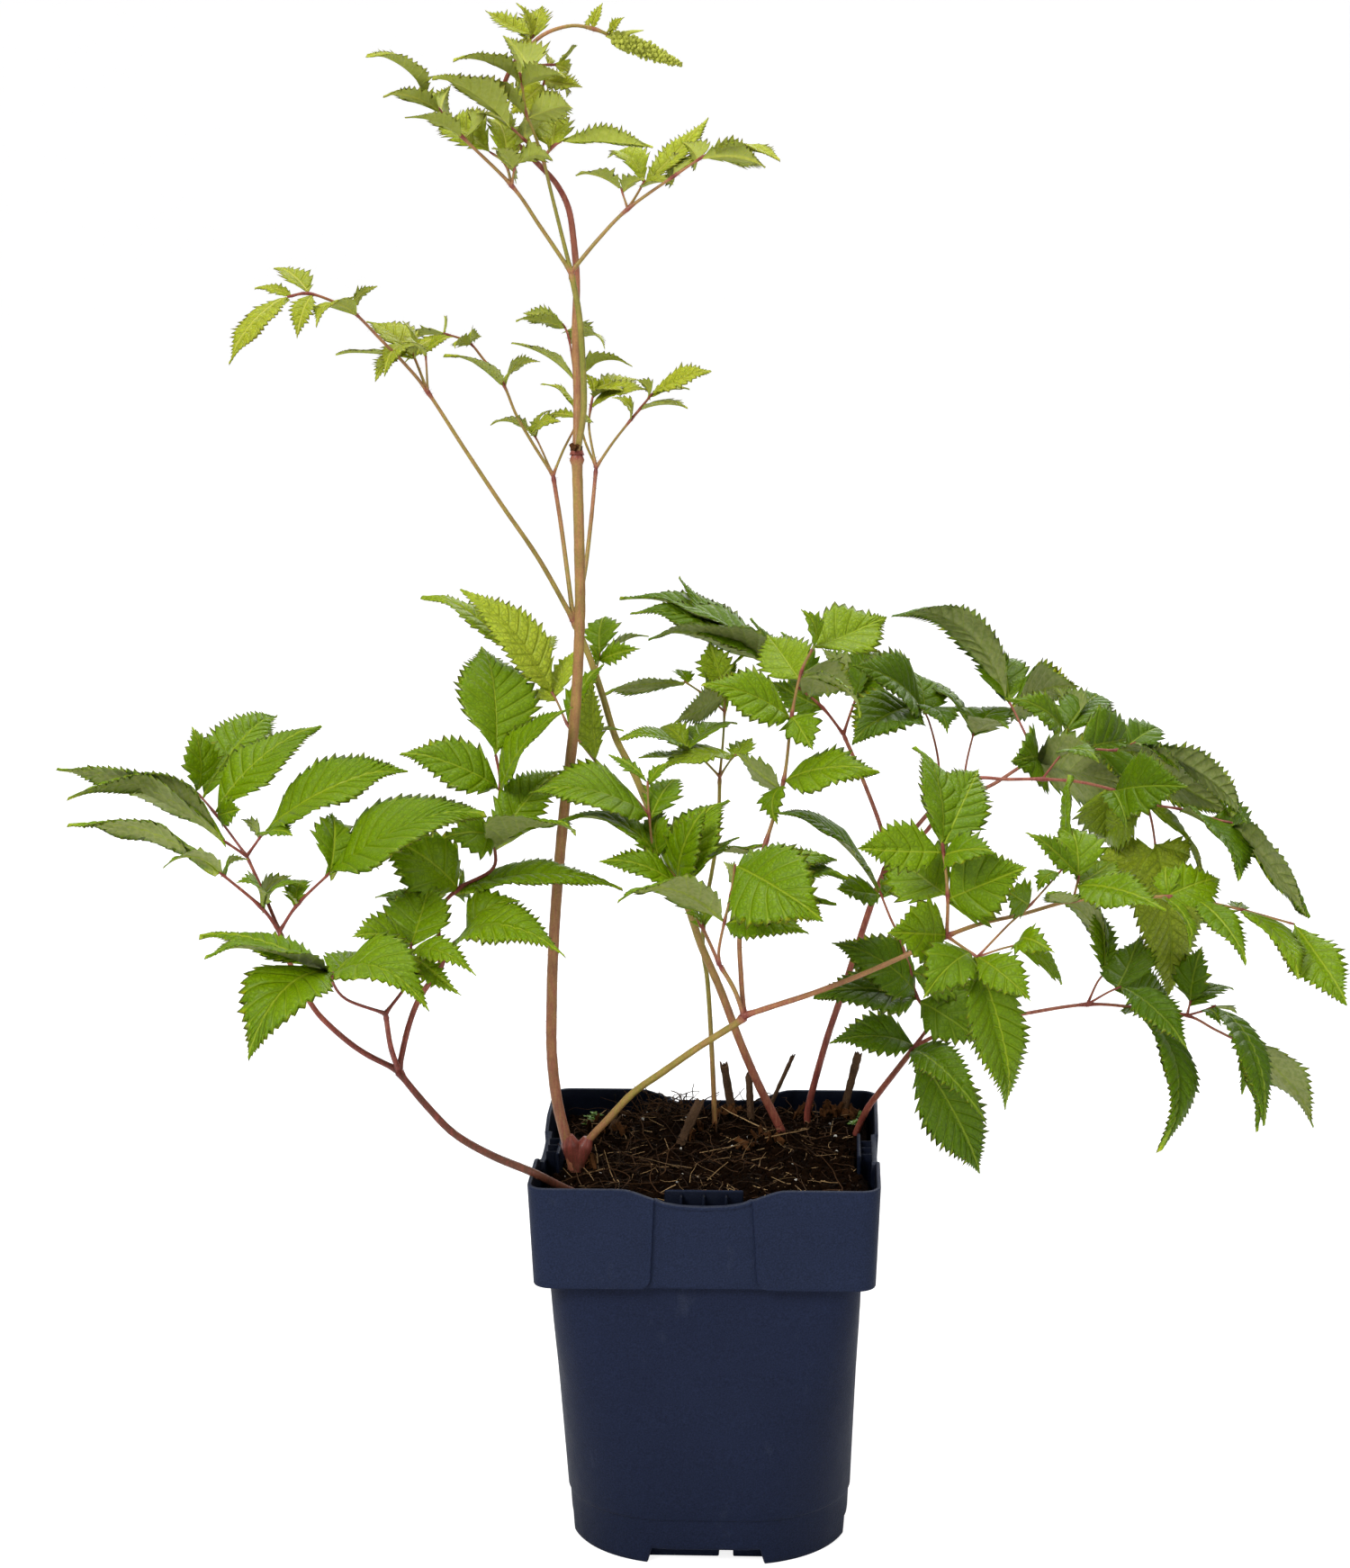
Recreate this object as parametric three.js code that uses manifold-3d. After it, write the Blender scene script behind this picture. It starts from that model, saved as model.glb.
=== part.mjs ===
// An astilbe in a square nursery pot, as a three.js scene in millimetres with +Z up.
// The origin is on the underside of the pot's middle foot, and +Y points to the back.
// The pot, the soil, each leaf with its stalks, the flower bud and each old stub are one mesh each.
import * as THREE from 'three';
import { mergeVertices } from 'three/addons/utils/BufferGeometryUtils.js';
import Module from 'manifold-3d';

const wasm = await Module();
wasm.setup();

// ---------------------------------------------------------------- driving dimensions
const GAP = 0.35;                 // clearance between pieces that rest on or in each other
const OVERLAP = 1;                // how far a cutting tool reaches past the face that it cuts

const POT_HEIGHT = 128;
const RIM_HALF = 55;              // half the width across the rim
const COLLAR_FOOT_HALF = 53.5;    // half the width at the lower edge of the collar
const COLLAR_CORNER = 6;
const COLLAR_DEPTH = 33;
const WALL = 1.3;
const SHOULDER_HALF = 49.2;       // half the width of the body just under the collar
const SHOULDER_CORNER = 9;
const MIDDLE_HALF = 47.6;
const MIDDLE_CORNER = 20;
const MIDDLE_HEIGHT = 60;
const SEAM_HEIGHT = 15;           // the body ends here and the slightly narrower foot begins
const SEAM_STEP = 0.5;
const FOOT_HALF = 45;
const FOOT_CORNER = 36;
const SEAM_CORNER = 34;
const FLOOR_UNDERSIDE = 5.5;
const FLOOR_TOP = 7;
const DRAIN_RADIUS = 4;
const DRAIN_OFFSET = 25;
const DRAIN_SIDES = 16;
const CORNER_STEPS = 4;           // chords in each rounded corner

const PANEL_WIDTH = 33;           // the sunken middle panel on each collar face
const PANEL_DEPTH = 1.2;
const PANEL_CORNER = 4;
const PANEL_FLARE = 1;            // the panel widens by this much, this far below its corner's top
const PANEL_FLARE_DROP = 2.5;
const DIP_HALF = 24;              // half the width of the dip in each side of the rim
const DIP_FLAT_HALF = 15.5;
const DIP_DEPTH = 5;
const DIP_RAMP = [[0.35, 0.82], [0.7, 0.18]];   // shares of the ramp's run and of the depth there
const DIP_REACH = 5.2;            // how far in from the rim's outer face the dip is cut

const POCKET_HALF = 12.5;         // half the width of the label pocket behind each dip
const POCKET_PLATE_Y = 49;        // outer face of the pocket's plate, from the middle of the pot
const POCKET_PLATE = 1.2;
const POCKET_TOP = 127;
const POCKET_RIB = 0.8;
const POCKET_RIB_TOP = 124;
const POCKET_RIB_FOOT = 108;
const POCKET_RIB_PITCH = 7;

const NOTCH_HALF = 19;            // the cut-out in the foot on each side
const NOTCH_HEIGHT = 5;
const NOTCH_SLANT = 1.5;
const BLOCK_Y = 38.5;             // outer face of the foot blocks behind each cut-out
const BLOCK_DEPTH = 9;
const WIDE_BLOCK_X = [-18, 3];
const NARROW_BLOCK_X = [10, 19];
const MIDDLE_BLOCK = 16;

const SOIL_LEVEL = 118.5;         // at the edge; the middle is a little higher
const SOIL_MOUND = 2;
const SOIL_BUMP = 0.7;
const SOIL_WAVES = [5.3, 6.1, 3.7, 4.3];
const SOIL_RINGS = 3;

const BLADE_THICKNESS = 1.2;      // at the midrib; a blade thins out to its edge
const BLADE_ARCH = 0.09;          // rise of the midrib over the leaflet's length
const BLADE_SINK = 0.1;           // how far a leaflet's base reaches past the stalk's middle
const TOOTH_OUT = 1.06;           // tooth tips and notches, as shares of the outline's width
const TOOTH_IN = 0.82;
const NOTCH_PLACE = 0.15;         // how far behind a tooth's tip its notch is, as a share of the pitch
const FIRST_TOOTH = 0.14;         // first and last tooth tips, as shares of the leaflet's length
const LAST_TOOTH = 0.88;
const OUTLINE_POWER = 0.7;        // below 1, the widest place is nearer the leaflet's base
const TIP_TAPER = 0.4;
const LONG_LEAFLET = 42;          // leaflets longer than these have more teeth
const SHORT_LEAFLET = 26;
const TEETH = { long: 5, middle: 4, short: 3 };
const LONG_RIB = [0.1, 0.35, 0.7];              // places of the midrib's corners
const SHORT_RIB = [0.12, 0.55];
const FRONT_LEAN = 0.2;           // how far a leaflet turned to the front looks up
const LEAFLET_PITCH = 1.2;        // spacing of the leaflets that share a joint
const LEAFLET_PITCH_START = 0.35; // the first one's share of that spacing
const LEAFLET_REACH = 0.7;        // the most of a stalk's last stretch that they take up

const THIN_STALK = 0.45;
const THICK_STALK = 1;            // a stalk of this radius or more has more sides
const THICK_SIDES = 5;
const THIN_SIDES = 3;
const STUB_TAPER = 0.9;
// No stalk runs along this axis, so it serves to orient every stalk's section.
const LEVEL_AXIS = new THREE.Vector3(0.13, 0.97, 0.05).normalize();

const BUD_LENGTH = 22;
const BUD_RADIUS = 2.9;
const BUD_SIDES = 8;
// The core's radii and heights, as shares of the bud's radius and length.
const BUD_CORE = [[0, 0], [0.5, 0], [0.62, 0.25], [0.5, 0.6], [0.2, 0.95], [0, 1]];
const BUD_FLORETS = 26;
const FLORET_RADIUS = 1.25;
const FLORET_START = 0.06;        // the florets' stretch of the bud, as shares of its length
const FLORET_STRETCH = 0.9;
const FLORET_REACH = 0.72;
const GOLDEN_ANGLE = Math.PI * (3 - Math.sqrt(5));

// ---------------------------------------------------------------- the plant's plan
// Each frond has stalks and leaflets. A stalk starts at a joint of an earlier one, or in the soil,
// and runs through its route. Its radii are those of its two ends. A knot is a swollen joint at a stalk's
// end, given by stalk and radius. A leaflet is given by its stalk, the joint that it grows from, its tip,
// its turn in degrees (see leafletAxes) and its width over its length.
const FRONDS = {
  // The flowering stem, with the leaf that it carries below the bud.
  flower_stem: {
    color: '#8fa83f',
    fold: 28,
    stalks: {
      stem: { radii: [1.8, 1.7], route: [
        [-40.5, -13, 109.5], [-42, -13, 118.5], [-45.5, -13, 132], [-50, -11, 159], [-49.5, -8, 189.5],
        [-40, -4, 297.5], [-40.5, -2, 349.5],
      ] },
      flower_stalk: { start: ['stem', 6], radii: [1.25, 0.8], route: [
        [-40.5, 2, 367.5], [-41.5, 6, 416.5], [-43, 6, 425.5], [-51, 6, 437.5], [-60.5, 3, 447.5],
        [-62.5, 1, 456], [-61.5, 0, 463], [-58.5, -1, 468.5], [-48, -2, 478], [-40.5, -1, 480],
        [-29, 2, 477],
      ] },
      petiole: { start: ['stem', 6], radii: [1, 0.9], route: [
        [-38, -5, 363.5], [-38, -7, 379], [-41.5, -4, 406],
      ] },
      left: { start: ['petiole', 3], radii: [0.7, 0.4], route: [
        [-50.5, -8, 420], [-58.5, -14, 432.5], [-73, -20, 447.5], [-79, -23, 455], [-82.5, -25, 459.5],
      ] },
      left_a: { start: ['left', 2], radii: [0.45, 0.35], route: [
        [-60.5, -12, 439], [-65.5, -9, 442.5],
      ] },
      mid: { start: ['petiole', 3], radii: [0.7, 0.35], route: [
        [-46.5, -9, 428.5], [-49, -13, 440.5], [-53.5, -18, 454], [-54.5, -20, 463.5], [-55, -21, 466],
      ] },
      mid_a: { start: ['mid', 2], radii: [0.45, 0.35], route: [[-54, -17, 446], [-58, -20, 450]] },
      mid_b: { start: ['mid', 2], radii: [0.45, 0.35], route: [[-46, -12, 444], [-43, -10, 446]] },
      right: { start: ['petiole', 3], radii: [0.7, 0.35], route: [
        [-33, -3, 416], [-24, -2, 425], [-9.5, -4, 435], [-1, -6, 440.5], [2.5, -7, 442],
      ] },
      right_a: { start: ['right', 2], radii: [0.45, 0.35], route: [[-19, 4, 433.5]] },
      right_b: { start: ['right', 2], radii: [0.35, 0.3], route: [[-26, -4, 431.5]] },
      upper_a: { start: ['flower_stalk', 8], radii: [0.4, 0.3], route: [[-52.5, 2, 477.5]] },
      upper_c: { start: ['flower_stalk', 8], radii: [0.4, 0.3], route: [
        [-51.5, 10, 467.5], [-50.5, 14, 463.5], [-52, 15, 460.5],
      ] },
    },
    knots: [['stem', 2.4], ['petiole', 1.3]],
    leaflets: [
      ['left', 5, [-97, -44, 472], 115, 0.52], ['left', 4, [-94, -38, 460], 115, 0.52],
      ['left', 4, [-78, -6, 462], 122, 0.6], ['left', 3, [-88, -35, 453], 115, 0.52],
      ['left', 3, [-72, -6, 455], 125, 0.6], ['left_a', 2, [-83, 7, 450], 40, 0.62],
      ['left_a', 1, [-67, 1, 452], 60, 0.45], ['mid', 5, [-61, 0, 477], 125, 0.6],
      ['mid', 4, [-73, -37, 470], 113, 0.52], ['mid', 4, [-40, -34, 465], 105, 0.48],
      ['mid', 3, [-74, -31, 465], 113, 0.52], ['mid', 3, [-38, -30, 456], 105, 0.48],
      ['mid_a', 2, [-79, -38, 465], 113, 0.52], ['mid_a', 1, [-54, 1, 455], 122, 0.6],
      ['mid_b', 1, [-45, 0, 455], 40, 0.62], ['mid_b', 2, [-15, -21, 444], 70, 0.42],
      ['right', 5, [23, -20, 440], 108, 0.52], ['right', 4, [19, -20, 438], 118, 0.52],
      ['right', 3, [-13, 11, 442], 125, 0.6], ['right_a', 1, [-31, 15, 441], 50, 0.62],
      ['right_a', 1, [0, 14, 453], 45, 0.42], ['right_b', 1, [-39, -13, 436], 100, 0.5],
      ['upper_a', 1, [-68, 9, 485], 35, 0.42], ['upper_a', 1, [-51, 15, 487], 32, 0.65],
      ['upper_c', 2, [-38, 3, 462], 60, 0.45],
    ],
  },
  // The tall young leaf that leans to the left behind the stem.
  mid_leaf: {
    color: '#8cab40',
    fold: 18,
    stalks: {
      petiole: { radii: [1.5, 1.05], route: [
        [30, 26, 107], [25, 25, 118], [20.5, 23, 128.5], [9.5, 18, 155], [-14, 11, 219.5],
        [-23, 10, 243.5], [-30, 11, 257.5], [-43.5, 15, 295],
      ] },
      left: { start: ['petiole', 7], radii: [0.85, 0.4], route: [
        [-54, 12, 315], [-87, 0, 369], [-108, -12, 394.5], [-121, -18, 400.5], [-127, -20, 399.5],
      ] },
      left_a: { start: ['left', 2], radii: [0.5, 0.4], route: [[-91, 6, 377.5], [-93, 8, 381.5]] },
      mid: { start: ['petiole', 7], radii: [0.8, 0.7], route: [[-45.5, 20, 308.5], [-50.5, 28, 340]] },
      mid_a: { start: ['mid', 2], radii: [0.55, 0.35], route: [
        [-56.5, 28, 349.5], [-66, 26, 369.5], [-76.5, 22, 383], [-84, 18, 386],
      ] },
      mid_c: { start: ['mid', 2], radii: [0.45, 0.35], route: [[-47.5, 32, 347.5], [-42.5, 39, 358]] },
      right: { start: ['petiole', 7], radii: [0.8, 0.6], route: [[-40.5, 22, 308], [-37, 33, 342]] },
      right_a: { start: ['right', 2], radii: [0.5, 0.35], route: [
        [-31.5, 33, 350], [-22.5, 32, 361], [-18.5, 31, 366],
      ] },
      right_b: { start: ['right', 2], radii: [0.45, 0.35], route: [[-39, 41, 361], [-38, 43, 366.5]] },
      right_c: { start: ['right', 2], radii: [0.45, 0.3], route: [
        [-42, 42, 352.5], [-44.5, 46, 369.5], [-48.5, 49, 387],
      ] },
    },
    knots: [['petiole', 1.6]],
    leaflets: [
      ['left', 5, [-142, -41, 381], 35, 0.42], ['left', 4, [-133, -7, 408], 45, 0.5],
      ['left', 4, [-123, -29, 388], 45, 0.48], ['left', 3, [-117, -30, 392], 55, 0.45],
      ['left_a', 2, [-102, -11, 374], 45, 0.42], ['left_a', 2, [-99, -13, 376], 80, 0.42],
      ['left_a', 2, [-118, 17, 380], 100, 0.42], ['left_a', 2, [-108, 17, 390], 95, 0.45],
      ['mid_a', 2, [-83, 13, 380], 102, 0.5], ['mid_a', 2, [-55, 35, 376], 102, 0.6],
      ['mid_a', 4, [-95, 8, 378], 45, 0.42], ['mid_c', 2, [-53, 27, 370], 100, 0.42],
      ['right_a', 3, [0, 26, 374], 62, 0.45], ['right_a', 2, [-7, 24, 362], 95, 0.45],
      ['right_b', 2, [-25, 54, 369], 75, 0.5], ['right_b', 1, [-20, 36, 367], 92, 0.42],
      ['right_c', 3, [-62, 57, 390], 92, 0.45], ['right_c', 3, [-63, 41, 389], 98, 0.42],
      ['right_c', 2, [-65, 46, 381], 95, 0.42], ['right_c', 2, [-26, 46, 374], 78, 0.45],
    ],
  },
  // The low leaf that hangs out over the left of the rim.
  low_left_leaf: {
    color: '#6f9a3c',
    fold: 14,
    stalks: {
      petiole: { radii: [1.5, 1.35], route: [
        [-26.5, -24, 109], [-34.5, -34, 117], [-44.5, -44, 125.5], [-53.5, -47.5, 131],
        [-66, -48, 136.5], [-77.5, -47, 143], [-95, -44, 162.5],
      ] },
      left: { start: ['petiole', 6], radii: [0.95, 0.8], route: [
        [-116, -45, 177], [-122, -43, 183.5], [-129, -38, 195], [-132.5, -35, 204.5],
      ] },
      left_a: { start: ['left', 4], radii: [0.6, 0.45], route: [[-138, -37, 213], [-149.5, -42, 225]] },
      left_b: { start: ['left', 4], radii: [0.6, 0.5], route: [[-144, -24, 226]] },
      left_c: { start: ['left_b', 1], radii: [0.45, 0.4], route: [[-151, -26, 231.5]] },
      left_d: { start: ['left_b', 1], radii: [0.45, 0.4], route: [[-139, -20, 233]] },
      left_e: { start: ['left_b', 1], radii: [0.45, 0.35], route: [
        [-155.5, -16, 238.5], [-161.5, -12, 244],
      ] },
      left_f: { start: ['left', 4], radii: [0.55, 0.4], route: [[-126, -38, 214], [-115, -42, 225]] },
      mid: { start: ['petiole', 6], radii: [0.9, 0.8], route: [[-96.5, -50, 172], [-97, -56, 184]] },
      mid_a: { start: ['mid', 2], radii: [0.55, 0.4], route: [
        [-108, -62, 190], [-111.5, -66, 196.5], [-111, -68, 200],
      ] },
      mid_b: { start: ['mid', 2], radii: [0.55, 0.4], route: [[-90, -52, 194], [-89.5, -50, 205]] },
      right: { start: ['petiole', 6], radii: [0.95, 0.9], route: [
        [-92.5, -38, 174.5], [-89, -34, 183.5], [-83, -30, 191.5],
      ] },
      right_a: { start: ['right', 3], radii: [0.6, 0.45], route: [
        [-79, -32, 199.5], [-74.5, -30, 203],
      ] },
      right_b: { start: ['right', 3], radii: [0.7, 0.4], route: [
        [-83.5, -24, 208], [-77.5, -22, 215.5], [-67, -20, 221.5], [-66.5, -18, 230.5],
        [-65, -13, 246], [-66.5, -10, 256],
      ] },
    },
    knots: [['petiole', 2.4]],
    leaflets: [
      ['left_a', 2, [-196, -42, 240], 105, 0.4], ['left_c', 1, [-202, -26, 255], 110, 0.4],
      ['left_c', 1, [-197, -37, 247], 112, 0.36], ['left_d', 1, [-94, -20, 254], 38, 0.5],
      ['left_e', 2, [-142, 31, 262], 11, 0.42], ['left_e', 1, [-124, 4, 263], 28, 0.5],
      ['left_f', 2, [-68, -42, 246], 42, 0.48], ['mid_a', 3, [-132, -101, 183], 15, 0.62],
      ['mid_a', 3, [-80, -85, 194], 52, 0.46], ['mid_a', 3, [-154, -54, 208], 75, 0.36],
      ['mid_a', 3, [-144, -95, 214], 88, 0.34], ['mid_a', 3, [-104, -45, 200], 80, 0.5],
      ['mid_b', 2, [-105, -66, 211], 42, 0.5], ['mid_b', 2, [-85, -29, 221], 38, 0.6],
      ['mid_b', 2, [-68, -67, 200], 62, 0.42], ['mid_b', 2, [-73, -66, 193], 60, 0.36],
      ['right_a', 1, [-42, -53, 202], 15, 0.52], ['right_b', 6, [-73, 18, 287], 20, 0.66],
      ['right_b', 5, [-95, -20, 259], 25, 0.52], ['right_b', 5, [-42, -18, 273], 52, 0.42],
      ['right_b', 4, [-47, 1, 249], 38, 0.46], ['right_b', 4, [-39, -42, 240], 124, 0.42],
      ['right_b', 2, [-102, -22, 232], 35, 0.58], ['right_b', 2, [-26, -22, 216], 78, 0.34],
      ['right_b', 1, [-106, -9, 210], 62, 0.48],
    ],
  },
  // The widest leaf, low in the middle and reaching far to the right.
  centre_leaf: {
    color: '#668f42',
    fold: 14,
    stalks: {
      petiole: { radii: [1.3, 1.1], route: [
        [-36.5, -8, 109.5], [-37, -8, 119], [-35, -9, 129], [-23, -13, 147], [12, -28, 176.5],
      ] },
      left: { start: ['petiole', 4], radii: [0.75, 0.7], route: [[9, -30, 185.5], [4.5, -32, 194]] },
      left_a: { start: ['left', 2], radii: [0.6, 0.35], route: [
        [-9, -22, 218.5], [-16, -18, 226], [-18, -16, 238], [-18.5, -14, 248.5],
      ] },
      left_b: { start: ['left', 2], radii: [0.5, 0.35], route: [
        [6.5, -42, 210.5], [8.5, -46, 219.5], [10, -50, 230],
      ] },
      left_c: { start: ['left_a', 3], radii: [0.5, 0.3], route: [
        [-24.5, -8, 243.5], [-36, 2, 252], [-45.5, 9, 262.5], [-50.5, 14, 271.5], [-58.5, 18, 279],
        [-66, 22, 285],
      ] },
      mid: { start: ['petiole', 4], radii: [0.85, 0.4], route: [
        [11, -24, 188], [10.5, -18, 201], [18.5, -6, 227.5], [24, -2, 246.5], [26.5, 2, 267],
        [29.5, 4, 280.5], [33.5, 5, 288.5],
      ] },
      right: { start: ['petiole', 4], radii: [0.95, 0.35], route: [
        [22, -32, 181], [49.5, -40, 193.5], [74.5, -44, 206.5], [85, -42, 210], [113.5, -34, 215.5],
        [144, -26, 215], [152.5, -24, 213.5], [167, -20, 209.5], [184, -16, 204],
      ] },
      right_a: { start: ['right', 3], radii: [0.6, 0.4], route: [
        [74.5, -48, 220.5], [73, -50, 234.5], [72.5, -50, 237],
      ] },
      right_b: { start: ['right', 3], radii: [0.55, 0.45], route: [
        [78.5, -50, 205], [83.5, -54, 202.5],
      ] },
      right_c: { start: ['right_b', 2], radii: [0.4, 0.3], route: [[100, -42, 216], [110, -36, 226]] },
      right_d: { start: ['right_b', 2], radii: [0.35, 0.3], route: [[96.5, -46, 204.5]] },
      right_e: { start: ['right', 5], radii: [0.4, 0.35], route: [[115, -37, 224]] },
    },
    knots: [['petiole', 2.2]],
    leaflets: [
      ['left_a', 3, [-54, -30, 249], 30, 0.48], ['left_a', 2, [-46, -18, 237], 35, 0.42],
      ['left_a', 1, [0, -29, 243], 44, 0.6], ['left_a', 1, [6, -7, 242], 42, 0.48],
      ['left_a', 1, [10, -10, 230], 45, 0.5], ['left_a', 1, [-32, -35, 228], 62, 0.42],
      ['left_b', 1, [-25, -64, 223], 112, 0.5], ['left_b', 1, [32, -59, 212], 35, 0.5],
      ['left_b', 3, [36, -76, 220], 15, 0.68], ['left_b', 3, [41, -25, 226], 90, 0.35],
      ['left_b', 3, [45, -28, 222], 60, 0.38], ['left_b', 2, [41, -28, 214], 75, 0.36],
      ['left_c', 6, [-92, 22, 303], 60, 0.45], ['left_c', 4, [-81, 14, 305], 42, 0.44],
      ['left_c', 5, [-51, 40, 286], 70, 0.5], ['left_c', 2, [-36, 2, 278], 25, 0.48],
      ['mid', 7, [57, 22, 296], 45, 0.5], ['mid', 6, [49, -10, 269], 70, 0.34],
      ['mid', 4, [54, -14, 252], 30, 0.46], ['mid', 6, [18, 26, 289], 30, 0.6],
      ['mid', 5, [-1, -10, 279], 25, 0.52], ['mid', 3, [3, 11, 221], 100, 0.42],
      ['right_a', 3, [66, -26, 263], 20, 0.5], ['right_a', 3, [85, -19, 254], 16, 0.48],
      ['right_a', 2, [47, -63, 238], 38, 0.42], ['right_a', 1, [55, -29, 231], 30, 0.52],
      ['right_a', 1, [97, -61, 232], 35, 0.5], ['right_a', 1, [94, -34, 222], 25, 0.55],
      ['right_a', 0, [57, -62, 212], 35, 0.55], ['right_b', 2, [99, -70, 193], 20, 0.55],
      ['right_b', 2, [94, -54, 154], 10, 0.4], ['right_d', 1, [111, -34, 189], 95, 0.34],
      ['right_c', 2, [112, -7, 250], 72, 0.3], ['right_e', 1, [99, -47, 240], 80, 0.36],
      ['right_e', 1, [139, -64, 220], 72, 0.38], ['right', 5, [104, -55, 224], 85, 0.4],
      ['right', 7, [165, -52, 201], 35, 0.42], ['right', 6, [149, -50, 205], 60, 0.38],
      ['right', 9, [196, -48, 188], 20, 0.52], ['right', 8, [182, -48, 196], 45, 0.42],
    ],
  },
  // The tall leaf on the right.
  right_leaf: {
    color: '#5a7f45',
    fold: 14,
    stalks: {
      petiole: { radii: [1.2, 1.05], route: [
        [30, 34, 109.5], [31.5, 33, 121], [31.5, 33, 126.5], [42.5, 31, 167], [52.5, 33, 198.5],
        [57.5, 34, 211],
      ] },
      left: { start: ['petiole', 5], radii: [0.75, 0.65], route: [[55.5, 40, 222], [43, 54, 251]] },
      left_a: { start: ['left', 2], radii: [0.5, 0.4], route: [
        [36, 54, 260], [27, 52, 268], [19, 50, 275.5],
      ] },
      mid: { start: ['petiole', 5], radii: [0.8, 0.55], route: [
        [62.5, 36, 218], [73.5, 40, 229.5], [82.5, 42, 233], [91, 42, 236], [106, 42, 246],
      ] },
      mid_a: { start: ['mid', 2], radii: [0.45, 0.3], route: [
        [74.5, 50, 242], [71, 56, 256], [67.5, 58, 260],
      ] },
      mid_b: { start: ['mid', 3], radii: [0.4, 0.3], route: [[83.5, 48, 242], [86.5, 56, 252.5]] },
      mid_c: { start: ['mid', 5], radii: [0.45, 0.3], route: [
        [101.5, 50, 255], [97.5, 58, 262], [92.5, 62, 268],
      ] },
      mid_d: { start: ['mid', 5], radii: [0.4, 0.3], route: [[114, 46, 251.5], [117, 48, 254]] },
      mid_e: { start: ['mid', 5], radii: [0.45, 0.35], route: [
        [120, 40, 249], [132, 38, 249], [138, 36, 252],
      ] },
      right: { start: ['petiole', 5], radii: [0.75, 0.35], route: [
        [64.5, 30, 218.5], [70, 27, 224], [76, 22, 234], [84, 18, 243], [118.5, 12, 243.5],
        [130, 10, 241], [139.5, 8, 237.5], [150, 6, 236], [159.5, 4, 233.5], [166, 2, 232.5],
      ] },
      right_b: { start: ['right', 7], radii: [0.4, 0.35], route: [[141.5, 10, 230], [143, 12, 221.5]] },
    },
    knots: [['petiole', 1.7]],
    leaflets: [
      ['left_a', 3, [-31, 58, 297], 87, 0.4], ['left_a', 3, [-12, 66, 302], 74, 0.42],
      ['left_a', 3, [-26, 44, 295], 74, 0.46], ['left_a', 3, [-20, 27, 289], 102, 0.36],
      ['left_a', 2, [13, 58, 290], 75, 0.45], ['mid_a', 3, [46, 25, 255], 25, 0.55],
      ['mid_a', 3, [46, 33, 278], 80, 0.4], ['mid_b', 2, [68, 85, 265], 56, 0.38],
      ['mid_c', 2, [58, 45, 297], 76, 0.46], ['mid_c', 3, [81, 92, 279], 78, 0.42],
      ['mid_c', 3, [93, 88, 271], 104, 0.45], ['mid_c', 2, [94, 84, 270], 6, 0.6],
      ['mid_c', 2, [122, 81, 263], 108, 0.5], ['mid_d', 2, [114, 72, 264], 110, 0.42],
      ['mid_d', 2, [131, 80, 260], 78, 0.35], ['mid_d', 2, [96, 34, 267], 60, 0.4],
      ['mid', 5, [97, 14, 250], 30, 0.55], ['mid', 5, [134, 12, 243], 104, 0.4],
      ['mid_e', 1, [142, 64, 248], 22, 0.66], ['mid_e', 3, [171, 0, 234], 85, 0.36],
      ['mid_e', 3, [168, 6, 235], 100, 0.42], ['mid_e', 2, [150, 13, 247], 94, 0.4],
      ['right', 6, [150, -12, 247], 60, 0.6], ['right', 8, [166, -25, 221], 48, 0.42],
      ['right', 10, [187, -31, 210], 90, 0.38], ['right', 6, [128, 25, 220], 40, 0.55],
      ['right', 7, [126, 32, 221], 21, 0.5], ['right', 7, [160, 20, 211], 90, 0.32],
      ['right', 9, [172, 21, 218], 60, 0.42], ['right_b', 2, [148, 12, 172], 25, 0.4],
    ],
  },
  // The short-stalked leaf low on the right.
  right_low_leaf: {
    color: '#5f8a42',
    fold: 14,
    stalks: {
      petiole: { radii: [1.2, 0.95], route: [
        [44.5, 32, 110.5], [47.5, 28, 120.5], [51, 23, 130.5], [66.5, 4, 158],
      ] },
      up: { start: ['petiole', 3], radii: [0.6, 0.35], route: [
        [71, 6, 166], [66.5, 2, 175.5], [64.5, 0, 184], [58, 0, 201.5], [54.5, 2, 210],
      ] },
      right: { start: ['petiole', 3], radii: [0.7, 0.4], route: [
        [76, 0, 164], [89, -4, 168.5], [120.5, -8, 175.5], [136.5, -6, 174], [152.5, -4, 171],
        [170.5, 0, 161],
      ] },
      right_a: { start: ['right', 3], radii: [0.4, 0.3], route: [[124, -4, 182], [127, 0, 184]] },
      right_b: { start: ['right', 3], radii: [0.4, 0.3], route: [
        [126.5, -12, 180.5], [130.5, -14, 183],
      ] },
      right_c: { start: ['right', 5], radii: [0.35, 0.3], route: [[154, -2, 176.5]] },
      right_d: { start: ['right', 5], radii: [0.35, 0.3], route: [
        [158.5, -6, 173.5], [161, -8, 175.5],
      ] },
    },
    knots: [['petiole', 1.5]],
    leaflets: [
      ['petiole', 3, [39, -6, 162], 25, 0.5], ['petiole', 3, [88, 4, 115], 15, 0.42],
      ['petiole', 3, [88, -26, 143], 38, 0.38], ['up', 2, [40, -6, 195], 37, 0.5],
      ['up', 2, [34, -10, 179], 28, 0.5], ['up', 2, [88, -4, 161], 20, 0.58],
      ['up', 5, [23, -13, 240], 62, 0.34], ['right_a', 2, [110, 23, 205], 70, 0.34],
      ['right_a', 2, [124, 18, 202], 60, 0.42], ['right_b', 2, [148, -46, 173], 70, 0.34],
      ['right_b', 2, [138, 8, 195], 42, 0.45], ['right_b', 2, [148, 11, 173], 68, 0.4],
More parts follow.
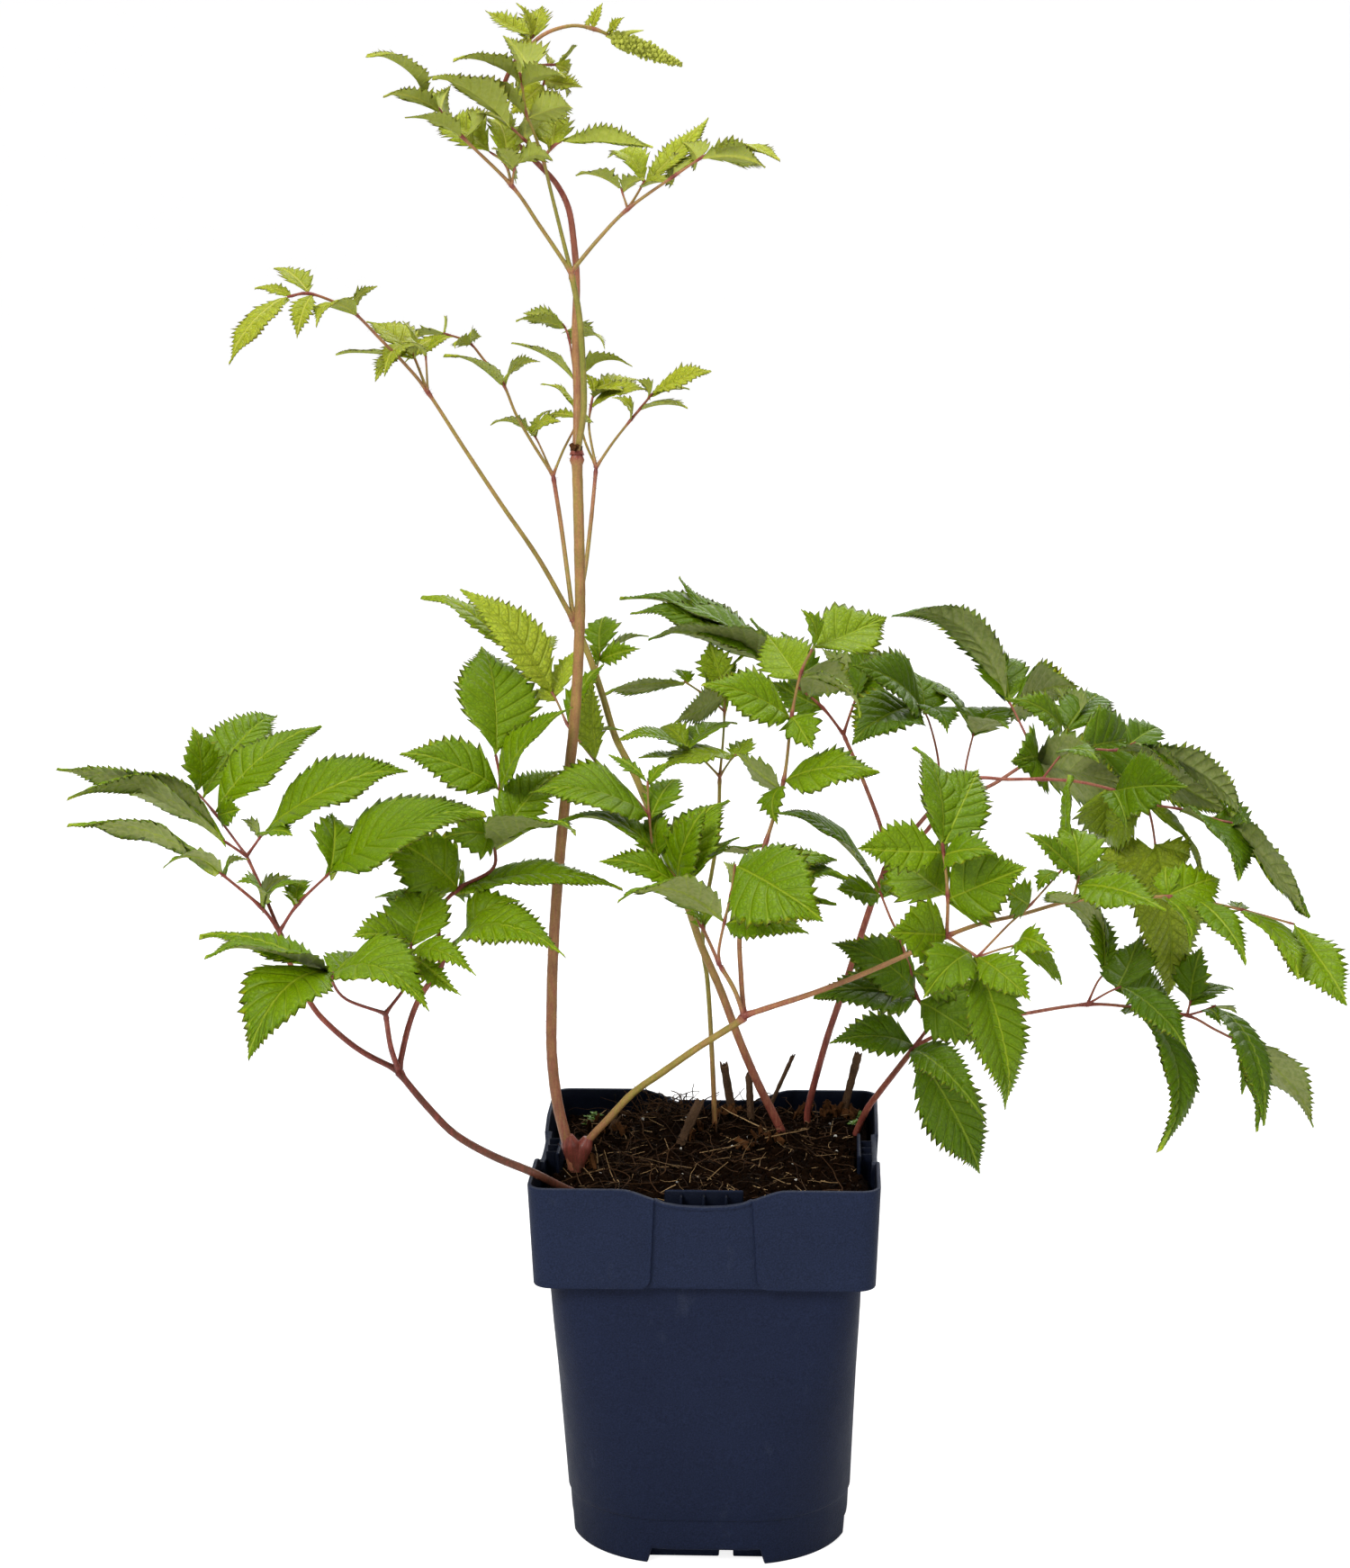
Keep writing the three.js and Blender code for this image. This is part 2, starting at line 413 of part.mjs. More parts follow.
      ['right', 4, [143, -40, 138], 35, 0.34], ['right_c', 1, [149, 22, 189], 94, 0.34],
      ['right_d', 2, [173, -41, 146], 35, 0.4], ['right', 6, [195, 0, 134], 80, 0.34],
      ['right', 6, [173, -30, 141], 60, 0.38],
    ],
  },
  // The small leaf on a thin stalk in the middle.
  back_leaf: {
    color: '#94a84a',
    fold: 14,
    stalks: {
      petiole: { radii: [0.9, 0.6], route: [
        [1.5, 26, 112], [1, 25, 120.5], [0.5, 24, 137.5], [-1.5, 25, 174.5], [-3, 26, 185.5],
        [2, 33, 223], [2.5, 34, 240.5],
      ] },
      up: { start: ['petiole', 6], radii: [0.45, 0.35], route: [[4, 38, 261.5], [4, 40, 268.5]] },
      left: { start: ['up', 1], radii: [0.35, 0.3], route: [[-3, 34, 268], [-9, 32, 272.5]] },
      mid: { start: ['petiole', 6], radii: [0.4, 0.35], route: [[-3.5, 28, 248], [-8, 24, 251.5]] },
      right: { start: ['petiole', 6], radii: [0.4, 0.3], route: [[6, 30, 246.5], [8, 28, 249]] },
    },
    knots: [['petiole', 1.0]],
    leaflets: [
      ['up', 2, [-1, 42, 284], 16, 0.6], ['up', 2, [-12, 16, 262], 100, 0.4],
      ['up', 1, [9, 52, 278], 60, 0.4], ['left', 2, [-35, 16, 272], 105, 0.45],
      ['mid', 2, [8, 40, 258], 58, 0.48], ['mid', 2, [-17, 35, 257], 26, 0.55],
      ['mid', 2, [-28, 6, 259], 85, 0.34], ['mid', 2, [-23, 15, 251], 68, 0.3],
      ['right', 2, [-16, 15, 247], 45, 0.38],
    ],
  },
};

// The flower bud, from its foot to its tip.
const BUD_ROUTE = [[-28.3, 2, 476.7], [-7.5, 4, 468.2]];

// Cut stems of an earlier year, standing in the soil.
const STUBS = [
  { radius: 1.1, route: [[9, 36, 108], [7, 36, 121], [3.5, 38, 142]] },
  { radius: 1.1, route: [[14.5, 30, 108], [13, 30, 121], [12, 31, 140.5]] },
  { radius: 0.7, route: [[16, 44, 108], [17.5, 44.5, 121], [26.5, 50, 141.5]] },
  { radius: 1.4, route: [[41, 43, 108], [43, 44, 121], [48.5, 48, 143]] },
  { radius: 1.1, route: [[-12.5, 14, 108], [-9, 13, 120], [-2.5, 20, 135]] },
  { radius: 1.1, route: [[-38, 24, 108], [-35, 24, 119], [-31.5, 25, 127]] },
];

// ---------------------------------------------------------------- solids
// A closed geometry as a manifold solid, with its shared corners merged.
function solid(geometry) {
  const bare = geometry.clone();
  bare.deleteAttribute('normal');
  bare.deleteAttribute('uv');
  const merged = mergeVertices(bare);
  return new wasm.Manifold(new wasm.Mesh({
    numProp: 3,
    vertProperties: new Float32Array(merged.attributes.position.array),
    triVerts: new Uint32Array(merged.index.array),
  }));
}

// Vertices and triangles of a manifold solid as a three.js geometry.
function geometryOf(manifold) {
  const mesh = manifold.getMesh();
  const geometry = new THREE.BufferGeometry();
  geometry.setAttribute('position', new THREE.BufferAttribute(mesh.vertProperties, 3));
  geometry.setIndex(new THREE.BufferAttribute(mesh.triVerts, 1));
  geometry.computeVertexNormals();
  return geometry;
}

function joined(solids) {
  return solids.reduce((whole, piece) => whole.add(piece));
}

function closedGeometry(points, triangles) {
  const geometry = new THREE.BufferGeometry();
  geometry.setAttribute('position', new THREE.Float32BufferAttribute(points.flat(), 3));
  geometry.setIndex(triangles.flat());
  return geometry;
}

function box([x0, x1], [y0, y1], [z0, z1]) {
  const geometry = new THREE.BoxGeometry(x1 - x0, y1 - y0, z1 - z0);
  geometry.translate((x0 + x1) / 2, (y0 + y1) / 2, (z0 + z1) / 2);
  return solid(geometry);
}

// The outline, drawn in x and z, pushed through the pot's front wall from y0 to y1.
function prism(outline, y0, y1) {
  const shape = new THREE.Shape(outline.map(([x, z]) => new THREE.Vector2(x, z)));
  const geometry = new THREE.ExtrudeGeometry(shape, { depth: y1 - y0, bevelEnabled: false });
  geometry.rotateX(Math.PI / 2);
  geometry.translate(0, y1, 0);
  return solid(geometry);
}

// The same tool on all four sides of the pot.
function onFourSides(tool) {
  return joined([0, 90, 180, 270].map((angle) => tool.rotate([0, 0, angle])));
}

// ---------------------------------------------------------------- the pot
// Outline of a square with rounded corners, counterclockwise.
function roundedSquare(half, corner) {
  const outline = [];
  for (let quarter = 0; quarter < 4; quarter += 1) {
    const turn = quarter * Math.PI / 2;
    const centre = half - corner;
    for (let step = 0; step <= CORNER_STEPS; step += 1) {
      const angle = (step / CORNER_STEPS) * Math.PI / 2;
      const x = centre + corner * Math.cos(angle);
      const y = centre + corner * Math.sin(angle);
      outline.push([x * Math.cos(turn) - y * Math.sin(turn), x * Math.sin(turn) + y * Math.cos(turn)]);
    }
  }
  return outline;
}

// A closed solid through rounded squares, each given as [height, half width, corner radius].
function loft(levels) {
  const rings = levels.map(([z, half, corner]) => roundedSquare(half, corner).map(([x, y]) => [x, y, z]));
  const count = rings[0].length;
  const points = rings.flat();
  const triangles = [];
  for (let level = 0; level < rings.length - 1; level += 1) {
    for (let i = 0; i < count; i += 1) {
      const a = level * count + i;
      const b = level * count + (i + 1) % count;
      triangles.push([a, b, b + count], [a, b + count, a + count]);
    }
  }
  const foot = points.push([0, 0, levels[0][0]]) - 1;
  const head = points.push([0, 0, levels.at(-1)[0]]) - 1;
  const last = (rings.length - 1) * count;
  for (let i = 0; i < count; i += 1) {
    const next = (i + 1) % count;
    triangles.push([foot, next, i], [head, last + i, last + next]);
  }
  return solid(closedGeometry(points, triangles));
}

const COLLAR_FOOT = POT_HEIGHT - COLLAR_DEPTH;
const LEDGE_TOP = COLLAR_FOOT + WALL;

// The body's half width and corner at the heights where it changes, taken in by an inset.
function bodyLevels(bottom, top, inset) {
  const profile = [
    [0, FOOT_HALF, FOOT_CORNER],
    [SEAM_HEIGHT, FOOT_HALF + SEAM_STEP, SEAM_CORNER],
    [SEAM_HEIGHT + SEAM_STEP, FOOT_HALF + 2 * SEAM_STEP, SEAM_CORNER],
    [MIDDLE_HEIGHT, MIDDLE_HALF, MIDDLE_CORNER],
    [LEDGE_TOP, SHOULDER_HALF, SHOULDER_CORNER],
  ];
  const inside = profile.filter(([z]) => z > bottom && z < top);
  return [levelAt(profile, bottom), ...inside, levelAt(profile, top)]
    .map(([z, half, corner]) => [z, half - inset, corner - inset]);
}

function levelAt(profile, z) {
  const above = Math.max(1, profile.findIndex(([height]) => height >= z));
  const [z0, half0, corner0] = profile[above - 1];
  const [z1, half1, corner1] = profile[above];
  const share = (z - z0) / (z1 - z0);
  return [z, half0 + share * (half1 - half0), corner0 + share * (corner1 - corner0)];
}

function collarLevel(z, inset) {
  const share = (z - COLLAR_FOOT) / COLLAR_DEPTH;
  return [z, COLLAR_FOOT_HALF + share * (RIM_HALF - COLLAR_FOOT_HALF) - inset, COLLAR_CORNER - inset];
}

// Outline of the sunken panel, which widens at its foot. The collar's foot is open there.
function panelOutline() {
  const half = PANEL_WIDTH / 2;
  const flare = COLLAR_FOOT + PANEL_CORNER;
  const right = [
    [half + PANEL_CORNER, COLLAR_FOOT - OVERLAP], [half + PANEL_FLARE, flare - PANEL_FLARE_DROP],
    [half, flare], [half, POT_HEIGHT + OVERLAP],
  ];
  return [...right, ...right.map(([x, z]) => [-x, z]).reverse()];
}

function panelCut() {
  const tool = prism(panelOutline(), -RIM_HALF - OVERLAP, -RIM_HALF + PANEL_DEPTH);
  const lean = THREE.MathUtils.radToDeg(Math.atan((RIM_HALF - COLLAR_FOOT_HALF) / COLLAR_DEPTH));
  return onFourSides(tool.translate([0, RIM_HALF, -POT_HEIGHT]).rotate([lean, 0, 0])
    .translate([0, -RIM_HALF, POT_HEIGHT]));
}

function rimDip() {
  const ramp = DIP_HALF - DIP_FLAT_HALF;
  const right = [
    [DIP_FLAT_HALF, -DIP_DEPTH],
    ...DIP_RAMP.map(([run, depth]) => [DIP_FLAT_HALF + run * ramp, -depth * DIP_DEPTH]),
    [DIP_HALF, 0], [DIP_HALF, OVERLAP],
  ];
  const left = right.map(([x, z]) => [-x, z]).reverse();
  const outline = [...right, ...left].map(([x, z]) => [x, POT_HEIGHT + z]);
  return onFourSides(prism(outline, -RIM_HALF - OVERLAP, -RIM_HALF + DIP_REACH));
}

// The wall stands in behind the sunken panel, so the hollow is narrower there.
function collarHollow() {
  const hollow = loft([collarLevel(LEDGE_TOP, WALL), collarLevel(POT_HEIGHT + OVERLAP, WALL)]);
  const half = PANEL_WIDTH / 2 + WALL;
  const step = box(
    [-half, half], [-RIM_HALF, -COLLAR_FOOT_HALF + PANEL_DEPTH + WALL],
    [COLLAR_FOOT, POT_HEIGHT + 2 * OVERLAP],
  );
  return hollow.subtract(onFourSides(step));
}

function labelPocket() {
  const plate = box(
    [-POCKET_HALF, POCKET_HALF], [-POCKET_PLATE_Y, -POCKET_PLATE_Y + POCKET_PLATE],
    [COLLAR_FOOT + WALL / 2, POCKET_TOP],
  );
  const ribs = [-1, 0, 1].map((place) => box(
    [place * POCKET_RIB_PITCH - POCKET_RIB / 2, place * POCKET_RIB_PITCH + POCKET_RIB / 2],
    [-RIM_HALF + PANEL_DEPTH + WALL / 2, -POCKET_PLATE_Y + POCKET_PLATE / 2],
    [POCKET_RIB_FOOT, POCKET_RIB_TOP - DIP_DEPTH / 2],
  ));
  return onFourSides(joined([plate, ...ribs]));
}

function footNotch() {
  const outline = [
    [-NOTCH_HALF, -OVERLAP], [NOTCH_HALF, -OVERLAP],
    [NOTCH_HALF - NOTCH_SLANT, NOTCH_HEIGHT], [-NOTCH_HALF + NOTCH_SLANT, NOTCH_HEIGHT],
  ];
  return onFourSides(prism(outline, -FOOT_HALF - OVERLAP, -BLOCK_Y - OVERLAP));
}

function footBlocks() {
  const height = [0, (FLOOR_UNDERSIDE + FLOOR_TOP) / 2];
  const depth = [-BLOCK_Y, -BLOCK_Y + BLOCK_DEPTH];
  const outer = onFourSides(joined([box(WIDE_BLOCK_X, depth, height), box(NARROW_BLOCK_X, depth, height)]));
  const reach = [-MIDDLE_BLOCK / 2, MIDDLE_BLOCK / 2];
  return outer.add(box(reach, reach, height));
}

function drainHole(x, y) {
  const geometry = new THREE.CylinderGeometry(DRAIN_RADIUS, DRAIN_RADIUS, 2 * FLOOR_TOP, DRAIN_SIDES);
  geometry.rotateX(Math.PI / 2);
  geometry.translate(x, y, FLOOR_TOP);
  return solid(geometry);
}

function potSolid() {
  const body = loft(bodyLevels(0, LEDGE_TOP, 0));
  const collar = loft([collarLevel(COLLAR_FOOT, 0), collarLevel(POT_HEIGHT, 0)]).subtract(panelCut());
  const underside = loft(bodyLevels(-OVERLAP, FLOOR_UNDERSIDE, WALL + SEAM_STEP / 2));
  const hollow = loft(bodyLevels(FLOOR_TOP, LEDGE_TOP + OVERLAP, WALL));
  return body.add(collar)
    .subtract(underside)
    .subtract(hollow)
    .subtract(collarHollow())
    .subtract(rimDip())
    .subtract(footNotch())
    .add(labelPocket())
    .add(footBlocks())
    .subtract(drainHole(DRAIN_OFFSET, DRAIN_OFFSET))
    .subtract(drainHole(-DRAIN_OFFSET, DRAIN_OFFSET))
    .subtract(drainHole(DRAIN_OFFSET, -DRAIN_OFFSET))
    .subtract(drainHole(-DRAIN_OFFSET, -DRAIN_OFFSET));
}

// ---------------------------------------------------------------- the soil
function soilHeight(x, y) {
  const mound = SOIL_MOUND * (1 - (x * x + y * y) / (2 * RIM_HALF * RIM_HALF));
  const [a, b, c, d] = SOIL_WAVES;
  const bumps = Math.sin(x / a + 1) * Math.cos(y / b) + Math.sin((x + y) / c) * Math.cos((x - y) / d);
  return SOIL_LEVEL + mound + SOIL_BUMP * bumps;
}

// The upper part of the soil, a block with an uneven top made of rings round its middle.
function soilTop() {
  const outline = roundedSquare(COLLAR_FOOT_HALF - WALL - GAP, COLLAR_CORNER - WALL);
  const count = outline.length;
  const points = outline.map(([x, y]) => [x, y, LEDGE_TOP + GAP]);
  for (let ring = SOIL_RINGS; ring > 0; ring -= 1) {
    const share = ring / SOIL_RINGS;
    outline.forEach(([x, y]) => points.push([x * share, y * share, soilHeight(x * share, y * share)]));
  }
  const foot = points.push([0, 0, LEDGE_TOP + GAP]) - 1;
  const head = points.push([0, 0, soilHeight(0, 0)]) - 1;
  const triangles = [];
  for (let i = 0; i < count; i += 1) {
    const next = (i + 1) % count;
    for (let ring = 0; ring < SOIL_RINGS; ring += 1) {
      const a = ring * count;
      triangles.push([a + i, a + next, a + count + next], [a + i, a + count + next, a + count + i]);
    }
    triangles.push([foot, next, i], [head, SOIL_RINGS * count + i, SOIL_RINGS * count + next]);
  }
  return solid(closedGeometry(points, triangles));
}

// Room for the label pocket on each side, which the soil stays clear of.
function pocketRoom() {
  const reach = POCKET_HALF + 2 * GAP;
  return onFourSides(box(
    [-reach, reach], [-RIM_HALF, -POCKET_PLATE_Y + POCKET_PLATE + GAP],
    [COLLAR_FOOT - OVERLAP, POT_HEIGHT + OVERLAP],
  ));
}

// The collar's wall stands in behind the sunken panel, so the soil does too.
function panelRoom() {
  const reach = PANEL_WIDTH / 2 + WALL + GAP;
  return onFourSides(box(
    [-reach, reach], [-RIM_HALF, -COLLAR_FOOT_HALF + PANEL_DEPTH + WALL + GAP],
    [COLLAR_FOOT - OVERLAP, POT_HEIGHT + OVERLAP],
  ));
}

// A plain hole round a stalk's first stretch, a little wider and deeper than the stalk.
function stemHole(route, radius) {
  const [first, second, third] = route.map((point) => new THREE.Vector3(...point));
  const down = first.clone().sub(second).setLength(OVERLAP);
  const stretch = [first.clone().add(down), second, third].map((point) => point.toArray());
  return stalkSolid(stretch, radius + GAP, radius + GAP);
}

function soilSolid(holes) {
  const lower = loft(bodyLevels(FLOOR_TOP + GAP, LEDGE_TOP + 2 * OVERLAP, WALL + GAP));
  const whole = lower.add(soilTop()).subtract(pocketRoom()).subtract(panelRoom());
  return holes.reduce((soil, hole) => soil.subtract(hole), whole);
}

// ---------------------------------------------------------------- stalks
// A closed cylinder bent along a route, with its radius changing evenly from end to end.
function stalkSolid(route, startRadius, endRadius) {
  const curve = new THREE.CatmullRomCurve3(route.map((point) => new THREE.Vector3(...point)));
  const segments = route.length - 1;
  const sides = startRadius >= THICK_STALK ? THICK_SIDES : THIN_SIDES;
  const geometry = new THREE.CylinderGeometry(endRadius, startRadius, 1, sides, segments);
  const position = geometry.attributes.position;
  const across = new THREE.Vector3();
  const over = new THREE.Vector3();
  for (let i = 0; i < position.count; i += 1) {
    const share = Math.min(1, Math.max(0, position.getY(i) + 0.5));
    const tangent = curve.getTangent(share);
    across.crossVectors(tangent, LEVEL_AXIS).normalize();
    over.crossVectors(across, tangent);
    const point = curve.getPoint(share)
      .addScaledVector(across, position.getX(i))
      .addScaledVector(over, position.getZ(i));
    position.setXYZ(i, point.x, point.y, point.z);
  }
  return solid(geometry);
}

// A small ball for a swollen joint.
function ball(centre, radius) {
  const geometry = new THREE.IcosahedronGeometry(radius);
  geometry.translate(...centre);
  return solid(geometry);
}

// ---------------------------------------------------------------- leaflets
// Half width along the leaflet as a share of its widest, from round base to drawn-out tip.
function outlineWidth(share) {
  return Math.sin(Math.PI * share ** OUTLINE_POWER) * (1.05 - TIP_TAPER * share * share);
}

function toothCount(length) {
  if (length > LONG_LEAFLET) {
    return TEETH.long;
  }
  return length > SHORT_LEAFLET ? TEETH.middle : TEETH.short;
}

// Places along one edge, each with its share of the length and of the half width.
function toothedEdge(teeth) {
  const pitch = (LAST_TOOTH - FIRST_TOOTH) / (teeth - 1);
  const edge = [];
  for (let tooth = 0; tooth < teeth; tooth += 1) {
    const tip = FIRST_TOOTH + tooth * pitch;
    edge.push({ share: tip, width: outlineWidth(tip) * TOOTH_OUT });
    if (tooth < teeth - 1) {
      const notch = tip + NOTCH_PLACE * pitch;
      edge.push({ share: notch, width: outlineWidth(notch) * TOOTH_IN });
    }
  }
  return edge;
}

// Axes of a leaflet: along it, out of its upper face, and across it. A turn of 0 degrees
// shows the upper face to the front, 90 lays it flat, and more shows the underside.
function leafletAxes(base, tip, turn) {
  const along = tip.clone().sub(base).normalize();
  const front = new THREE.Vector3(0, -1, FRONT_LEAN);
  front.addScaledVector(along, -front.dot(along)).normalize();
  const upward = new THREE.Vector3().crossVectors(front, along);
  if (upward.z < 0) {
    upward.negate();
  }
  const angle = THREE.MathUtils.degToRad(turn);
  const normal = front.multiplyScalar(Math.cos(angle)).addScaledVector(upward, Math.sin(angle));
  return { along, normal, across: new THREE.Vector3().crossVectors(along, normal) };
}

// Triangles between two chains of corners that start and end together.
function strip(rib, edge, flip) {
  const triangles = [];
  let i = 0;
  let j = 0;
  while (i < rib.length - 1 || j < edge.length - 1) {
    const alongRib = j === edge.length - 1 || (i < rib.length - 1 && rib[i + 1].share <= edge[j + 1].share);
    const next = alongRib ? rib[i + 1] : edge[j + 1];
    const triangle = [rib[i].index, edge[j].index, next.index];
    if (new Set(triangle).size === 3) {
      triangles.push(flip ? triangle.reverse() : triangle);
    }
    i += alongRib ? 1 : 0;
    j += alongRib ? 0 : 1;
  }
  return triangles;
}

// A toothed blade, folded a little along its midrib, thick there and thin at its edge.
function leafletSolid(base, tip, turn, width, fold) {
  const start = new THREE.Vector3(...base);
  const end = new THREE.Vector3(...tip);
  const length = start.distanceTo(end);
  const { along, normal, across } = leafletAxes(start, end, turn);
  const teeth = toothCount(length);
  const slope = Math.tan(THREE.MathUtils.degToRad(fold));
  const points = [];
  const corner = (share, side, lift) => {
    const arch = 4 * BLADE_ARCH * length * share * (1 - share);
    const point = start.clone().addScaledVector(along, share * length)
      .addScaledVector(across, side)
      .addScaledVector(normal, arch + slope * Math.abs(side) + lift);
    return points.push(point.toArray()) - 1;
  };
  const first = { share: -1, index: corner(-BLADE_SINK / length, 0, 0) };
  const last = { share: 2, index: corner(1, 0, 0) };
  const edge = (sign) => [first, ...toothedEdge(teeth).map((place) => ({
    share: place.share,
    index: corner(place.share, sign * place.width * width * length / 2, 0),
  })), last];
  const ribShares = teeth === TEETH.long ? LONG_RIB : SHORT_RIB;
  const rib = (sign) => [first, ...ribShares.map((share) => ({
    share,
    index: corner(share, 0, sign * BLADE_THICKNESS / 2),
  })), last];
  const right = edge(1);
  const left = edge(-1);
  const top = rib(1);
  const bottom = rib(-1);
  return solid(closedGeometry(points, [
    ...strip(top, right, false), ...strip(top, left, true),
    ...strip(bottom, right, true), ...strip(bottom, left, false),
  ]));
}

// ---------------------------------------------------------------- fronds
// Full routes of a frond's stalks: each starts at a joint of the stalk that it grows from.
function stalkRoutes(frond) {
  const routes = {};
  for (const [name, stalk] of Object.entries(frond.stalks)) {
    const joint = stalk.start ? [routes[stalk.start[0]][stalk.start[1]]] : [];
    routes[name] = [...joint, ...stalk.route];
  }
  return routes;
}

// Leaflets that share a joint sit one behind the other along the stalk.
function leafletBases(frond, routes) {
  const taken = {};
  return frond.leaflets.map(([name, joint]) => {
    const place = `${name} ${joint}`;
    const order = taken[place] ?? 0;
    taken[place] = order + 1;
    const here = new THREE.Vector3(...routes[name][joint]);
    const towards = new THREE.Vector3(...routes[name][joint === 0 ? 1 : joint - 1]);
    const most = LEAFLET_REACH * here.distanceTo(towards);
    const reach = Math.min(LEAFLET_PITCH * (order + LEAFLET_PITCH_START), most);
    return here.add(towards.sub(here).setLength(reach)).toArray();
  });
}

function frondSolid(frond) {
  const routes = stalkRoutes(frond);
  const bases = leafletBases(frond, routes);
  const stalks = Object.entries(frond.stalks).map(([name, stalk]) => (
    stalkSolid(routes[name], ...stalk.radii.map((radius) => Math.max(radius, THIN_STALK)))
  ));
  const knots = frond.knots.map(([name, radius]) => ball(routes[name].at(-1), radius));
  const leaflets = frond.leaflets.map(([, , tip, turn, width], i) => (
    leafletSolid(bases[i], tip, turn, width, frond.fold)
  ));
  return joined([...stalks, ...knots, ...leaflets]);
}

// The flower bud: a tapering core with small florets packed round it in a spiral.
function budSolid() {
  const [start, end] = BUD_ROUTE.map((point) => new THREE.Vector3(...point));
  const axis = end.clone().sub(start).normalize();
  const turn = new THREE.Quaternion().setFromUnitVectors(new THREE.Vector3(0, 1, 0), axis);
  const core = new THREE.LatheGeometry(
    BUD_CORE.map(([r, y]) => new THREE.Vector2(r * BUD_RADIUS, y * BUD_LENGTH)), BUD_SIDES,
  );
  core.applyQuaternion(turn).translate(...start.toArray());
  const florets = Array.from({ length: BUD_FLORETS }, (_, i) => {
    const share = FLORET_START + FLORET_STRETCH * (i / BUD_FLORETS);
    const reach = BUD_RADIUS * FLORET_REACH * Math.sin(Math.PI * (0.3 + 0.68 * share)) ** 0.8;
    const place = new THREE.Vector3(
      reach * Math.cos(i * GOLDEN_ANGLE), share * BUD_LENGTH, reach * Math.sin(i * GOLDEN_ANGLE),
    ).applyQuaternion(turn).add(start);
    const floret = new THREE.OctahedronGeometry(FLORET_RADIUS * (1.15 - 0.5 * share));
    return solid(floret.rotateX(i).translate(...place.toArray()));
  });
  return joined([solid(core), ...florets]);
}

// ---------------------------------------------------------------- the plant in its pot
function named(name, manifold, color, roughness) {
  const material = new THREE.MeshStandardMaterial({ color, roughness, metalness: 0 });
  const mesh = new THREE.Mesh(geometryOf(manifold), material);
  mesh.name = name;
  return mesh;
}

function stemHoles() {
  const petioles = Object.values(FRONDS).map((frond) => Object.values(frond.stalks)[0]);
  const stubs = STUBS.map((stub) => ({ route: stub.route, radii: [stub.radius] }));
  return [...petioles, ...stubs].map(({ route, radii }) => stemHole(route, radii[0]));
}

const plant = new THREE.Group();
plant.name = 'astilbe';
plant.add(named('pot', potSolid(), '#1f2840', 0.45));
plant.add(named('soil', soilSolid(stemHoles()), '#2a211b', 0.95));
for (const [name, frond] of Object.entries(FRONDS)) {
  plant.add(named(name, frondSolid(frond), frond.color, 0.6));
}
plant.add(named('flower_bud', budSolid(), '#b3bf52', 0.7));
STUBS.forEach(({ route, radius }, i) => {
  const stub = stalkSolid(route, radius, radius * STUB_TAPER);
  plant.add(named(`old_stub_${i + 1}`, stub, '#6b4a35', 0.8));
});

export default plant;
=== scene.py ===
# An astilbe in a square nursery pot. Sizes are in millimetres until a mesh is made.
import math

import bpy
import numpy as np
from mathutils import Matrix, Vector, noise


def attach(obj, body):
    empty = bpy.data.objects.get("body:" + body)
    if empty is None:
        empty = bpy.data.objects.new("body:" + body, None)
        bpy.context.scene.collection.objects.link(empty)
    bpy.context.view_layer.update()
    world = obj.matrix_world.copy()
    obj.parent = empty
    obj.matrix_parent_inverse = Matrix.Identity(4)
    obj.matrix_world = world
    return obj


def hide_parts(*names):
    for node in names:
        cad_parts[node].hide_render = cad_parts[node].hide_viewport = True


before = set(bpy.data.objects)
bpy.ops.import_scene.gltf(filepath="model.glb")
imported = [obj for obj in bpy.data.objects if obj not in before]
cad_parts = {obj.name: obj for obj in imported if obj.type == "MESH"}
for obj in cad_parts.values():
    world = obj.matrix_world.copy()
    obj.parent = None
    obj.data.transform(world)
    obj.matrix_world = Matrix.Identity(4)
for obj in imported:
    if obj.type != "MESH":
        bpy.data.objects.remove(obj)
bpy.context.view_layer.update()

MM = 0.001
SEED = 41
GOLDEN_ANGLE = math.pi * (3 - math.sqrt(5))

# ---------------------------------------------------------------- sizes of the pot
POT_HEIGHT = 128
RIM_HALF = 55
COLLAR_FOOT = 95
COLLAR_FOOT_HALF = 53.5
COLLAR_CORNER = 6
WALL = 1.3
LEDGE_TOP = COLLAR_FOOT + WALL
FLOOR_UNDERSIDE = 5.5
FLOOR_TOP = 7
SEAM_HEIGHT = 15
FOOT_INSET = 0.25
# Height, half width and corner radius of the body, from its foot to the ledge under the collar.
BODY = (
    (0, 45, 36), (15, 45.5, 34), (15.4, 46, 34), (38, 46.8, 27), (60, 47.6, 20), (80, 48.6, 14),
    (96.3, 49.2, 9),
)
PANEL_HALF = 16.5
PANEL_DEPTH = 1.2
PANEL_TAPER = 0.06
LIP_SHARE = 0.5                   # the share of a panel's depth that is left at the rim
PANEL_CORNER = 4
DIP_HALF = 26
DIP_FLAT_HALF = 13
DIP_DEPTH = 3.9
DIP_SAG = 1.7
DIP_SAG_HALF = 16
NOTCH_COLUMN = 23.5               # the column where the foot's cut-out ends
NOTCH_HEIGHT = 5
DRAIN_RADIUS = 4
DRAIN_OFFSET = 25
# Columns of the pot's wall: their places across a collar face, from its middle to its corner.
POT_COLUMNS = (
    0, 3.5, 7, 10.5, 13, 15, 16.25, 16.75, 17.6, 18.6, 19.6, 20.5, 21.5, 22.5, 23.5, 24.5, 27, 30, 33.5,
    37, 40.5, 44, 46.5, 48, 49.2, 50.4, 51.4, 52.4, 53.2,
)
POT_DIAGONAL = 54
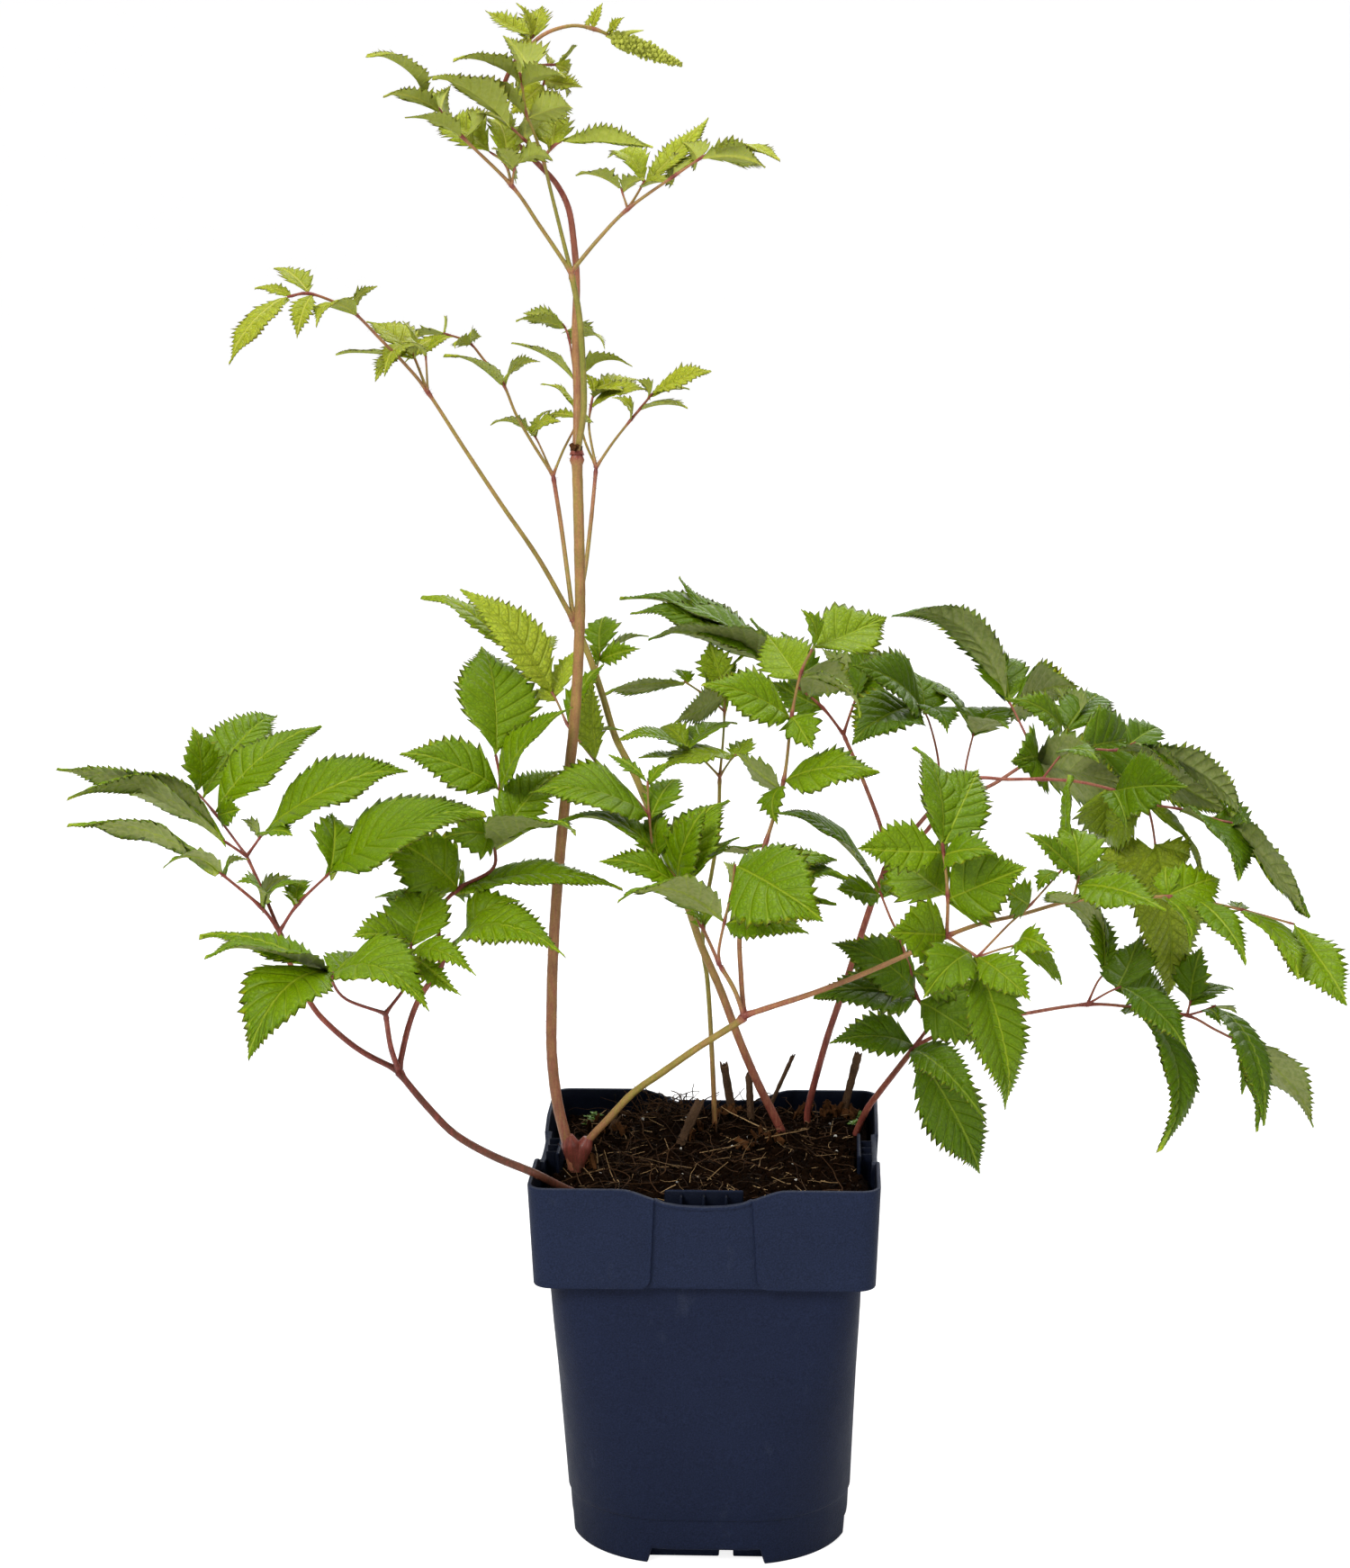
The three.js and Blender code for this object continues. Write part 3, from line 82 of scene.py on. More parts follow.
# Rings of the pot's wall. On the underside and the floor they are shares of the way to its edge, and
# over the foot, the collar and the inside of the collar shares of the way up it.
FLOOR_SHARES = (0.12, 0.3, 0.5, 0.7, 0.85, 1)
FOOT_SHARES = (0.12, 0.3, 0.5, 0.7, 0.88, 1)
COLLAR_SHARES = (0.015, 0.035, 0.06, 0.085, 0.11, 0.17, 0.26, 0.38, 0.5, 0.62, 0.74, 0.84, 0.92, 0.97, 1)
INNER_SHARES = (1, 0.9, 0.7, 0.45, 0.2, 0)
BODY_HEIGHTS = (15.7, 17, 20, 25, 31, 38, 46, 54, 62, 70, 78, 84, 89, 92.5, 94.4, 94.9)
INNER_HEIGHTS = (96.2, 95, 80, 60, 38, 17, 8, FLOOR_TOP)
# Rounded edges: how far each ring is above the foot, the seam or the collar's foot, or below the
# rim, how far inside the wall's outer face, and on the collar its share of the panels' depth.
FOOT_EDGE = ((0.3, WALL + FOOT_INSET), (0, 0.95), (0, 0.35), (0.3, 0.08))
SEAM_EDGE = ((0.05, 0.02), (0.3, 0))
COLLAR_EDGE = ((0, 3.6, 0.5), (0, 0.5, 1), (0.12, 0.14, 1), (0.45, 0, 1))
RIM_EDGE = (
    (1.1, 0, LIP_SHARE), (0.45, 0, LIP_SHARE), (0.12, 0.12, LIP_SHARE), (0, 0.42, LIP_SHARE),
    (0, WALL - 0.42, 1), (0.12, WALL - 0.12, 1),
)
# How far below the rim the even parts of the collar's outer and inner faces end.
COLLAR_END, INNER_END = 1.2, 0.45
POT_CREASE = 38
CORNERS = ((1, 1), (-1, 1), (-1, -1), (1, -1))
# The label pocket's plate, a rib of it and the places of its ribs, and the blocks under the pot's
# front: the lowest and highest corners of boxes.
POCKET_PLATE = ((-12.3, -49, 95.6), (12.3, -47.8, 126))
POCKET_RIB = ((-0.4, -52.6, 104), (0.4, -48.4, 125))
POCKET_RIBS = (-7, 0, 7)
FOOT_TOP = (FLOOR_UNDERSIDE + FLOOR_TOP) / 2
FOOT_BLOCKS = (((-19, -38.5, 0), (4, -29.5, FOOT_TOP)), ((8.5, -38.5, 0), (20.5, -29.5, FOOT_TOP)))
MIDDLE_BLOCK = ((-8, -8, 0), (8, 8, FOOT_TOP))
PLATE_BEVEL, RIB_BEVEL, BLOCK_BEVEL = 0.55, 0.3, 0.5
BOX_CREASE = 60
DRILL_SIDES = 24
DRILL_FOOT, DRILL_HEAD = 3, 9

# ---------------------------------------------------------------- sizes of the soil
SOIL_LEVEL = 118.5
SOIL_MOUND = 2
SOIL_HALF = 51.2
SOIL_GRID = 170
POCKET_HALF = 13.4
POCKET_FACE = 47.4
POCKET_DROP = 16
SOIL_GAP = 0.4                    # between the soil and the pot's wall
# Where the soil stands higher round the plant's crown: middle, reach each way and height.
CROWN_X, CROWN_Y, CROWN_REACH_X, CROWN_REACH_Y, CROWN_HEIGHT = 8, 36, 40, 20, 4.5
ROUGH_SIZE, ROUGH_HEIGHT = 14, 1.5
CRUMB_SIZE, CRUMB_HEIGHT = 1.6, 0.45
# Lumps on the soil: how many on a square metre, their length, width, variation and seed.
LUMPS = {
    "soil_crumbs": (3.2e5, 0.55, 0.75, 0.6, 5),
    "soil_clods": (3.4e4, 1.2, 1.7, 0.5, 6),
    "perlite_grains": (3.0e3, 0.5, 0.6, 0.5, 9),
}
LUMP_LEAN = 3.0
LUMP_HALF, LUMP_GRID = 49, 50
LUMP_FREE_FACE, LUMP_FREE_HALF = 46, 15
# Straw and roots: how many, their length, how far they bend at each step and their radius.
STRAWS = ((55, (5, 19), 0.07, (0.09, 0.24)), (150, (2, 9), 0.3, (0.07, 0.15)))
ROOTS = (260, (8, 34), 0.42, (0.1, 0.24))
STREWN_HALF, STREWN_TOP = 47, 133
STREWN_LIFT, STREWN_RISE = (0.3, 1.6), 0.25
# Tufts of curly roots that stand up out of the soil: foot and how many, and the box they stay in.
TUFTS = (((-18, 47.5, 124), 30), ((-24, 36, 122), 50), ((-8, 38, 123), 40), ((8, 44, 123), 20))
TUFT_BOX = ((-50, 20, 118), (50, 51, 131))
# Where scraps of bark and old sheath stand: middle, spread, how many and how upright.
FLAKE_HEAPS = (
    ((43, 44), 7, 26, 1.1), ((33, 38), 6, 12, 0.9), ((20, 16), 6, 8, 0.5), ((12, 10), 5, 6, 0.4),
    ((-8, 20), 6, 6, 1.0), ((-34, 24), 7, 7, 0.9), ((-38, -12), 4, 6, 1.1), ((6, 33), 6, 8, 0.9),
)
FLAKE_COLUMNS, FLAKE_ROWS, FLAKE_HALF_THICK = 6, 10, 0.15
FLAKE_HALF_WIDTH, FLAKE_HALF_LENGTH = (0.4, 1.1), (1.8, 4.6)
FLAKE_AREA, MOSS_AREA = 46, 49
# Where moss and seedlings grow: middle, spread and how many.
MOSS_SPOTS = (((-42, 37), 2.5, 14), ((50, 46), 2, 12), ((49, 36), 2, 16))
SEEDLING_LEAVES = 4
SEEDLING_COLUMNS, SEEDLING_THICKNESS = 5, 0.12

# ---------------------------------------------------------------- sizes of the leaflets
BLADE_THICKNESS = 0.3
BLADE_ARCH = 0.09
LEAFLET_PITCH = 1.2
LEAFLET_PITCH_START = 0.35
FEWEST_TEETH, MOST_TEETH = 7, 25
# Rows through one tooth: the share of its width, and how far its edge stands out and leans forward.
TOOTH_ROWS = ((0, -0.5, -0.02), (0.5, 0.12, 0.02), (0.88, 0.6, 0.16))
VEIN_ROW = 0.88
TOOTH_START = 7                   # the higher, the nearer the edge the teeth begin
TOOTH_TURNS = 0.7, 1.2            # sizes of every other tooth
LEAST_HALF_WIDTH = 0.32
# How much leaflets vary. Lengths are shares of the leaflet's length, angles are in degrees, but the
# twist is in radians; waves and puckers are how many there are.
VARY = {
    "roundness": (-0.1, 0.12), "tooth place": (-0.16, 0.16), "tooth size": (0.65, 1.4),
    "slant": (0.65, 0.85), "wave": (0.008, 0.022), "waves": (1.3, 2.2), "pucker": (0.006, 0.011),
    "puckers": (2.2, 3.4), "fold": (-6, 6), "roll": (0, 0.03), "arch": (-0.015, 0.015),
    "droop": (0, 0.05), "bow": (-0.05, 0.05), "twist": (-0.35, 0.35),
}
CREASE = 0.003                    # how far a blade swells between its veins, over its length
# Places of the columns across half a blade, for leaflets up to each length.
BLADE_COLUMNS = (
    (17, (0, 0.14, 0.5, 0.84, 1)),
    (27, (0, 0.09, 0.34, 0.62, 0.86, 1)),
    (999, (0, 0.06, 0.24, 0.44, 0.64, 0.84, 1)),
)

# ---------------------------------------------------------------- the plant's plan
# Each frond says its slot (and its finish, where that isn't the slot's), how many degrees the halves
# of its leaflets fold up, how far apart their teeth are (pitch), and how far the teeth stand out over
# that (bite). A stalk is given by the radii of its ends, the stalk and joint that it grows from, and
# its route. Leaflets are listed by their stalk and the joint that they grow from: the place of the
# tip, the turn in degrees (see leaflet_axes), the width over the length, and how far the middle rises
# over the length where that isn't the usual arch.
FRONDS = {
    "flower_stem": {
        "slot": "young_leaf", "fold": 28, "pitch": 1.6, "bite": 1.35,
        "stalks": {
            "stem": ((1.8, 1.7), None, [(-41, -13, 109.5), (-42.8, -13, 119.5), (-45.8, -13, 132),
                (-48.5, -12, 144), (-50, -11, 159), (-50, -9, 174), (-49.5, -8, 189.5), (-48, -7, 211.5),
                (-45.5, -6, 237), (-42, -5, 265.5), (-40, -4, 297.5), (-40, -3, 323), (-40.5, -2, 349.5)]),
            "flower_stalk": ((1.35, 0.5), ("stem", 12), [(-40.5, 2, 367.5), (-41, 4, 386.5),
                (-40.5, 5, 403), (-41.5, 6, 416.5), (-43, 6, 425.5), (-46.5, 6, 432.5), (-51, 6, 437.5),
                (-56.5, 4, 443), (-60.5, 3, 447.5), (-62.5, 1, 456), (-61.5, 0, 463), (-58.5, -1, 468.5),
                (-53.5, -2, 474), (-48, -2, 478), (-40.5, -1, 480), (-34, 0, 479), (-29, 2, 477)]),
            "petiole": ((1, 0.9), ("stem", 12), [(-38, -5, 363.5), (-38, -7, 379), (-39, -6, 393),
                (-41.5, -4, 406)]),
            "left": ((0.7, 0.4), ("petiole", 4), [(-50.5, -8, 420), (-58.5, -14, 432.5), (-73, -20, 447.5),
                (-79, -23, 455), (-82.5, -25, 459.5)]),
            "left_a": ((0.45, 0.35), ("left", 2), [(-60.5, -12, 439), (-65.5, -9, 442.5)]),
            "left_b": ((0.4, 0.35), ("left", 2), [(-57, -17, 439)]),
            "mid": ((0.7, 0.35), ("petiole", 4), [(-46.5, -9, 428.5), (-49, -13, 440.5), (-52, -16, 450),
                (-53.5, -18, 454), (-54.5, -20, 463.5), (-55, -21, 466)]),
            "mid_a": ((0.45, 0.35), ("mid", 2), [(-54, -17, 446), (-58, -20, 450)]),
            "mid_b": ((0.45, 0.35), ("mid", 2), [(-46, -12, 444), (-43, -10, 446)]),
            "right": ((0.7, 0.35), ("petiole", 4), [(-33, -3, 416), (-24, -2, 425), (-9.5, -4, 435),
                (-1, -6, 440.5), (2.5, -7, 442)]),
            "right_a": ((0.45, 0.35), ("right", 2), [(-21.5, 1, 429), (-19, 4, 433.5)]),
            "right_b": ((0.35, 0.3), ("right", 2), [(-26, -4, 431.5)]),
            "upper_a": ((0.4, 0.3), ("flower_stalk", 12), [(-52.5, 2, 477.5)]),
            "upper_b": ((0.4, 0.3), ("flower_stalk", 12), [(-48.5, 8, 468.5), (-46, 10, 468.5)]),
            "upper_c": ((0.4, 0.3), ("flower_stalk", 12), [(-51.5, 10, 467.5), (-50.5, 14, 463.5),
                (-52, 15, 460.5)]),
        },
        "leaflets": [
            ("left", 5, (-97, -44, 472, 95, 0.46)), ("left", 4, (-94, -38, 460, 105, 0.46),
            (-78, -6, 462, 132, 0.6)), ("left", 3, (-88, -35, 453, 105, 0.46), (-72, -6, 455, 115, 0.78)),
            ("left_a", 2, (-83, 7, 450, 20, 0.56, 0.16)), ("left_a", 1, (-67, 1, 452, 40, 0.57, 0.23)),
            ("left_b", 1, (-45, -24, 440, 120, 0.66, 0.23), (-63, -27, 444, 120, 0.57),
            (-57, -4, 444, 122, 0.77)), ("mid", 6, (-61, 0, 477, 145, 0.72, 0.16)),
            ("mid", 5, (-73, -37, 470, 93, 0.46), (-40, -34, 465, 105, 0.54)),
            ("mid", 4, (-74, -31, 465, 93, 0.52), (-38, -30, 456, 145, 0.52)),
            ("mid_a", 2, (-79, -38, 465, 113, 0.52), (-69, -12, 454, 60, 0.66)),
            ("mid_a", 1, (-54, 1, 455, 142, 0.6, -0.05)), ("mid_b", 1, (-45, 0, 455, 10, 0.8, 0.02),
            (-49, -17, 447, 60, 0.66)), ("mid_b", 2, (-15, -21, 444, 110, 0.36, 0.02)),
            ("right", 5, (23, -20, 440, 78, 0.46)), ("right", 4, (19, -20, 438, 118, 0.46),
            (-7, 6, 445, 150, 0.72)), ("right", 3, (-13, 11, 442, 145, 0.72)),
            ("right_a", 2, (-31, 15, 441, 40, 0.62, 0.23), (0, 14, 453, 45, 0.36, -0.05),
            (-10, -3, 433, 60, 0.72)), ("right_b", 1, (-39, -13, 436, 90, 0.62),
            (-18, -11, 434, 110, 0.62, 0.16)), ("upper_a", 1, (-68, 9, 485, 35, 0.36, -0.05),
            (-57, -2, 487, 55, 0.46), (-51, 15, 487, 22, 0.65, -0.05), (-56, -4, 476, 30, 0.54)),
            ("upper_b", 2, (-41, 18, 475, 75, 0.44, -0.05), (-44, 17, 465, 30, 0.76, 0.23)),
            ("upper_b", 1, (-49, 14, 471, 42, 0.52)), ("upper_c", 2, (-38, 3, 462, 30, 0.45, -0.05),
            (-44, 24, 459, 60, 0.62, 0.16)), ("upper_c", 3, (-46, 6, 454, 40, 0.5), (-58, 22, 462, 50, 0.5),
            (-61, 8, 454, 5, 0.71, -0.05)), ("upper_c", 1, (-57, 16, 467, 60, 0.5)),
            ("flower_stalk", 16, (-31.4, 1, 486.8, 20, 0.42), (-35.5, 3, 482.6, 40, 0.5)),
            ("flower_stalk", 17, (-24.6, -3, 482.4, 35, 0.45), (-26.5, -2, 479.3, 50, 0.5)),
        ],
    },
    "mid_leaf": {
        "slot": "young_leaf", "fold": 18, "pitch": 1.6, "bite": 1.3,
        "stalks": {
            "petiole": ((1.5, 1.05), None, [(30, 26, 107), (25, 25, 118), (20.5, 23, 128.5),
                (15.5, 21, 139.5), (9.5, 18, 155), (3, 16, 173.5), (-3, 14, 188.5), (-7, 13, 201),
                (-14, 11, 219.5), (-23, 10, 243.5), (-30, 11, 257.5), (-34, 12, 270.5), (-38.5, 14, 283.5),
                (-43.5, 15, 295)]),
            "left": ((0.85, 0.4), ("petiole", 13), [(-54, 12, 315), (-65, 8, 332.5), (-76, 4, 350.5),
                (-87, 0, 369), (-93.5, -4, 378), (-100, -8, 385.5), (-108, -12, 394.5), (-114, -15, 398),
                (-121, -18, 400.5), (-127, -20, 399.5)]),
            "left_a": ((0.5, 0.4), ("left", 4), [(-91, 6, 377.5), (-93, 8, 381.5)]),
            "left_b": ((0.4, 0.3), ("left", 4), [(-86.5, -6, 377), (-86.5, -8, 382)]),
            "mid": ((0.8, 0.7), ("petiole", 13), [(-45.5, 20, 308.5), (-48, 25, 325), (-50.5, 28, 340)]),
            "mid_a": ((0.55, 0.35), ("mid", 3), [(-56.5, 28, 349.5), (-62, 27, 359.5), (-66, 26, 369.5),
                (-72, 24, 377.5), (-76.5, 22, 383), (-84, 18, 386)]),
            "mid_b": ((0.4, 0.3), ("mid", 3), [(-55.5, 31, 350.5), (-57.5, 32, 353.5)]),
            "mid_c": ((0.45, 0.35), ("mid", 3), [(-47.5, 32, 347.5), (-44.5, 37, 353.5), (-42.5, 39, 358)]),
            "right": ((0.8, 0.6), ("petiole", 13), [(-40.5, 22, 308), (-38.5, 28, 325), (-37, 33, 342)]),
            "right_a": ((0.5, 0.35), ("right", 3), [(-31.5, 33, 350), (-25.5, 32, 357.5), (-22.5, 32, 361),
                (-18.5, 31, 366)]),
            "right_b": ((0.45, 0.35), ("right", 3), [(-39.5, 38, 354), (-39, 41, 361), (-38, 43, 366.5)]),
            "right_c": ((0.45, 0.3), ("right", 3), [(-42, 42, 352.5), (-44.5, 46, 369.5),
                (-46.5, 48, 382.5), (-48.5, 49, 387)]),
        },
        "leaflets": [
            ("left", 10, (-142, -41, 381, 35, 0.36), (-138, -14, 402, 50, 0.39)),
            ("left", 9, (-133, -7, 408, 55, 0.56), (-123, -29, 388, 5, 0.42, 0.16)),
            ("left", 7, (-102, -3, 402, 100, 0.5, 0.16), (-117, -30, 392, 75, 0.57, 0.23)),
            ("left_a", 2, (-102, -11, 374, 45, 0.36), (-99, -13, 376, 40, 0.48, 0.23),
            (-118, 17, 380, 80, 0.36, 0.02), (-108, 17, 390, 55, 0.71), (-94, 2, 391, 90, 0.57)),
            ("left_b", 2, (-78, -10, 387, 45, 0.44), (-92, -20, 386, 85, 0.45)),
            ("mid_a", 3, (-83, 13, 380, 92, 0.68), (-55, 35, 376, 92, 0.72, 0.23)),
            ("mid_a", 6, (-84, 26, 391, 105, 0.54, 0.02), (-95, 8, 378, 45, 0.42),
            (-96, 21, 384, 90, 0.71)), ("mid_a", 5, (-74, 34, 384, 100, 0.5),
            (-80, 14, 382, 110, 0.62, 0.23)), ("mid_b", 2, (-70, 25, 357, 102, 0.63, 0.16),
            (-48, 24, 358, 65, 0.76, 0.16), (-52, 41, 360, 60, 0.44, 0.16)),
            ("mid_c", 3, (-54, 45, 358, 55, 0.45, 0.02), (-38, 29, 357, 115, 0.39),
            (-53, 27, 370, 80, 0.42, 0.16)), ("right_a", 4, (0, 26, 374, 52, 0.51, 0.02),
            (-7, 38, 367, 64, 0.56), (-24, 37, 370, 115, 0.76, 0.23)),
            ("right_a", 3, (-7, 24, 362, 75, 0.71)), ("right_a", 2, (-31, 28, 365, 65, 0.76, 0.23)),
            ("right_b", 3, (-25, 54, 369, 55, 0.68, 0.02)), ("right_b", 2, (-20, 36, 367, 62, 0.68)),
            ("right_b", 3, (-41, 46, 371, 40, 0.62, 0.23), (-28, 32, 367, 82, 0.68)),
            ("right_c", 4, (-62, 57, 390, 132, 0.45), (-63, 41, 389, 108, 0.48), (-39, 58, 384, 98, 0.76)),
            ("right_c", 3, (-34, 40, 380, 92, 0.71, 0.23), (-46, 56, 384, 100, 0.5, 0.02)),
            ("right_c", 2, (-65, 46, 381, 95, 0.54), (-26, 46, 374, 98, 0.71, 0.23)),
        ],
    },
    "low_left_leaf": {
        "slot": "leaf", "fold": 14, "pitch": 2.05, "bite": 1,
        "stalks": {
            "petiole": ((1.5, 1.05), None, [(-38, -22, 112), (-41, -30, 118), (-46.5, -40, 124.5),
                (-53.5, -47.5, 131), (-66, -48, 136.5), (-77.5, -47, 143), (-86, -46, 151.5),
                (-93.5, -45, 160.5), (-95, -44, 162.5)]),
            "left": ((0.95, 0.8), ("petiole", 8), [(-106.5, -45, 169), (-116, -45, 177), (-122, -43, 183.5),
                (-129, -38, 195), (-132.5, -35, 204.5)]),
            "left_a": ((0.6, 0.45), ("left", 5), [(-138, -37, 213), (-149.5, -42, 225)]),
            "left_b": ((0.6, 0.5), ("left", 5), [(-138.5, -28, 215.5), (-144, -24, 226)]),
            "left_c": ((0.45, 0.4), ("left_b", 2), [(-151, -26, 231.5)]),
            "left_d": ((0.45, 0.4), ("left_b", 2), [(-139, -20, 233)]),
            "left_e": ((0.45, 0.35), ("left_b", 2), [(-155.5, -16, 238.5), (-161.5, -12, 244)]),
            "left_f": ((0.55, 0.4), ("left", 5), [(-126, -38, 214), (-115, -42, 225)]),
            "mid": ((0.9, 0.8), ("petiole", 8), [(-96.5, -50, 172), (-97, -56, 184)]),
            "mid_a": ((0.55, 0.4), ("mid", 2), [(-108, -62, 190), (-111.5, -66, 196.5), (-111, -68, 200)]),
            "mid_b": ((0.55, 0.4), ("mid", 2), [(-90, -52, 194), (-89.5, -50, 205)]),
            "right": ((0.95, 0.9), ("petiole", 8), [(-92.5, -38, 174.5), (-89, -34, 183.5),
                (-83, -30, 191.5)]),
            "right_a": ((0.6, 0.45), ("right", 3), [(-79, -32, 199.5), (-74.5, -30, 203)]),
            "right_b": ((0.7, 0.4), ("right", 3), [(-83.5, -24, 208), (-77.5, -22, 215.5),
                (-67, -20, 221.5), (-66.5, -18, 230.5), (-65, -13, 246), (-66.5, -10, 256)]),
        },
        "leaflets": [
            ("left_a", 2, (-196, -42, 240, 114, 0.4), (-165, -51, 229, 100, 0.68, 0.23),
            (-143, -31, 227, 95, 0.56, 0.23)), ("left_a", 1, (-143, -46, 223, 100, 0.81, 0.23),
            (-124, -39, 221, 80, 0.68, 0.23), (-131, -23, 220, 100, 0.72, 0.23)),
            ("left_c", 1, (-202, -26, 255, 110, 0.46), (-197, -37, 247, 122, 0.3, 0.23)),
            ("left_d", 1, (-94, -20, 254, 58, 0.62), (-128, -33, 235, 75, 0.65),
            (-147, -15, 236, 130, 0.68, 0.16)), ("left_e", 2, (-162, -12, 265, 55, 0.74),
            (-170, -18, 248, 100, 0.4), (-142, 31, 262, 21, 0.36)), ("left_e", 1, (-124, 4, 263, 48, 0.56),
            (-146, -24, 241, 10, 0.78, -0.05)), ("left_f", 2, (-116, -28, 241, 35, 0.74),
            (-68, -42, 246, 62, 0.74), (-101, -34, 225, 70, 0.68, 0.23)),
            ("left_f", 1, (-130, -41, 219, 100, 0.6), (-125, -26, 219, 20, 0.6, 0.23)),
            ("mid_a", 3, (-132, -101, 183, 35, 0.68, 0.23), (-80, -85, 194, 52, 0.72, 0.23),
            (-154, -54, 208, 65, 0.3), (-144, -95, 214, 98, 0.6), (-104, -45, 200, 40, 0.56)),
            ("mid_b", 2, (-105, -66, 211, 42, 0.62), (-85, -29, 221, 8, 0.78, -0.05),
            (-68, -67, 200, 42, 0.36, 0.16), (-73, -66, 193, 20, 0.3), (-105, -41, 202, 88, 0.5)),
            ("right_a", 1, (-42, -53, 202, 55, 0.46, 0.23)),
            ("right_a", 2, (-58, -30, 214, 40, 0.76, 0.23)), ("right_b", 6, (-73, 18, 287, 30, 0.66)),
            ("right_b", 5, (-95, -20, 259, 35, 0.58), (-42, -18, 273, 62, 0.6)),
            ("right_b", 4, (-81, -31, 234, 30, 0.78, 0.23), (-47, 1, 249, 8, 0.46, 0.23),
            (-39, -42, 240, 104, 0.68)), ("right_b", 2, (-102, -22, 232, 25, 0.76, 0.23),
            (-26, -22, 216, 68, 0.34), (-80, -10, 217, 90, 0.78, 0.23)),
            ("right_b", 1, (-106, -9, 210, 62, 0.54)),
        ],
    },
    "centre_leaf": {
        "slot": "leaf", "fold": 14, "pitch": 2.05, "bite": 1,
        "stalks": {
            "petiole": ((1.3, 1.1), None, [(-41, -11, 109.5), (-42, -11.5, 120), (-39.6, -11.5, 128.5),
                (-32, -12, 137.5), (-24, -13, 146.5), (-14.5, -17, 154.5), (-2.5, -22, 164.5),
                (10, -27, 174), (12, -28, 176.5)]),
            "left": ((0.75, 0.7), ("petiole", 8), [(9, -30, 185.5), (4.5, -32, 194)]),
            "left_a": ((0.6, 0.35), ("left", 2), [(-1.5, -28, 206), (-9, -22, 218.5), (-16, -18, 226),
                (-18, -16, 238), (-18.5, -14, 248.5)]),
            "left_b": ((0.5, 0.35), ("left", 2), [(4.5, -36, 200), (6.5, -42, 210.5), (8.5, -46, 219.5),
                (10, -50, 230)]),
            "left_c": ((0.5, 0.3), ("left_a", 4), [(-24.5, -8, 243.5), (-36, 2, 252), (-42.5, 6, 259),
                (-45.5, 9, 262.5), (-50.5, 14, 271.5), (-58.5, 18, 279), (-66, 22, 285)]),
            "left_d": ((0.4, 0.3), ("left_c", 3), [(-39.5, 16, 268), (-37.5, 25, 275.5), (-36, 29, 282)]),
            "mid": ((0.85, 0.4), ("petiole", 8), [(11, -24, 188), (10.5, -18, 201), (13.5, -12, 213),
                (18.5, -6, 227.5), (24, -2, 246.5), (26.5, 2, 267), (29.5, 4, 280.5), (33.5, 5, 288.5)]),
            "right": ((0.95, 0.35), ("petiole", 8), [(22, -32, 181), (33.5, -36, 186), (49.5, -40, 193.5),
                (65.5, -42, 201.5), (74.5, -44, 206.5), (85, -42, 210), (97.5, -38, 212),
                (113.5, -34, 215.5), (130, -30, 215.5), (144, -26, 215), (152.5, -24, 213.5),
                (167, -20, 209.5), (184, -16, 204)]),
            "right_a": ((0.6, 0.4), ("right", 5), [(74.5, -48, 220.5), (73, -50, 234.5), (72.5, -50, 237)]),
            "right_b": ((0.55, 0.45), ("right", 5), [(78.5, -50, 205), (83.5, -54, 202.5)]),
            "right_c": ((0.4, 0.3), ("right_b", 2), [(93, -46, 210.5), (100, -42, 216), (110, -36, 226)]),
            "right_d": ((0.35, 0.3), ("right_b", 2), [(90.5, -50, 204), (96.5, -46, 204.5)]),
            "right_e": ((0.4, 0.35), ("right", 8), [(115, -37, 224)]),
        },
        "leaflets": [
            ("left_a", 4, (-54, -30, 249, 60, 0.74), (-9, -1, 247, 25, 0.58, 0.16)),
            ("left_a", 5, (-31, -9, 256, 60, 0.36), (-12, -10, 254, 60, 0.68)),
            ("left_a", 3, (-46, -18, 237, 75, 0.68, 0.16), (-14, -9, 239, 30, 0.8, 0.16),
            (-23, -26, 227, 30, 0.55)), ("left_a", 2, (0, -29, 243, 44, 0.6), (6, -7, 242, 42, 0.74, 0.16),
            (10, -10, 230, 75, 0.68), (-32, -35, 228, 62, 0.54)),
            ("left_a", 1, (-6, -34, 211, 70, 0.5, 0.16), (2, -18, 210, 50, 0.66)),
            ("left_b", 2, (-25, -64, 223, 112, 0.58, 0.16), (32, -59, 212, 45, 0.5)),
            ("left_b", 3, (6, -33, 227, 110, 0.76), (23, -61, 226, 90, 0.45)),
            ("left_b", 4, (36, -76, 220, 15, 0.8), (41, -25, 226, 60, 0.35), (45, -28, 222, 60, 0.5, 0.02)),
            ("left_b", 3, (41, -28, 214, 65, 0.54, 0.02)), ("left_c", 7, (-92, 22, 303, 60, 0.42)),
            ("left_c", 5, (-79, 14, 305.5, 30, 0.37), (-44, 23, 284, 45, 0.6, 0.02),
            (-58, 14, 272, 50, 0.72)), ("left_c", 6, (-51, 40, 286, 30, 0.5)),
            ("left_c", 2, (-36, 2, 278, 45, 0.42, -0.05)), ("left_c", 3, (-27, 6, 261, 100, 0.52)),
            ("left_c", 4, (-34, 9, 282, 40, 0.5)), ("left_d", 3, (-35, 40, 293, 20, 0.8, 0.16),
            (-21, 38, 287, 100, 0.35), (-23, 21, 285, 18, 0.42), (-39, 23, 286, 60, 0.56)),
            ("mid", 8, (57, 22, 296, 35, 0.76, -0.05), (30, -1, 301, 70, 0.78, 0.16)),
            ("mid", 7, (46, 17, 273, 142, 0.76, 0.02), (49, -10, 269, 100, 0.34, 0.16)),
            ("mid", 6, (33, -9, 258, 10, 0.8, 0.02)), ("mid", 5, (54, -14, 252, 50, 0.64),
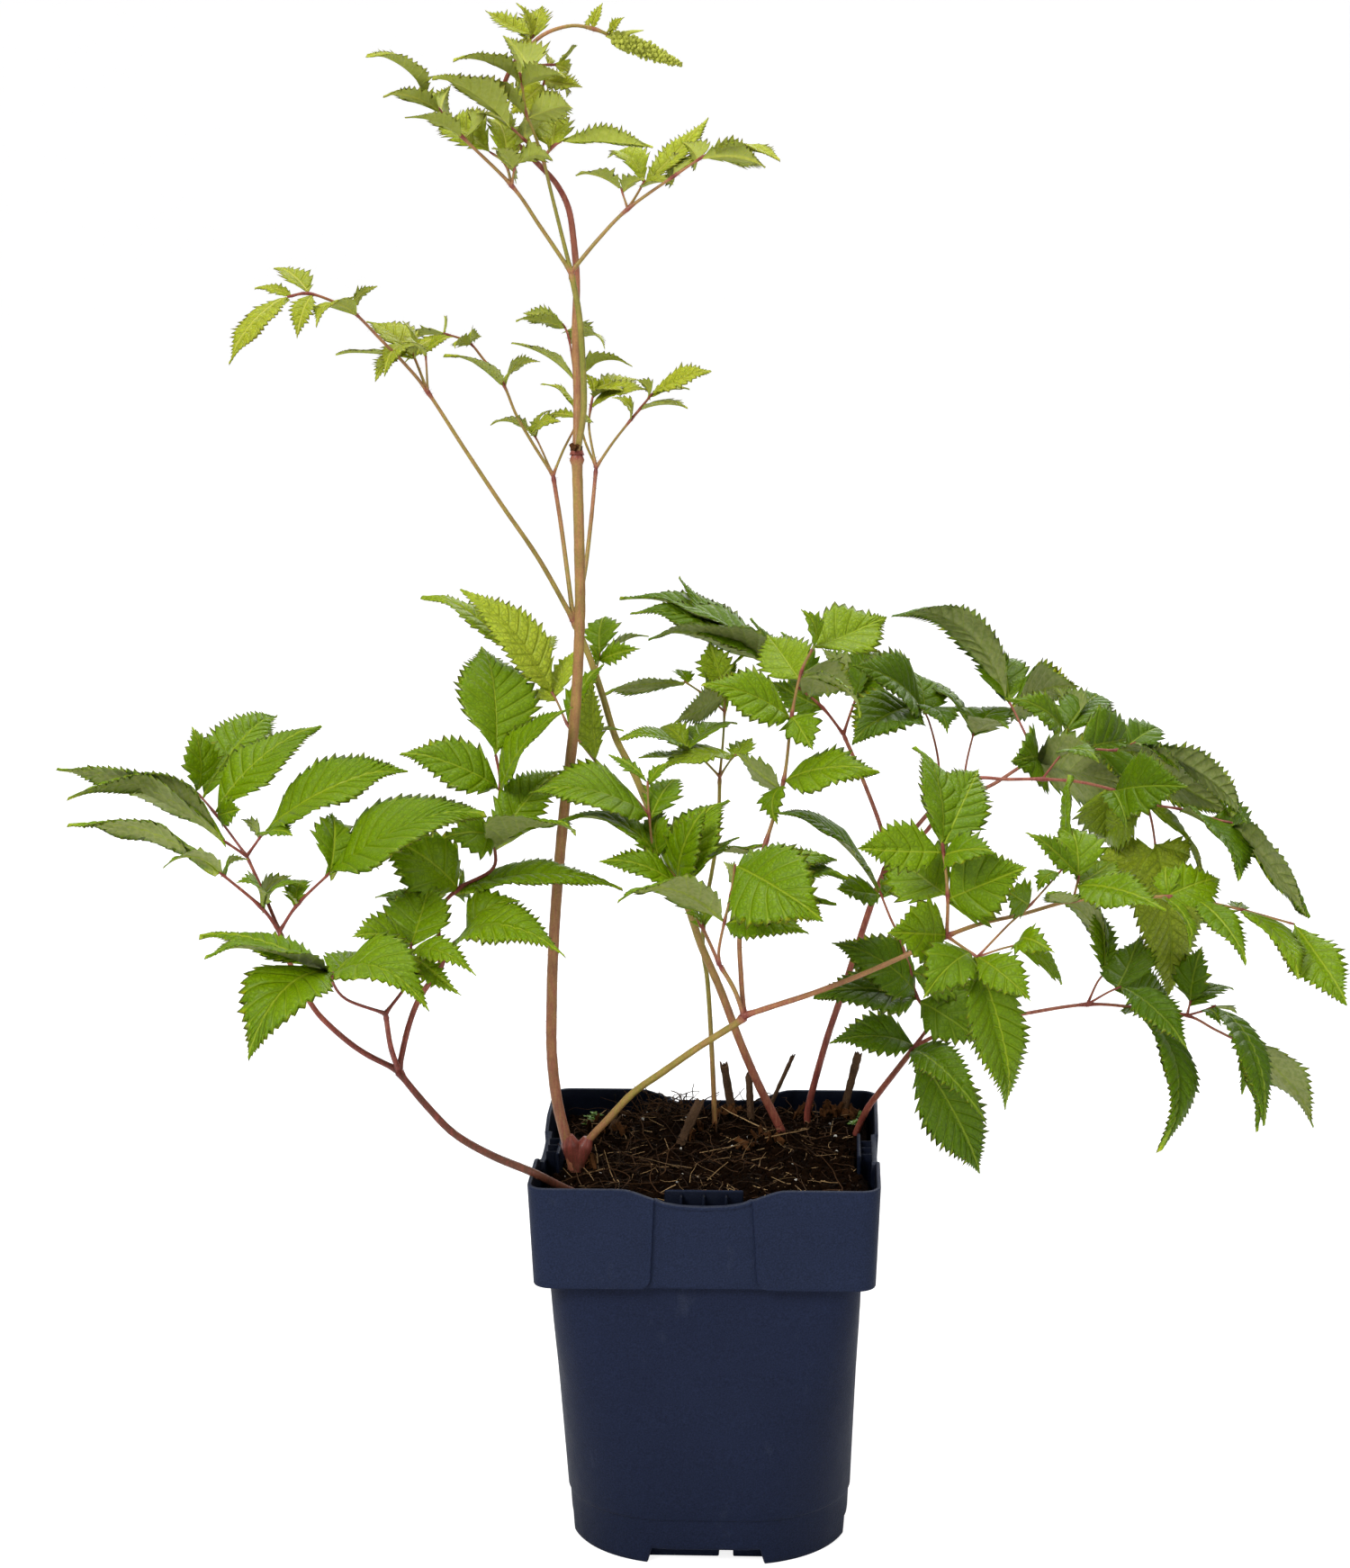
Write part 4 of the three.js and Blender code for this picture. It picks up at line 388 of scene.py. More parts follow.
            (22, -10, 234, 45, 0.8, 0.23)), ("mid", 7, (18, 26, 289, 10, 0.66, 0.02)),
            ("mid", 6, (-1, -10, 279, 45, 0.64)), ("mid", 5, (9, 3, 255, 120, 0.78, -0.05)),
            ("mid", 4, (3, 11, 221, 100, 0.36, -0.05)), ("right_a", 3, (66, -26, 263, 50, 0.56),
            (85, -19, 254, 6, 0.54)), ("right_a", 2, (47, -63, 238, 18, 0.54, -0.05),
            (88, -61, 237, 45, 0.76)), ("right_a", 1, (55, -29, 231, 10, 0.78, -0.05),
            (97, -61, 232, 5, 0.76, -0.05), (94, -34, 222, 5, 0.81, -0.05)),
            ("right_a", 0, (57, -62, 212, 5, 0.81, 0.02)), ("right_b", 2, (99, -70, 193, 20, 0.55),
            (94, -54, 154, 30, 0.4), (67, -63, 192, 20, 0.81, 0.23)),
            ("right_d", 2, (106, -61, 206, 35, 0.58, 0.23), (111, -34, 189, 65, 0.6)),
            ("right_c", 2, (92, -54, 223, 10, 0.78, 0.02)), ("right_c", 3, (112, -7, 250, 72, 0.3, -0.05),
            (102, -41, 220, 50, 0.76, 0.23)), ("right_e", 1, (99, -47, 240, 50, 0.36, 0.02),
            (112, -21, 236, 15, 0.78, 0.23), (128, -20, 226, 54, 0.67, -0.05), (139, -64, 220, 42, 0.44)),
            ("right", 8, (104, -55, 224, 125, 0.46, -0.05)), ("right", 10, (144, -13, 222, 30, 0.6),
            (161, -13, 218, 25, 0.71)), ("right", 11, (165, -52, 201, 35, 0.36)),
            ("right", 10, (149, -50, 205, 60, 0.38)), ("right", 13, (196, -48, 188, 10, 0.46, 0.02)),
            ("right", 12, (182, -48, 196, 65, 0.6), (168, -11, 210, 40, 0.68, -0.05)),
        ],
    },
    "right_leaf": {
        "slot": "dark_leaf", "fold": 14, "pitch": 2.05, "bite": 1,
        "stalks": {
            "petiole": ((1.2, 1.05), None, [(30, 34, 109.5), (31.5, 33, 121), (31.5, 33, 126.5),
                (33.5, 32, 136), (38, 31, 153), (42.5, 31, 167), (47, 31, 181.5), (52.5, 33, 198.5),
                (57.5, 34, 211)]),
            "left": ((0.75, 0.65), ("petiole", 8), [(55.5, 40, 222), (49, 48, 238), (43, 54, 251)]),
            "left_a": ((0.5, 0.4), ("left", 3), [(36, 54, 260), (27, 52, 268), (19, 50, 275.5)]),
            "left_b": ((0.5, 0.4), ("left", 3), [(45.5, 58, 258), (47.5, 60, 263)]),
            "mid": ((0.8, 0.55), ("petiole", 8), [(62.5, 36, 218), (67, 38, 223), (73.5, 40, 229.5),
                (82.5, 42, 233), (91, 42, 236), (99.5, 42, 241.5), (106, 42, 246)]),
            "mid_a": ((0.45, 0.3), ("mid", 3), [(74.5, 50, 242), (71, 56, 256), (67.5, 58, 260)]),
            "mid_b": ((0.4, 0.3), ("mid", 4), [(83.5, 48, 242), (86.5, 56, 252.5)]),
            "mid_c": ((0.45, 0.3), ("mid", 7), [(101.5, 50, 255), (97.5, 58, 262), (92.5, 62, 268)]),
            "mid_d": ((0.4, 0.3), ("mid", 7), [(114, 46, 251.5), (117, 48, 254)]),
            "mid_e": ((0.45, 0.35), ("mid", 7), [(120, 40, 249), (132, 38, 249), (138, 36, 252)]),
            "right": ((0.75, 0.35), ("petiole", 8), [(64.5, 30, 218.5), (70, 27, 224), (76, 22, 234),
                (84, 18, 243), (95.5, 16, 243.5), (106.5, 14, 244), (118.5, 12, 243.5), (130, 10, 241),
                (139.5, 8, 237.5), (150, 6, 236), (159.5, 4, 233.5), (166, 2, 232.5)]),
            "right_a": ((0.35, 0.3), ("right", 6), [(110.5, 16, 249), (112.5, 18, 251)]),
            "right_b": ((0.4, 0.35), ("right", 9), [(141.5, 10, 230), (143, 12, 221.5)]),
        },
        "leaflets": [
            ("left_a", 3, (-31, 58, 297, 77, 0.46), (-12, 66, 302, 74, 0.6, -0.05),
            (-26, 44, 295, 64, 0.52), (-20, 27, 289, 102, 0.62)),
            ("left_a", 2, (13, 58, 290, 75, 0.57, -0.05)), ("left_a", 1, (19, 54, 269, 40, 0.76, -0.05)),
            ("left_a", 2, (23, 50, 286, 40, 0.76, 0.23)), ("left_b", 2, (36, 72, 277, 127, 0.76),
            (65, 67, 275, 42, 0.8, 0.23), (50, 60, 287, 60, 0.5, -0.05)),
            ("mid_a", 3, (46, 25, 255, 35, 0.61), (46, 33, 278, 50, 0.66), (77, 36, 256, 58, 0.68, 0.16),
            (66, 76, 269, 40, 0.76)), ("mid_b", 2, (68, 85, 265, 76, 0.32), (97, 40, 257, 115, 0.76),
            (98, 74, 256, 45, 0.71, 0.16)), ("mid_c", 2, (59, 45, 294, 124, 0.36, 0.2)),
            ("mid_c", 3, (81, 92, 279, 58, 0.36), (93, 88, 271, 94, 0.57, 0.16)),
            ("mid_c", 2, (94, 84, 270, 16, 0.6, 0.23), (122, 81, 263, 132, 0.7)),
            ("mid_d", 2, (114, 72, 264, 120, 0.68, 0.16), (131, 80, 260, 38, 0.47),
            (96, 34, 267, 45, 0.5, 0.16)), ("mid", 7, (97, 14, 250, 5, 0.8, 0.1),
            (134, 12, 243, 144, 0.66, -0.05)), ("mid_e", 1, (142, 64, 248, 12, 0.78)),
            ("mid_e", 3, (171, 0, 234, 125, 0.3), (168, 6, 235, 120, 0.54, -0.05),
            (148, 51, 254, 30, 0.68)), ("mid_e", 2, (150, 13, 247, 94, 0.4)),
            ("right_a", 2, (123, -3, 254, 75, 0.45)), ("right", 8, (150, -12, 247, 20, 0.72),
            (132, -6, 233, 18, 0.6)), ("right", 10, (166, -25, 221, 68, 0.68)),
            ("right", 12, (187, -31, 210, 100, 0.64, 0.02)), ("right", 8, (128, 25, 220, 10, 0.81, -0.05)),
            ("right", 9, (126, 32, 221, 21, 0.5), (160, 20, 211, 80, 0.58)),
            ("right", 11, (172, 21, 218, 40, 0.68, 0.16)), ("right_b", 2, (123, 22, 213, 30, 0.81, -0.05),
            (155, 20, 217, 10, 0.6, 0.23), (148, 12, 172, 25, 0.52)),
        ],
    },
    "right_low_leaf": {
        "slot": "dark_leaf", "fold": 14, "pitch": 2.05, "bite": 1,
        "stalks": {
            "petiole": ((1.2, 0.95), None, [(44.5, 32, 110.5), (47.5, 28, 120.5), (51, 23, 130.5),
                (55, 18, 138), (60.5, 10, 148), (66.5, 4, 158)]),
            "up": ((0.6, 0.35), ("petiole", 5), [(71, 6, 166), (66.5, 2, 175.5), (64.5, 0, 184),
                (61, 0, 195), (58, 0, 201.5), (54.5, 2, 210)]),
            "right": ((0.7, 0.4), ("petiole", 5), [(76, 0, 164), (89, -4, 168.5), (102, -6, 172),
                (120.5, -8, 175.5), (136.5, -6, 174), (152.5, -4, 171), (161.5, -2, 166), (170.5, 0, 161)]),
            "right_a": ((0.4, 0.3), ("right", 4), [(124, -4, 182), (127, 0, 184)]),
            "right_b": ((0.4, 0.3), ("right", 4), [(126.5, -12, 180.5), (130.5, -14, 183)]),
            "right_c": ((0.35, 0.3), ("right", 6), [(154, -2, 176.5)]),
            "right_d": ((0.35, 0.3), ("right", 6), [(158.5, -6, 173.5), (161, -8, 175.5)]),
        },
        "leaflets": [
            ("petiole", 5, (39, -6, 162, 35, 0.56, 0.16), (88, 4, 115, 25, 0.48),
            (88, -26, 143, 18, 0.32, 0.23)), ("up", 2, (40, -6, 195, 37, 0.62, 0.16),
            (34, -10, 179, 48, 0.62), (88, -4, 161, 10, 0.76, 0.23)),
            ("up", 3, (86, 0, 179, 20, 0.68, -0.05)), ("up", 6, (23, -13, 240, 82, 0.6),
            (41, -8, 213, 50, 0.73, -0.05), (65, 14, 212, 50, 0.6)),
            ("right_a", 2, (110, 23, 205, 110, 0.6, 0.16), (124, 18, 202, 30, 0.36)),
            ("right_b", 2, (148, -46, 173, 30, 0.34), (138, 8, 195, 42, 0.71, -0.05),
            (148, 11, 173, 28, 0.4)), ("right", 5, (143, -40, 138, 55, 0.4, 0.16),
            (132, -13, 174, 60, 0.68, -0.05)), ("right_c", 1, (149, 22, 189, 84, 0.34),
            (157, -1, 193, 28, 0.66), (168, 5, 178, 60, 0.63, 0.16)),
            ("right_d", 2, (173, -41, 146, 45, 0.34, 0.16)), ("right_d", 1, (162, -16, 171, 40, 0.5, 0.16)),
            ("right_d", 2, (169, 2, 171, 100, 0.5, 0.02)), ("right", 8, (171, -4, 145, 50, 0.39),
            (195, 0, 134, 120, 0.6), (173, -30, 141, 60, 0.38)),
        ],
    },
    "back_leaf": {
        "slot": "young_leaf", "finish": "leaf", "fold": 14, "pitch": 1.6, "bite": 1.2,
        "stalks": {
            "petiole": ((0.9, 0.6), None, [(1.5, 26, 112), (1, 25, 120.5), (0.5, 24, 137.5),
                (-0.5, 24, 160), (-1.5, 25, 174.5), (-3, 26, 185.5), (-2, 29, 198.5), (0, 31, 209.5),
                (2, 33, 223), (2.5, 34, 240.5)]),
            "up": ((0.45, 0.35), ("petiole", 9), [(3.5, 36, 251.5), (4, 38, 261.5), (4, 40, 268.5)]),
            "left": ((0.35, 0.3), ("up", 2), [(-3, 34, 268), (-9, 32, 272.5)]),
            "mid": ((0.4, 0.35), ("petiole", 9), [(-3.5, 28, 248), (-8, 24, 251.5)]),
            "right": ((0.4, 0.3), ("petiole", 9), [(6, 30, 246.5), (8, 28, 249)]),
        },
        "leaflets": [
            ("up", 3, (-1, 42, 284, 6, 0.72, 0.02), (-12, 16, 262, 140, 0.4, -0.05)),
            ("up", 2, (9, 52, 278, 60, 0.4)), ("left", 2, (-35, 16, 272, 115, 0.39, 0.02),
            (-12, 41, 275, 50, 0.62)), ("left", 1, (-4, 45, 273, 78, 0.5, 0.16)),
            ("mid", 2, (8, 40, 258, 68, 0.74), (-17, 35, 257, 26, 0.61, 0.23), (-28, 6, 259, 75, 0.34),
            (-23, 15, 251, 68, 0.3, -0.05)), ("right", 2, (-16, 15, 247, 65, 0.64),
            (13, 38, 253, 40, 0.78, -0.05)),
        ],
    },
}

# How red each stalk is, at even steps from its start to its end: 0 is green, 0.5 tan, 1 red and 1.3
# dark red. The entry under a frond's own name serves its other stalks.
REDDEST = 1.3
TINTS = {
    "flower_stem": (0.3, 0.45, 0.7), "flower_stem.stem": (0.75, 0.55, 0.45),
    "flower_stem.flower_stalk": (0.55, 0.58, 0.95, 0.97, 0.15), "flower_stem.petiole": (0.35, 0.1, 0.2),
    "flower_stem.mid": (0.12, 0.2, 0.4),
    "mid_leaf": (0.35, 0.4, 0.8), "mid_leaf.petiole": (1.1, 0.3, 0.3),
    "low_left_leaf": (1.1, 0.95, 0.85), "low_left_leaf.petiole": (1.25, 1.3, 1.1),
    "centre_leaf": (0.7, 0.45, 0.5), "centre_leaf.petiole": (0.9, 0.3, 0.4),
    "right_leaf": (0.95, 0.85, 0.75), "right_leaf.petiole": (1.1, 0.9, 0.85),
    "right_low_leaf": (0.9, 0.8, 0.75), "right_low_leaf.petiole": (1.05, 0.9, 0.82),
    "back_leaf": (0.4, 0.15, 0.25), "back_leaf.petiole": (0.7, 0.2, 0.25),
}
# How dark each frond's blades are, from 0 to 1, and how much that varies.
BLADE_TONES = {
    "flower_stem": (0.25, 0.3), "mid_leaf": (0.5, 0.3), "low_left_leaf": (0.35, 0.35),
    "centre_leaf": (0.35, 0.5), "right_leaf": (0.45, 0.5), "right_low_leaf": (0.4, 0.5),
    "back_leaf": (0.15, 0.5),
}
# Leaflets that are paler than the rest of their leaf, and how pale. On the right leaf the paleness is
# painted light, for light shining through the blades from behind; elsewhere it is the paler colour of young
# blades.
PALE_LEAFLETS = {
    "flower_stem": {5: 0.8, 6: 0.6, 18: 0.5, 20: 0.8, 25: 0.9, 26: 0.4},
    "centre_leaf": {21: 0.45, 22: 1, 23: 0.9, 24: 1, 25: 0.8, 26: 0.5, 33: 0.25, 40: 0.2},
    "right_leaf": {37: 0.4, 38: 0.3, 39: 0.3, 41: 0.7, 42: 0.7, 43: 0.65},
    "back_leaf": {0: 0.3, 5: 0.3, 7: 0.4, 10: 0.4, 11: 0.3},
}
# Stalks: spacing of their points, reach of the swelling at a joint, and how much it thickens them.
STALK_SPACING, SHEATH_SPACING = 1.6, 0.7
SWELL_REACH = 1.8
SWELL_THIN, SWELL_THICK = 0.45, 0.35
STALK_SIDES, SHEATH_SIDES, STRAND_SIDES = 10, 16, 5
# Hairs at the joints: how many on a square metre, length, width, variation, lean and seed.
HAIRS = (9e5, 0.9, 0.05, 0.4, 0.5, 3)
THICKEST_HAIRY = 1.6
# The red sheath: its shared route, and the end and radii of each of its two branches.
SHEATH_FOOT = ((-42, -12, 109), (-42.4, -12.1, 117), (-42.4, -12.2, 122))
SHEATH_BRANCHES = (
    ((-45.2, -12.9, 132), (3.4, 2.9, 2.7, 3, 1.9)), ((-38.6, -11.6, 131), (3.4, 2.9, 2.6, 2.7, 1.6)),
)
SHEATH_PLACES = (0, 0.3, 0.6, 0.88, 1)
SHEATH_RED_PLACES, SHEATH_REDS = (0, 0.5, 0.85, 1), (1.3, 1.25, 1.08, 0.95)
# The bud: its ends, and the radius, number and size of the flowers on its spike and side spikes.
BUD_ROUTE = ((-28.3, 2, 476.7), (-7.5, 4, 468.2))
BUD_SPIKE = (2.3, 110, 0.9)
SIDE_SPIKE = (1, 16, 0.8)
SIDE_SPIKES, SIDE_START, SIDE_STEP = 11, 0.05, 0.075
FLOWER_SHAPE = (0.78, 0.78, 1.25)
BUD_STALK, SIDE_STALK = 1.9, 0.8
STUBS = (
    (1.5, ((9, 36, 108), (7, 36, 121), (3.5, 38, 142))),
    (1.1, ((14.5, 30, 108), (13, 30, 121), (12, 31, 140.5))),
    (0.7, ((16, 44, 108), (17.5, 44.5, 121), (26.5, 50, 141.5))),
    (1.4, ((41, 43, 108), (43, 44, 121), (48.5, 48, 143))),
    (1.5, ((-13, 13, 108), (-11, 13.5, 118.5), (-7, 16, 128), (-3.4, 19, 135))),
    (1.1, ((-38, 24, 108), (-35, 24, 119), (-31.5, 25, 127))),
)
STUB_SIDES = 14
STUB_CREASE = 50
NODE_SHEATHS = 7

# ---------------------------------------------------------------- colours
# Blades: name, light, deep, vein, underside and flushed edge, and how far the flush reaches.
BLADE_COLORS = {
    "young_leaf": ("young_blade", (0.41, 0.44, 0.025), (0.25, 0.3, 0.01), (0.5, 0.5, 0.08),
                   (0.32, 0.36, 0.075), (0.06, 0.012, 0.006), 0.9),
    "leaf": ("blade", (0.185, 0.295, 0), (0.1, 0.19, 0), (0.33, 0.41, 0.02),
             (0.31, 0.34, 0.12), (0.06, 0.04, 0.006), 0.6),
    "dark_leaf": ("dark_blade", (0.12, 0.205, 0), (0.06, 0.128, 0), (0.24, 0.32, 0.02),
                  (0.3, 0.33, 0.12), (0.045, 0.03, 0.006), 0.6),
}
# Half widths of the veins, from where they start to where they are full: the midrib's in millimetres,
# the others' as a share of the space between two veins.
MIDRIB_REACH, SIDE_VEIN_REACH, MINOR_VEIN_REACH = (0.42, 0.16), (0.045, 0.012), (0.035, 0.01)
NET_SCALE = 650.0
BLADE_ROUGHNESS, BLADE_SPECULAR, BLADE_GLOSS = 0.42, 0.22, (0.35, 0.46)
BLADE_RELIEF, BLADE_LIGHT_DEPTH, BLADE_LIGHT_SHARE = 0.3, 0.35, 0.4
# Colours of the pale leaflets: on the right leaf painted light from behind, elsewhere young blades.
PALE_FACE, PALE_UNDER = (0.43, 0.5, 0.035, 1), (0.4, 0.46, 0.07, 1)
BLADE_SHEEN_TINT = (0.95, 1, 0.75, 1)
BLADE_LIGHT_REACH = (0.7, 1.0, 0.05)
# Stalks, from green to dark red.
STALK_STOPS = (
    (0, (0.2, 0.22, 0.03)), (0.23, (0.3, 0.23, 0.05)), (0.42, (0.35, 0.18, 0.07)),
    (0.6, (0.32, 0.11, 0.065)), (0.77, (0.22, 0.048, 0.036)), (1, (0.1, 0.038, 0.02)),
)
# Plain finishes: colour, roughness, size and strength of the blotches, size and strength of the
# grain, depth of the grain, and how much it mirrors.
PLAIN_FINISHES = {
    "hair": ((0.2, 0.1, 0.06), 0.6, 3, 0.3, 0.3, 0.2, 0.01, 0.4),
    "bud_green": ((0.4, 0.43, 0.06), 0.55, 2.2, 1.5, 0.4, 0.9, 0.1, 0.2),
    "dry_stub": ((0.085, 0.046, 0.024), 0.75, 6, 1.6, 0.5, 1.2, 0.3, 0.15),
    "peat": ((0.0045, 0.002, 0.0009), 0.9, 7, 1.3, 0.8, 1.2, 0.5, 0.02),
    "peat_crumb": ((0.0075, 0.0032, 0.0013), 0.9, 4, 1.9, 0.5, 1.2, 0.3, 0.02),
    "perlite": ((0.5, 0.48, 0.44), 0.8, 2, 0.2, 0.3, 0.3, 0.1, 0.4),
    "bark": ((0.075, 0.03, 0.01), 0.8, 3, 2.6, 0.5, 1.6, 0.4, 0.05),
    "moss": ((0.1, 0.2, 0.015), 0.5, 2, 0.6, 0.3, 0.3, 0.05, 0.4),
}
# Straw and roots: palest colour, darkest colour and roughness.
SHADED_FINISHES = {
    "straw": ((0.5, 0.32, 0.15), (0.06, 0.03, 0.012), 0.6),
    "root": ((0.065, 0.03, 0.012), (0.004, 0.0025, 0.0015), 0.8),
}
# The pot's colours grow lighter from foot to collar: painted light for light from above, with painted shade
# on the foot.
POT_BODY = (0.0105, 0.0155, 0.038, 1)
POT_COLLAR_LIT = (0.0132, 0.0195, 0.045, 1)
POT_FOOT_SHADE = (0.009, 0.0135, 0.033, 1)
POT_SCUFF = (0.05, 0.06, 0.085, 1)
# Painted shade: the near-black colour of the shaded inner wall and label plates.
POT_INSIDE_SHADE = (0.001, 0.002, 0.006, 1)
# Painted highlight: the paler colour of the rim's upward faces.
POT_RIM_HIGHLIGHT = (0.045, 0.052, 0.078, 1)

# ---------------------------------------------------------------- camera, light and floor
CAMERA_PLACE = (39.22, -1047.3, 455.24)
CAMERA_YAW = 0.0475
CAMERA_PITCH = 0.1981
CAMERA_ROLL = -0.0055
CAMERA_LENS = 77.3
CAMERA_SENSOR = 36
CAMERA_NEAR, CAMERA_FAR = 0.01, 100
# Each light's place, size and power; all of them point at LIT_PLACE. In metres and watts.
LIGHTS = {
    "key": ((-1.0, -1.5, 1.5), 0.9, 34),
    "fill": ((1.6, -1.4, 0.9), 1.2, 9),
    "top": ((0.1, 0.3, 1.9), 1.4, 20),
    "back": ((0.5, 1.5, 1.0), 1.0, 8),
}
LIT_PLACE = (0, 0, 0.25)
AIR_GLOW = 0.4
# The floor is flat out to its curve, in metres, and turns up there into a wall.
FLOOR_FLATS = (0.001, 1, 3, 6)
FLOOR_CURVE = 3
FLOOR_SIDES = 96
FLOOR_GLOW = 0.85
FLOOR_BRIGHT = 0.85
FLOOR_GREYS = (0.38, 0.42)

# ---------------------------------------------------------------- meshes
def linked(name, mesh):
    """A new object that shows a mesh, at the origin."""
    made = bpy.data.objects.new(name, mesh)
    bpy.context.scene.collection.objects.link(made)
    return made


def new_mesh(name, points, faces, material=None, sharp=None):
    """A smooth mesh from points in millimetres; edges steeper than the sharp angle stay crisp."""
    mesh = bpy.data.meshes.new(name)
    mesh.from_pydata((np.asarray(points, float) * MM).tolist(), [], faces)
    mesh.shade_smooth()
    if sharp is not None:
        mesh.set_sharp_from_angle(angle=math.radians(sharp))
    if material:
        mesh.materials.append(material)
    return mesh


def point_values(mesh, name, values):
    """Stores one number for each point of a mesh."""
    mesh.attributes.new(name, "FLOAT", "POINT").data.foreach_set("value", np.asarray(values, np.float32))


def joined(parts):
    """Points and faces of several parts as one."""
    points, faces, first = [], [], 0
    for part_points, part_faces in parts:
        points.append(np.asarray(part_points, float))
        faces += [tuple(first + corner for corner in face) for face in part_faces]
        first += len(part_points)
    return np.vstack(points), faces


def grid_faces(index, closed=False):
    """Faces between the rows of a table of point numbers, without their repeated corners."""
    rows = index.tolist()
    faces = []
    for low, high in zip(rows, rows[1:]):
        if closed:
            low, high = low + low[:1], high + high[:1]
        for a, b, c, d in zip(low, low[1:], high[1:], high):
            face = tuple(dict.fromkeys((a, b, c, d)))
            if len(face) > 2:
                faces.append(face)
    return faces


def capped_rings(rings, foot, head):
    """Points and faces of a body made of equal rings, closed by a point at its foot and one at its head."""
    count = len(rings[0])
    points = np.vstack([[foot]] + list(rings) + [[head]])
    index = np.arange(1, len(points) - 1).reshape(-1, count)
    index = np.vstack([np.zeros(count, int), index, np.full(count, len(points) - 1)])
    return points, grid_faces(index, closed=True)


def smoothstep(low, high, value):
    """A soft step from 0 at the low value to 1 at the high one."""
    share = np.clip((np.asarray(value, float) - low) / (high - low), 0, 1)
    return share * share * (3 - 2 * share)


def smooth_route(route, spacing):
    """A smooth curve through a route's points, and which of its points those are."""
    given = np.asarray(route, float)
    ends = np.vstack([2 * given[0] - given[1], given, 2 * given[-1] - given[-2]])
    points, marks = [given[:1]], [0]
    for a, b, c, d in zip(ends, ends[1:], ends[2:], ends[3:]):
        count = max(1, round(np.linalg.norm(c - b) / spacing))
        t = np.arange(1, count + 1)[:, None] / count
        points.append(0.5 * (
            2 * b + (c - a) * t + (2 * a - 5 * b + 4 * c - d) * t ** 2 + (3 * b - a - 3 * c + d) * t ** 3
        ))
        marks.append(marks[-1] + count)
    return np.vstack(points), marks


def lengths_along(points):
    """How far along a chain each of its points is."""
    return np.concatenate([[0], np.cumsum(np.linalg.norm(np.diff(points, axis=0), axis=1))])


# ---------------------------------------------------------------- leaflets
def leaflet_axes(start, tip, turn):
    """Along a leaflet, out of its upper face and across it. A turn of 0 degrees shows the upper
    face to the front, 90 lays it flat, and more shows the underside."""
    along = (tip - start) / np.linalg.norm(tip - start)
    front = np.array((0, -1, 0.2))
    front = front - along * front.dot(along)
    front /= np.linalg.norm(front)
    upward = np.cross(front, along)
    upward *= -1 if upward[2] < 0 else 1
    normal = front * math.cos(math.radians(turn)) + upward * math.sin(math.radians(turn))
    return along, np.cross(along, normal), normal


def half_outline(share, roundness):
    """Half width of a blade along it, as a share of its widest, with a drawn-out tip."""
    blade = np.clip((share - 0.03) / 0.97, 0, 1)
    body = np.sin(math.pi * blade ** roundness) * (1.05 - 0.4 * blade * blade)
    return body * (1 - 0.3 * smoothstep(0.72, 1, blade))


def tooth_table(teeth):
    """Rows along a blade: their places from 0 to 1, the tooth that each is on and its standout."""
    rows = [(tooth + place, tooth, out, lead) for tooth in range(teeth) for place, out, lead in TOOTH_ROWS]
    table = np.array(rows + [(teeth, teeth - 1, 0, 0)])
    return table[:, 0] / teeth, table[:, 1].astype(int), table[:, 2], table[:, 3] / teeth


def blade_grid(length, width, frond, terminal, rng):
    """A blade laid flat: its rows, their veins, the tips of its teeth, its half width at each row, and
    for each point the side it is on, how near the edge, and where it lies along and across."""
    teeth = int(np.clip(round(length / frond["pitch"]), FEWEST_TEETH, MOST_TEETH))
    half = next(columns for longest, columns in BLADE_COLUMNS if length <= longest)
    across = np.array([-place for place in half[:0:-1]] + list(half))
    edge, pick = np.abs(across), (across > 0).astype(int)
    rows, tooth, out, lead = tooth_table(teeth)
    roundness = (1.0 if terminal else 0.84) + rng.uniform(*VARY["roundness"])
    widest = width * length / 2
    jitter = rng.uniform(*VARY["tooth place"], (2, teeth)) / teeth
    size = rng.uniform(*VARY["tooth size"], (2, teeth)) * np.where(np.arange(teeth) % 2, *TOOTH_TURNS)
    slant = rng.uniform(*VARY["slant"]) * widest / length * half_outline(rows, roundness)
    shift = np.where(edge > 0, slant[:, None] + jitter[pick][:, tooth].T * 0.6, 0)
    reach = rows[:, None] + shift * edge ** 1.15
    reach = np.clip(reach + lead[:, None] * edge ** TOOTH_START, 0, 1)
    reach[0], reach[-1] = 0, 1
    far = np.clip(rows + slant, 0, 1)
    outline = np.maximum(widest * half_outline(far, roundness), LEAST_HALF_WIDTH * (1 - far ** 6))
    stand = frond["bite"] * length / teeth * smoothstep(0.07, 0.22, far)
    stand = stand * (1 - 0.55 * smoothstep(0.8, 1, far))
    push = out[:, None] * np.minimum(stand, 0.62 * outline)[:, None] * size[pick][:, tooth].T
    y = np.sign(across) * (edge * outline[:, None] + edge ** TOOTH_START * push)
    vein = (rows * teeth - VEIN_ROW) / 2
    tips = smoothstep(-1.6, 0.6, out)[:, None] * (edge > 0.99) * smoothstep(0.1, 0.2, rows)[:, None]
    tips[-1] = 1
    return rows, vein, tips, outline, pick, edge, reach, y


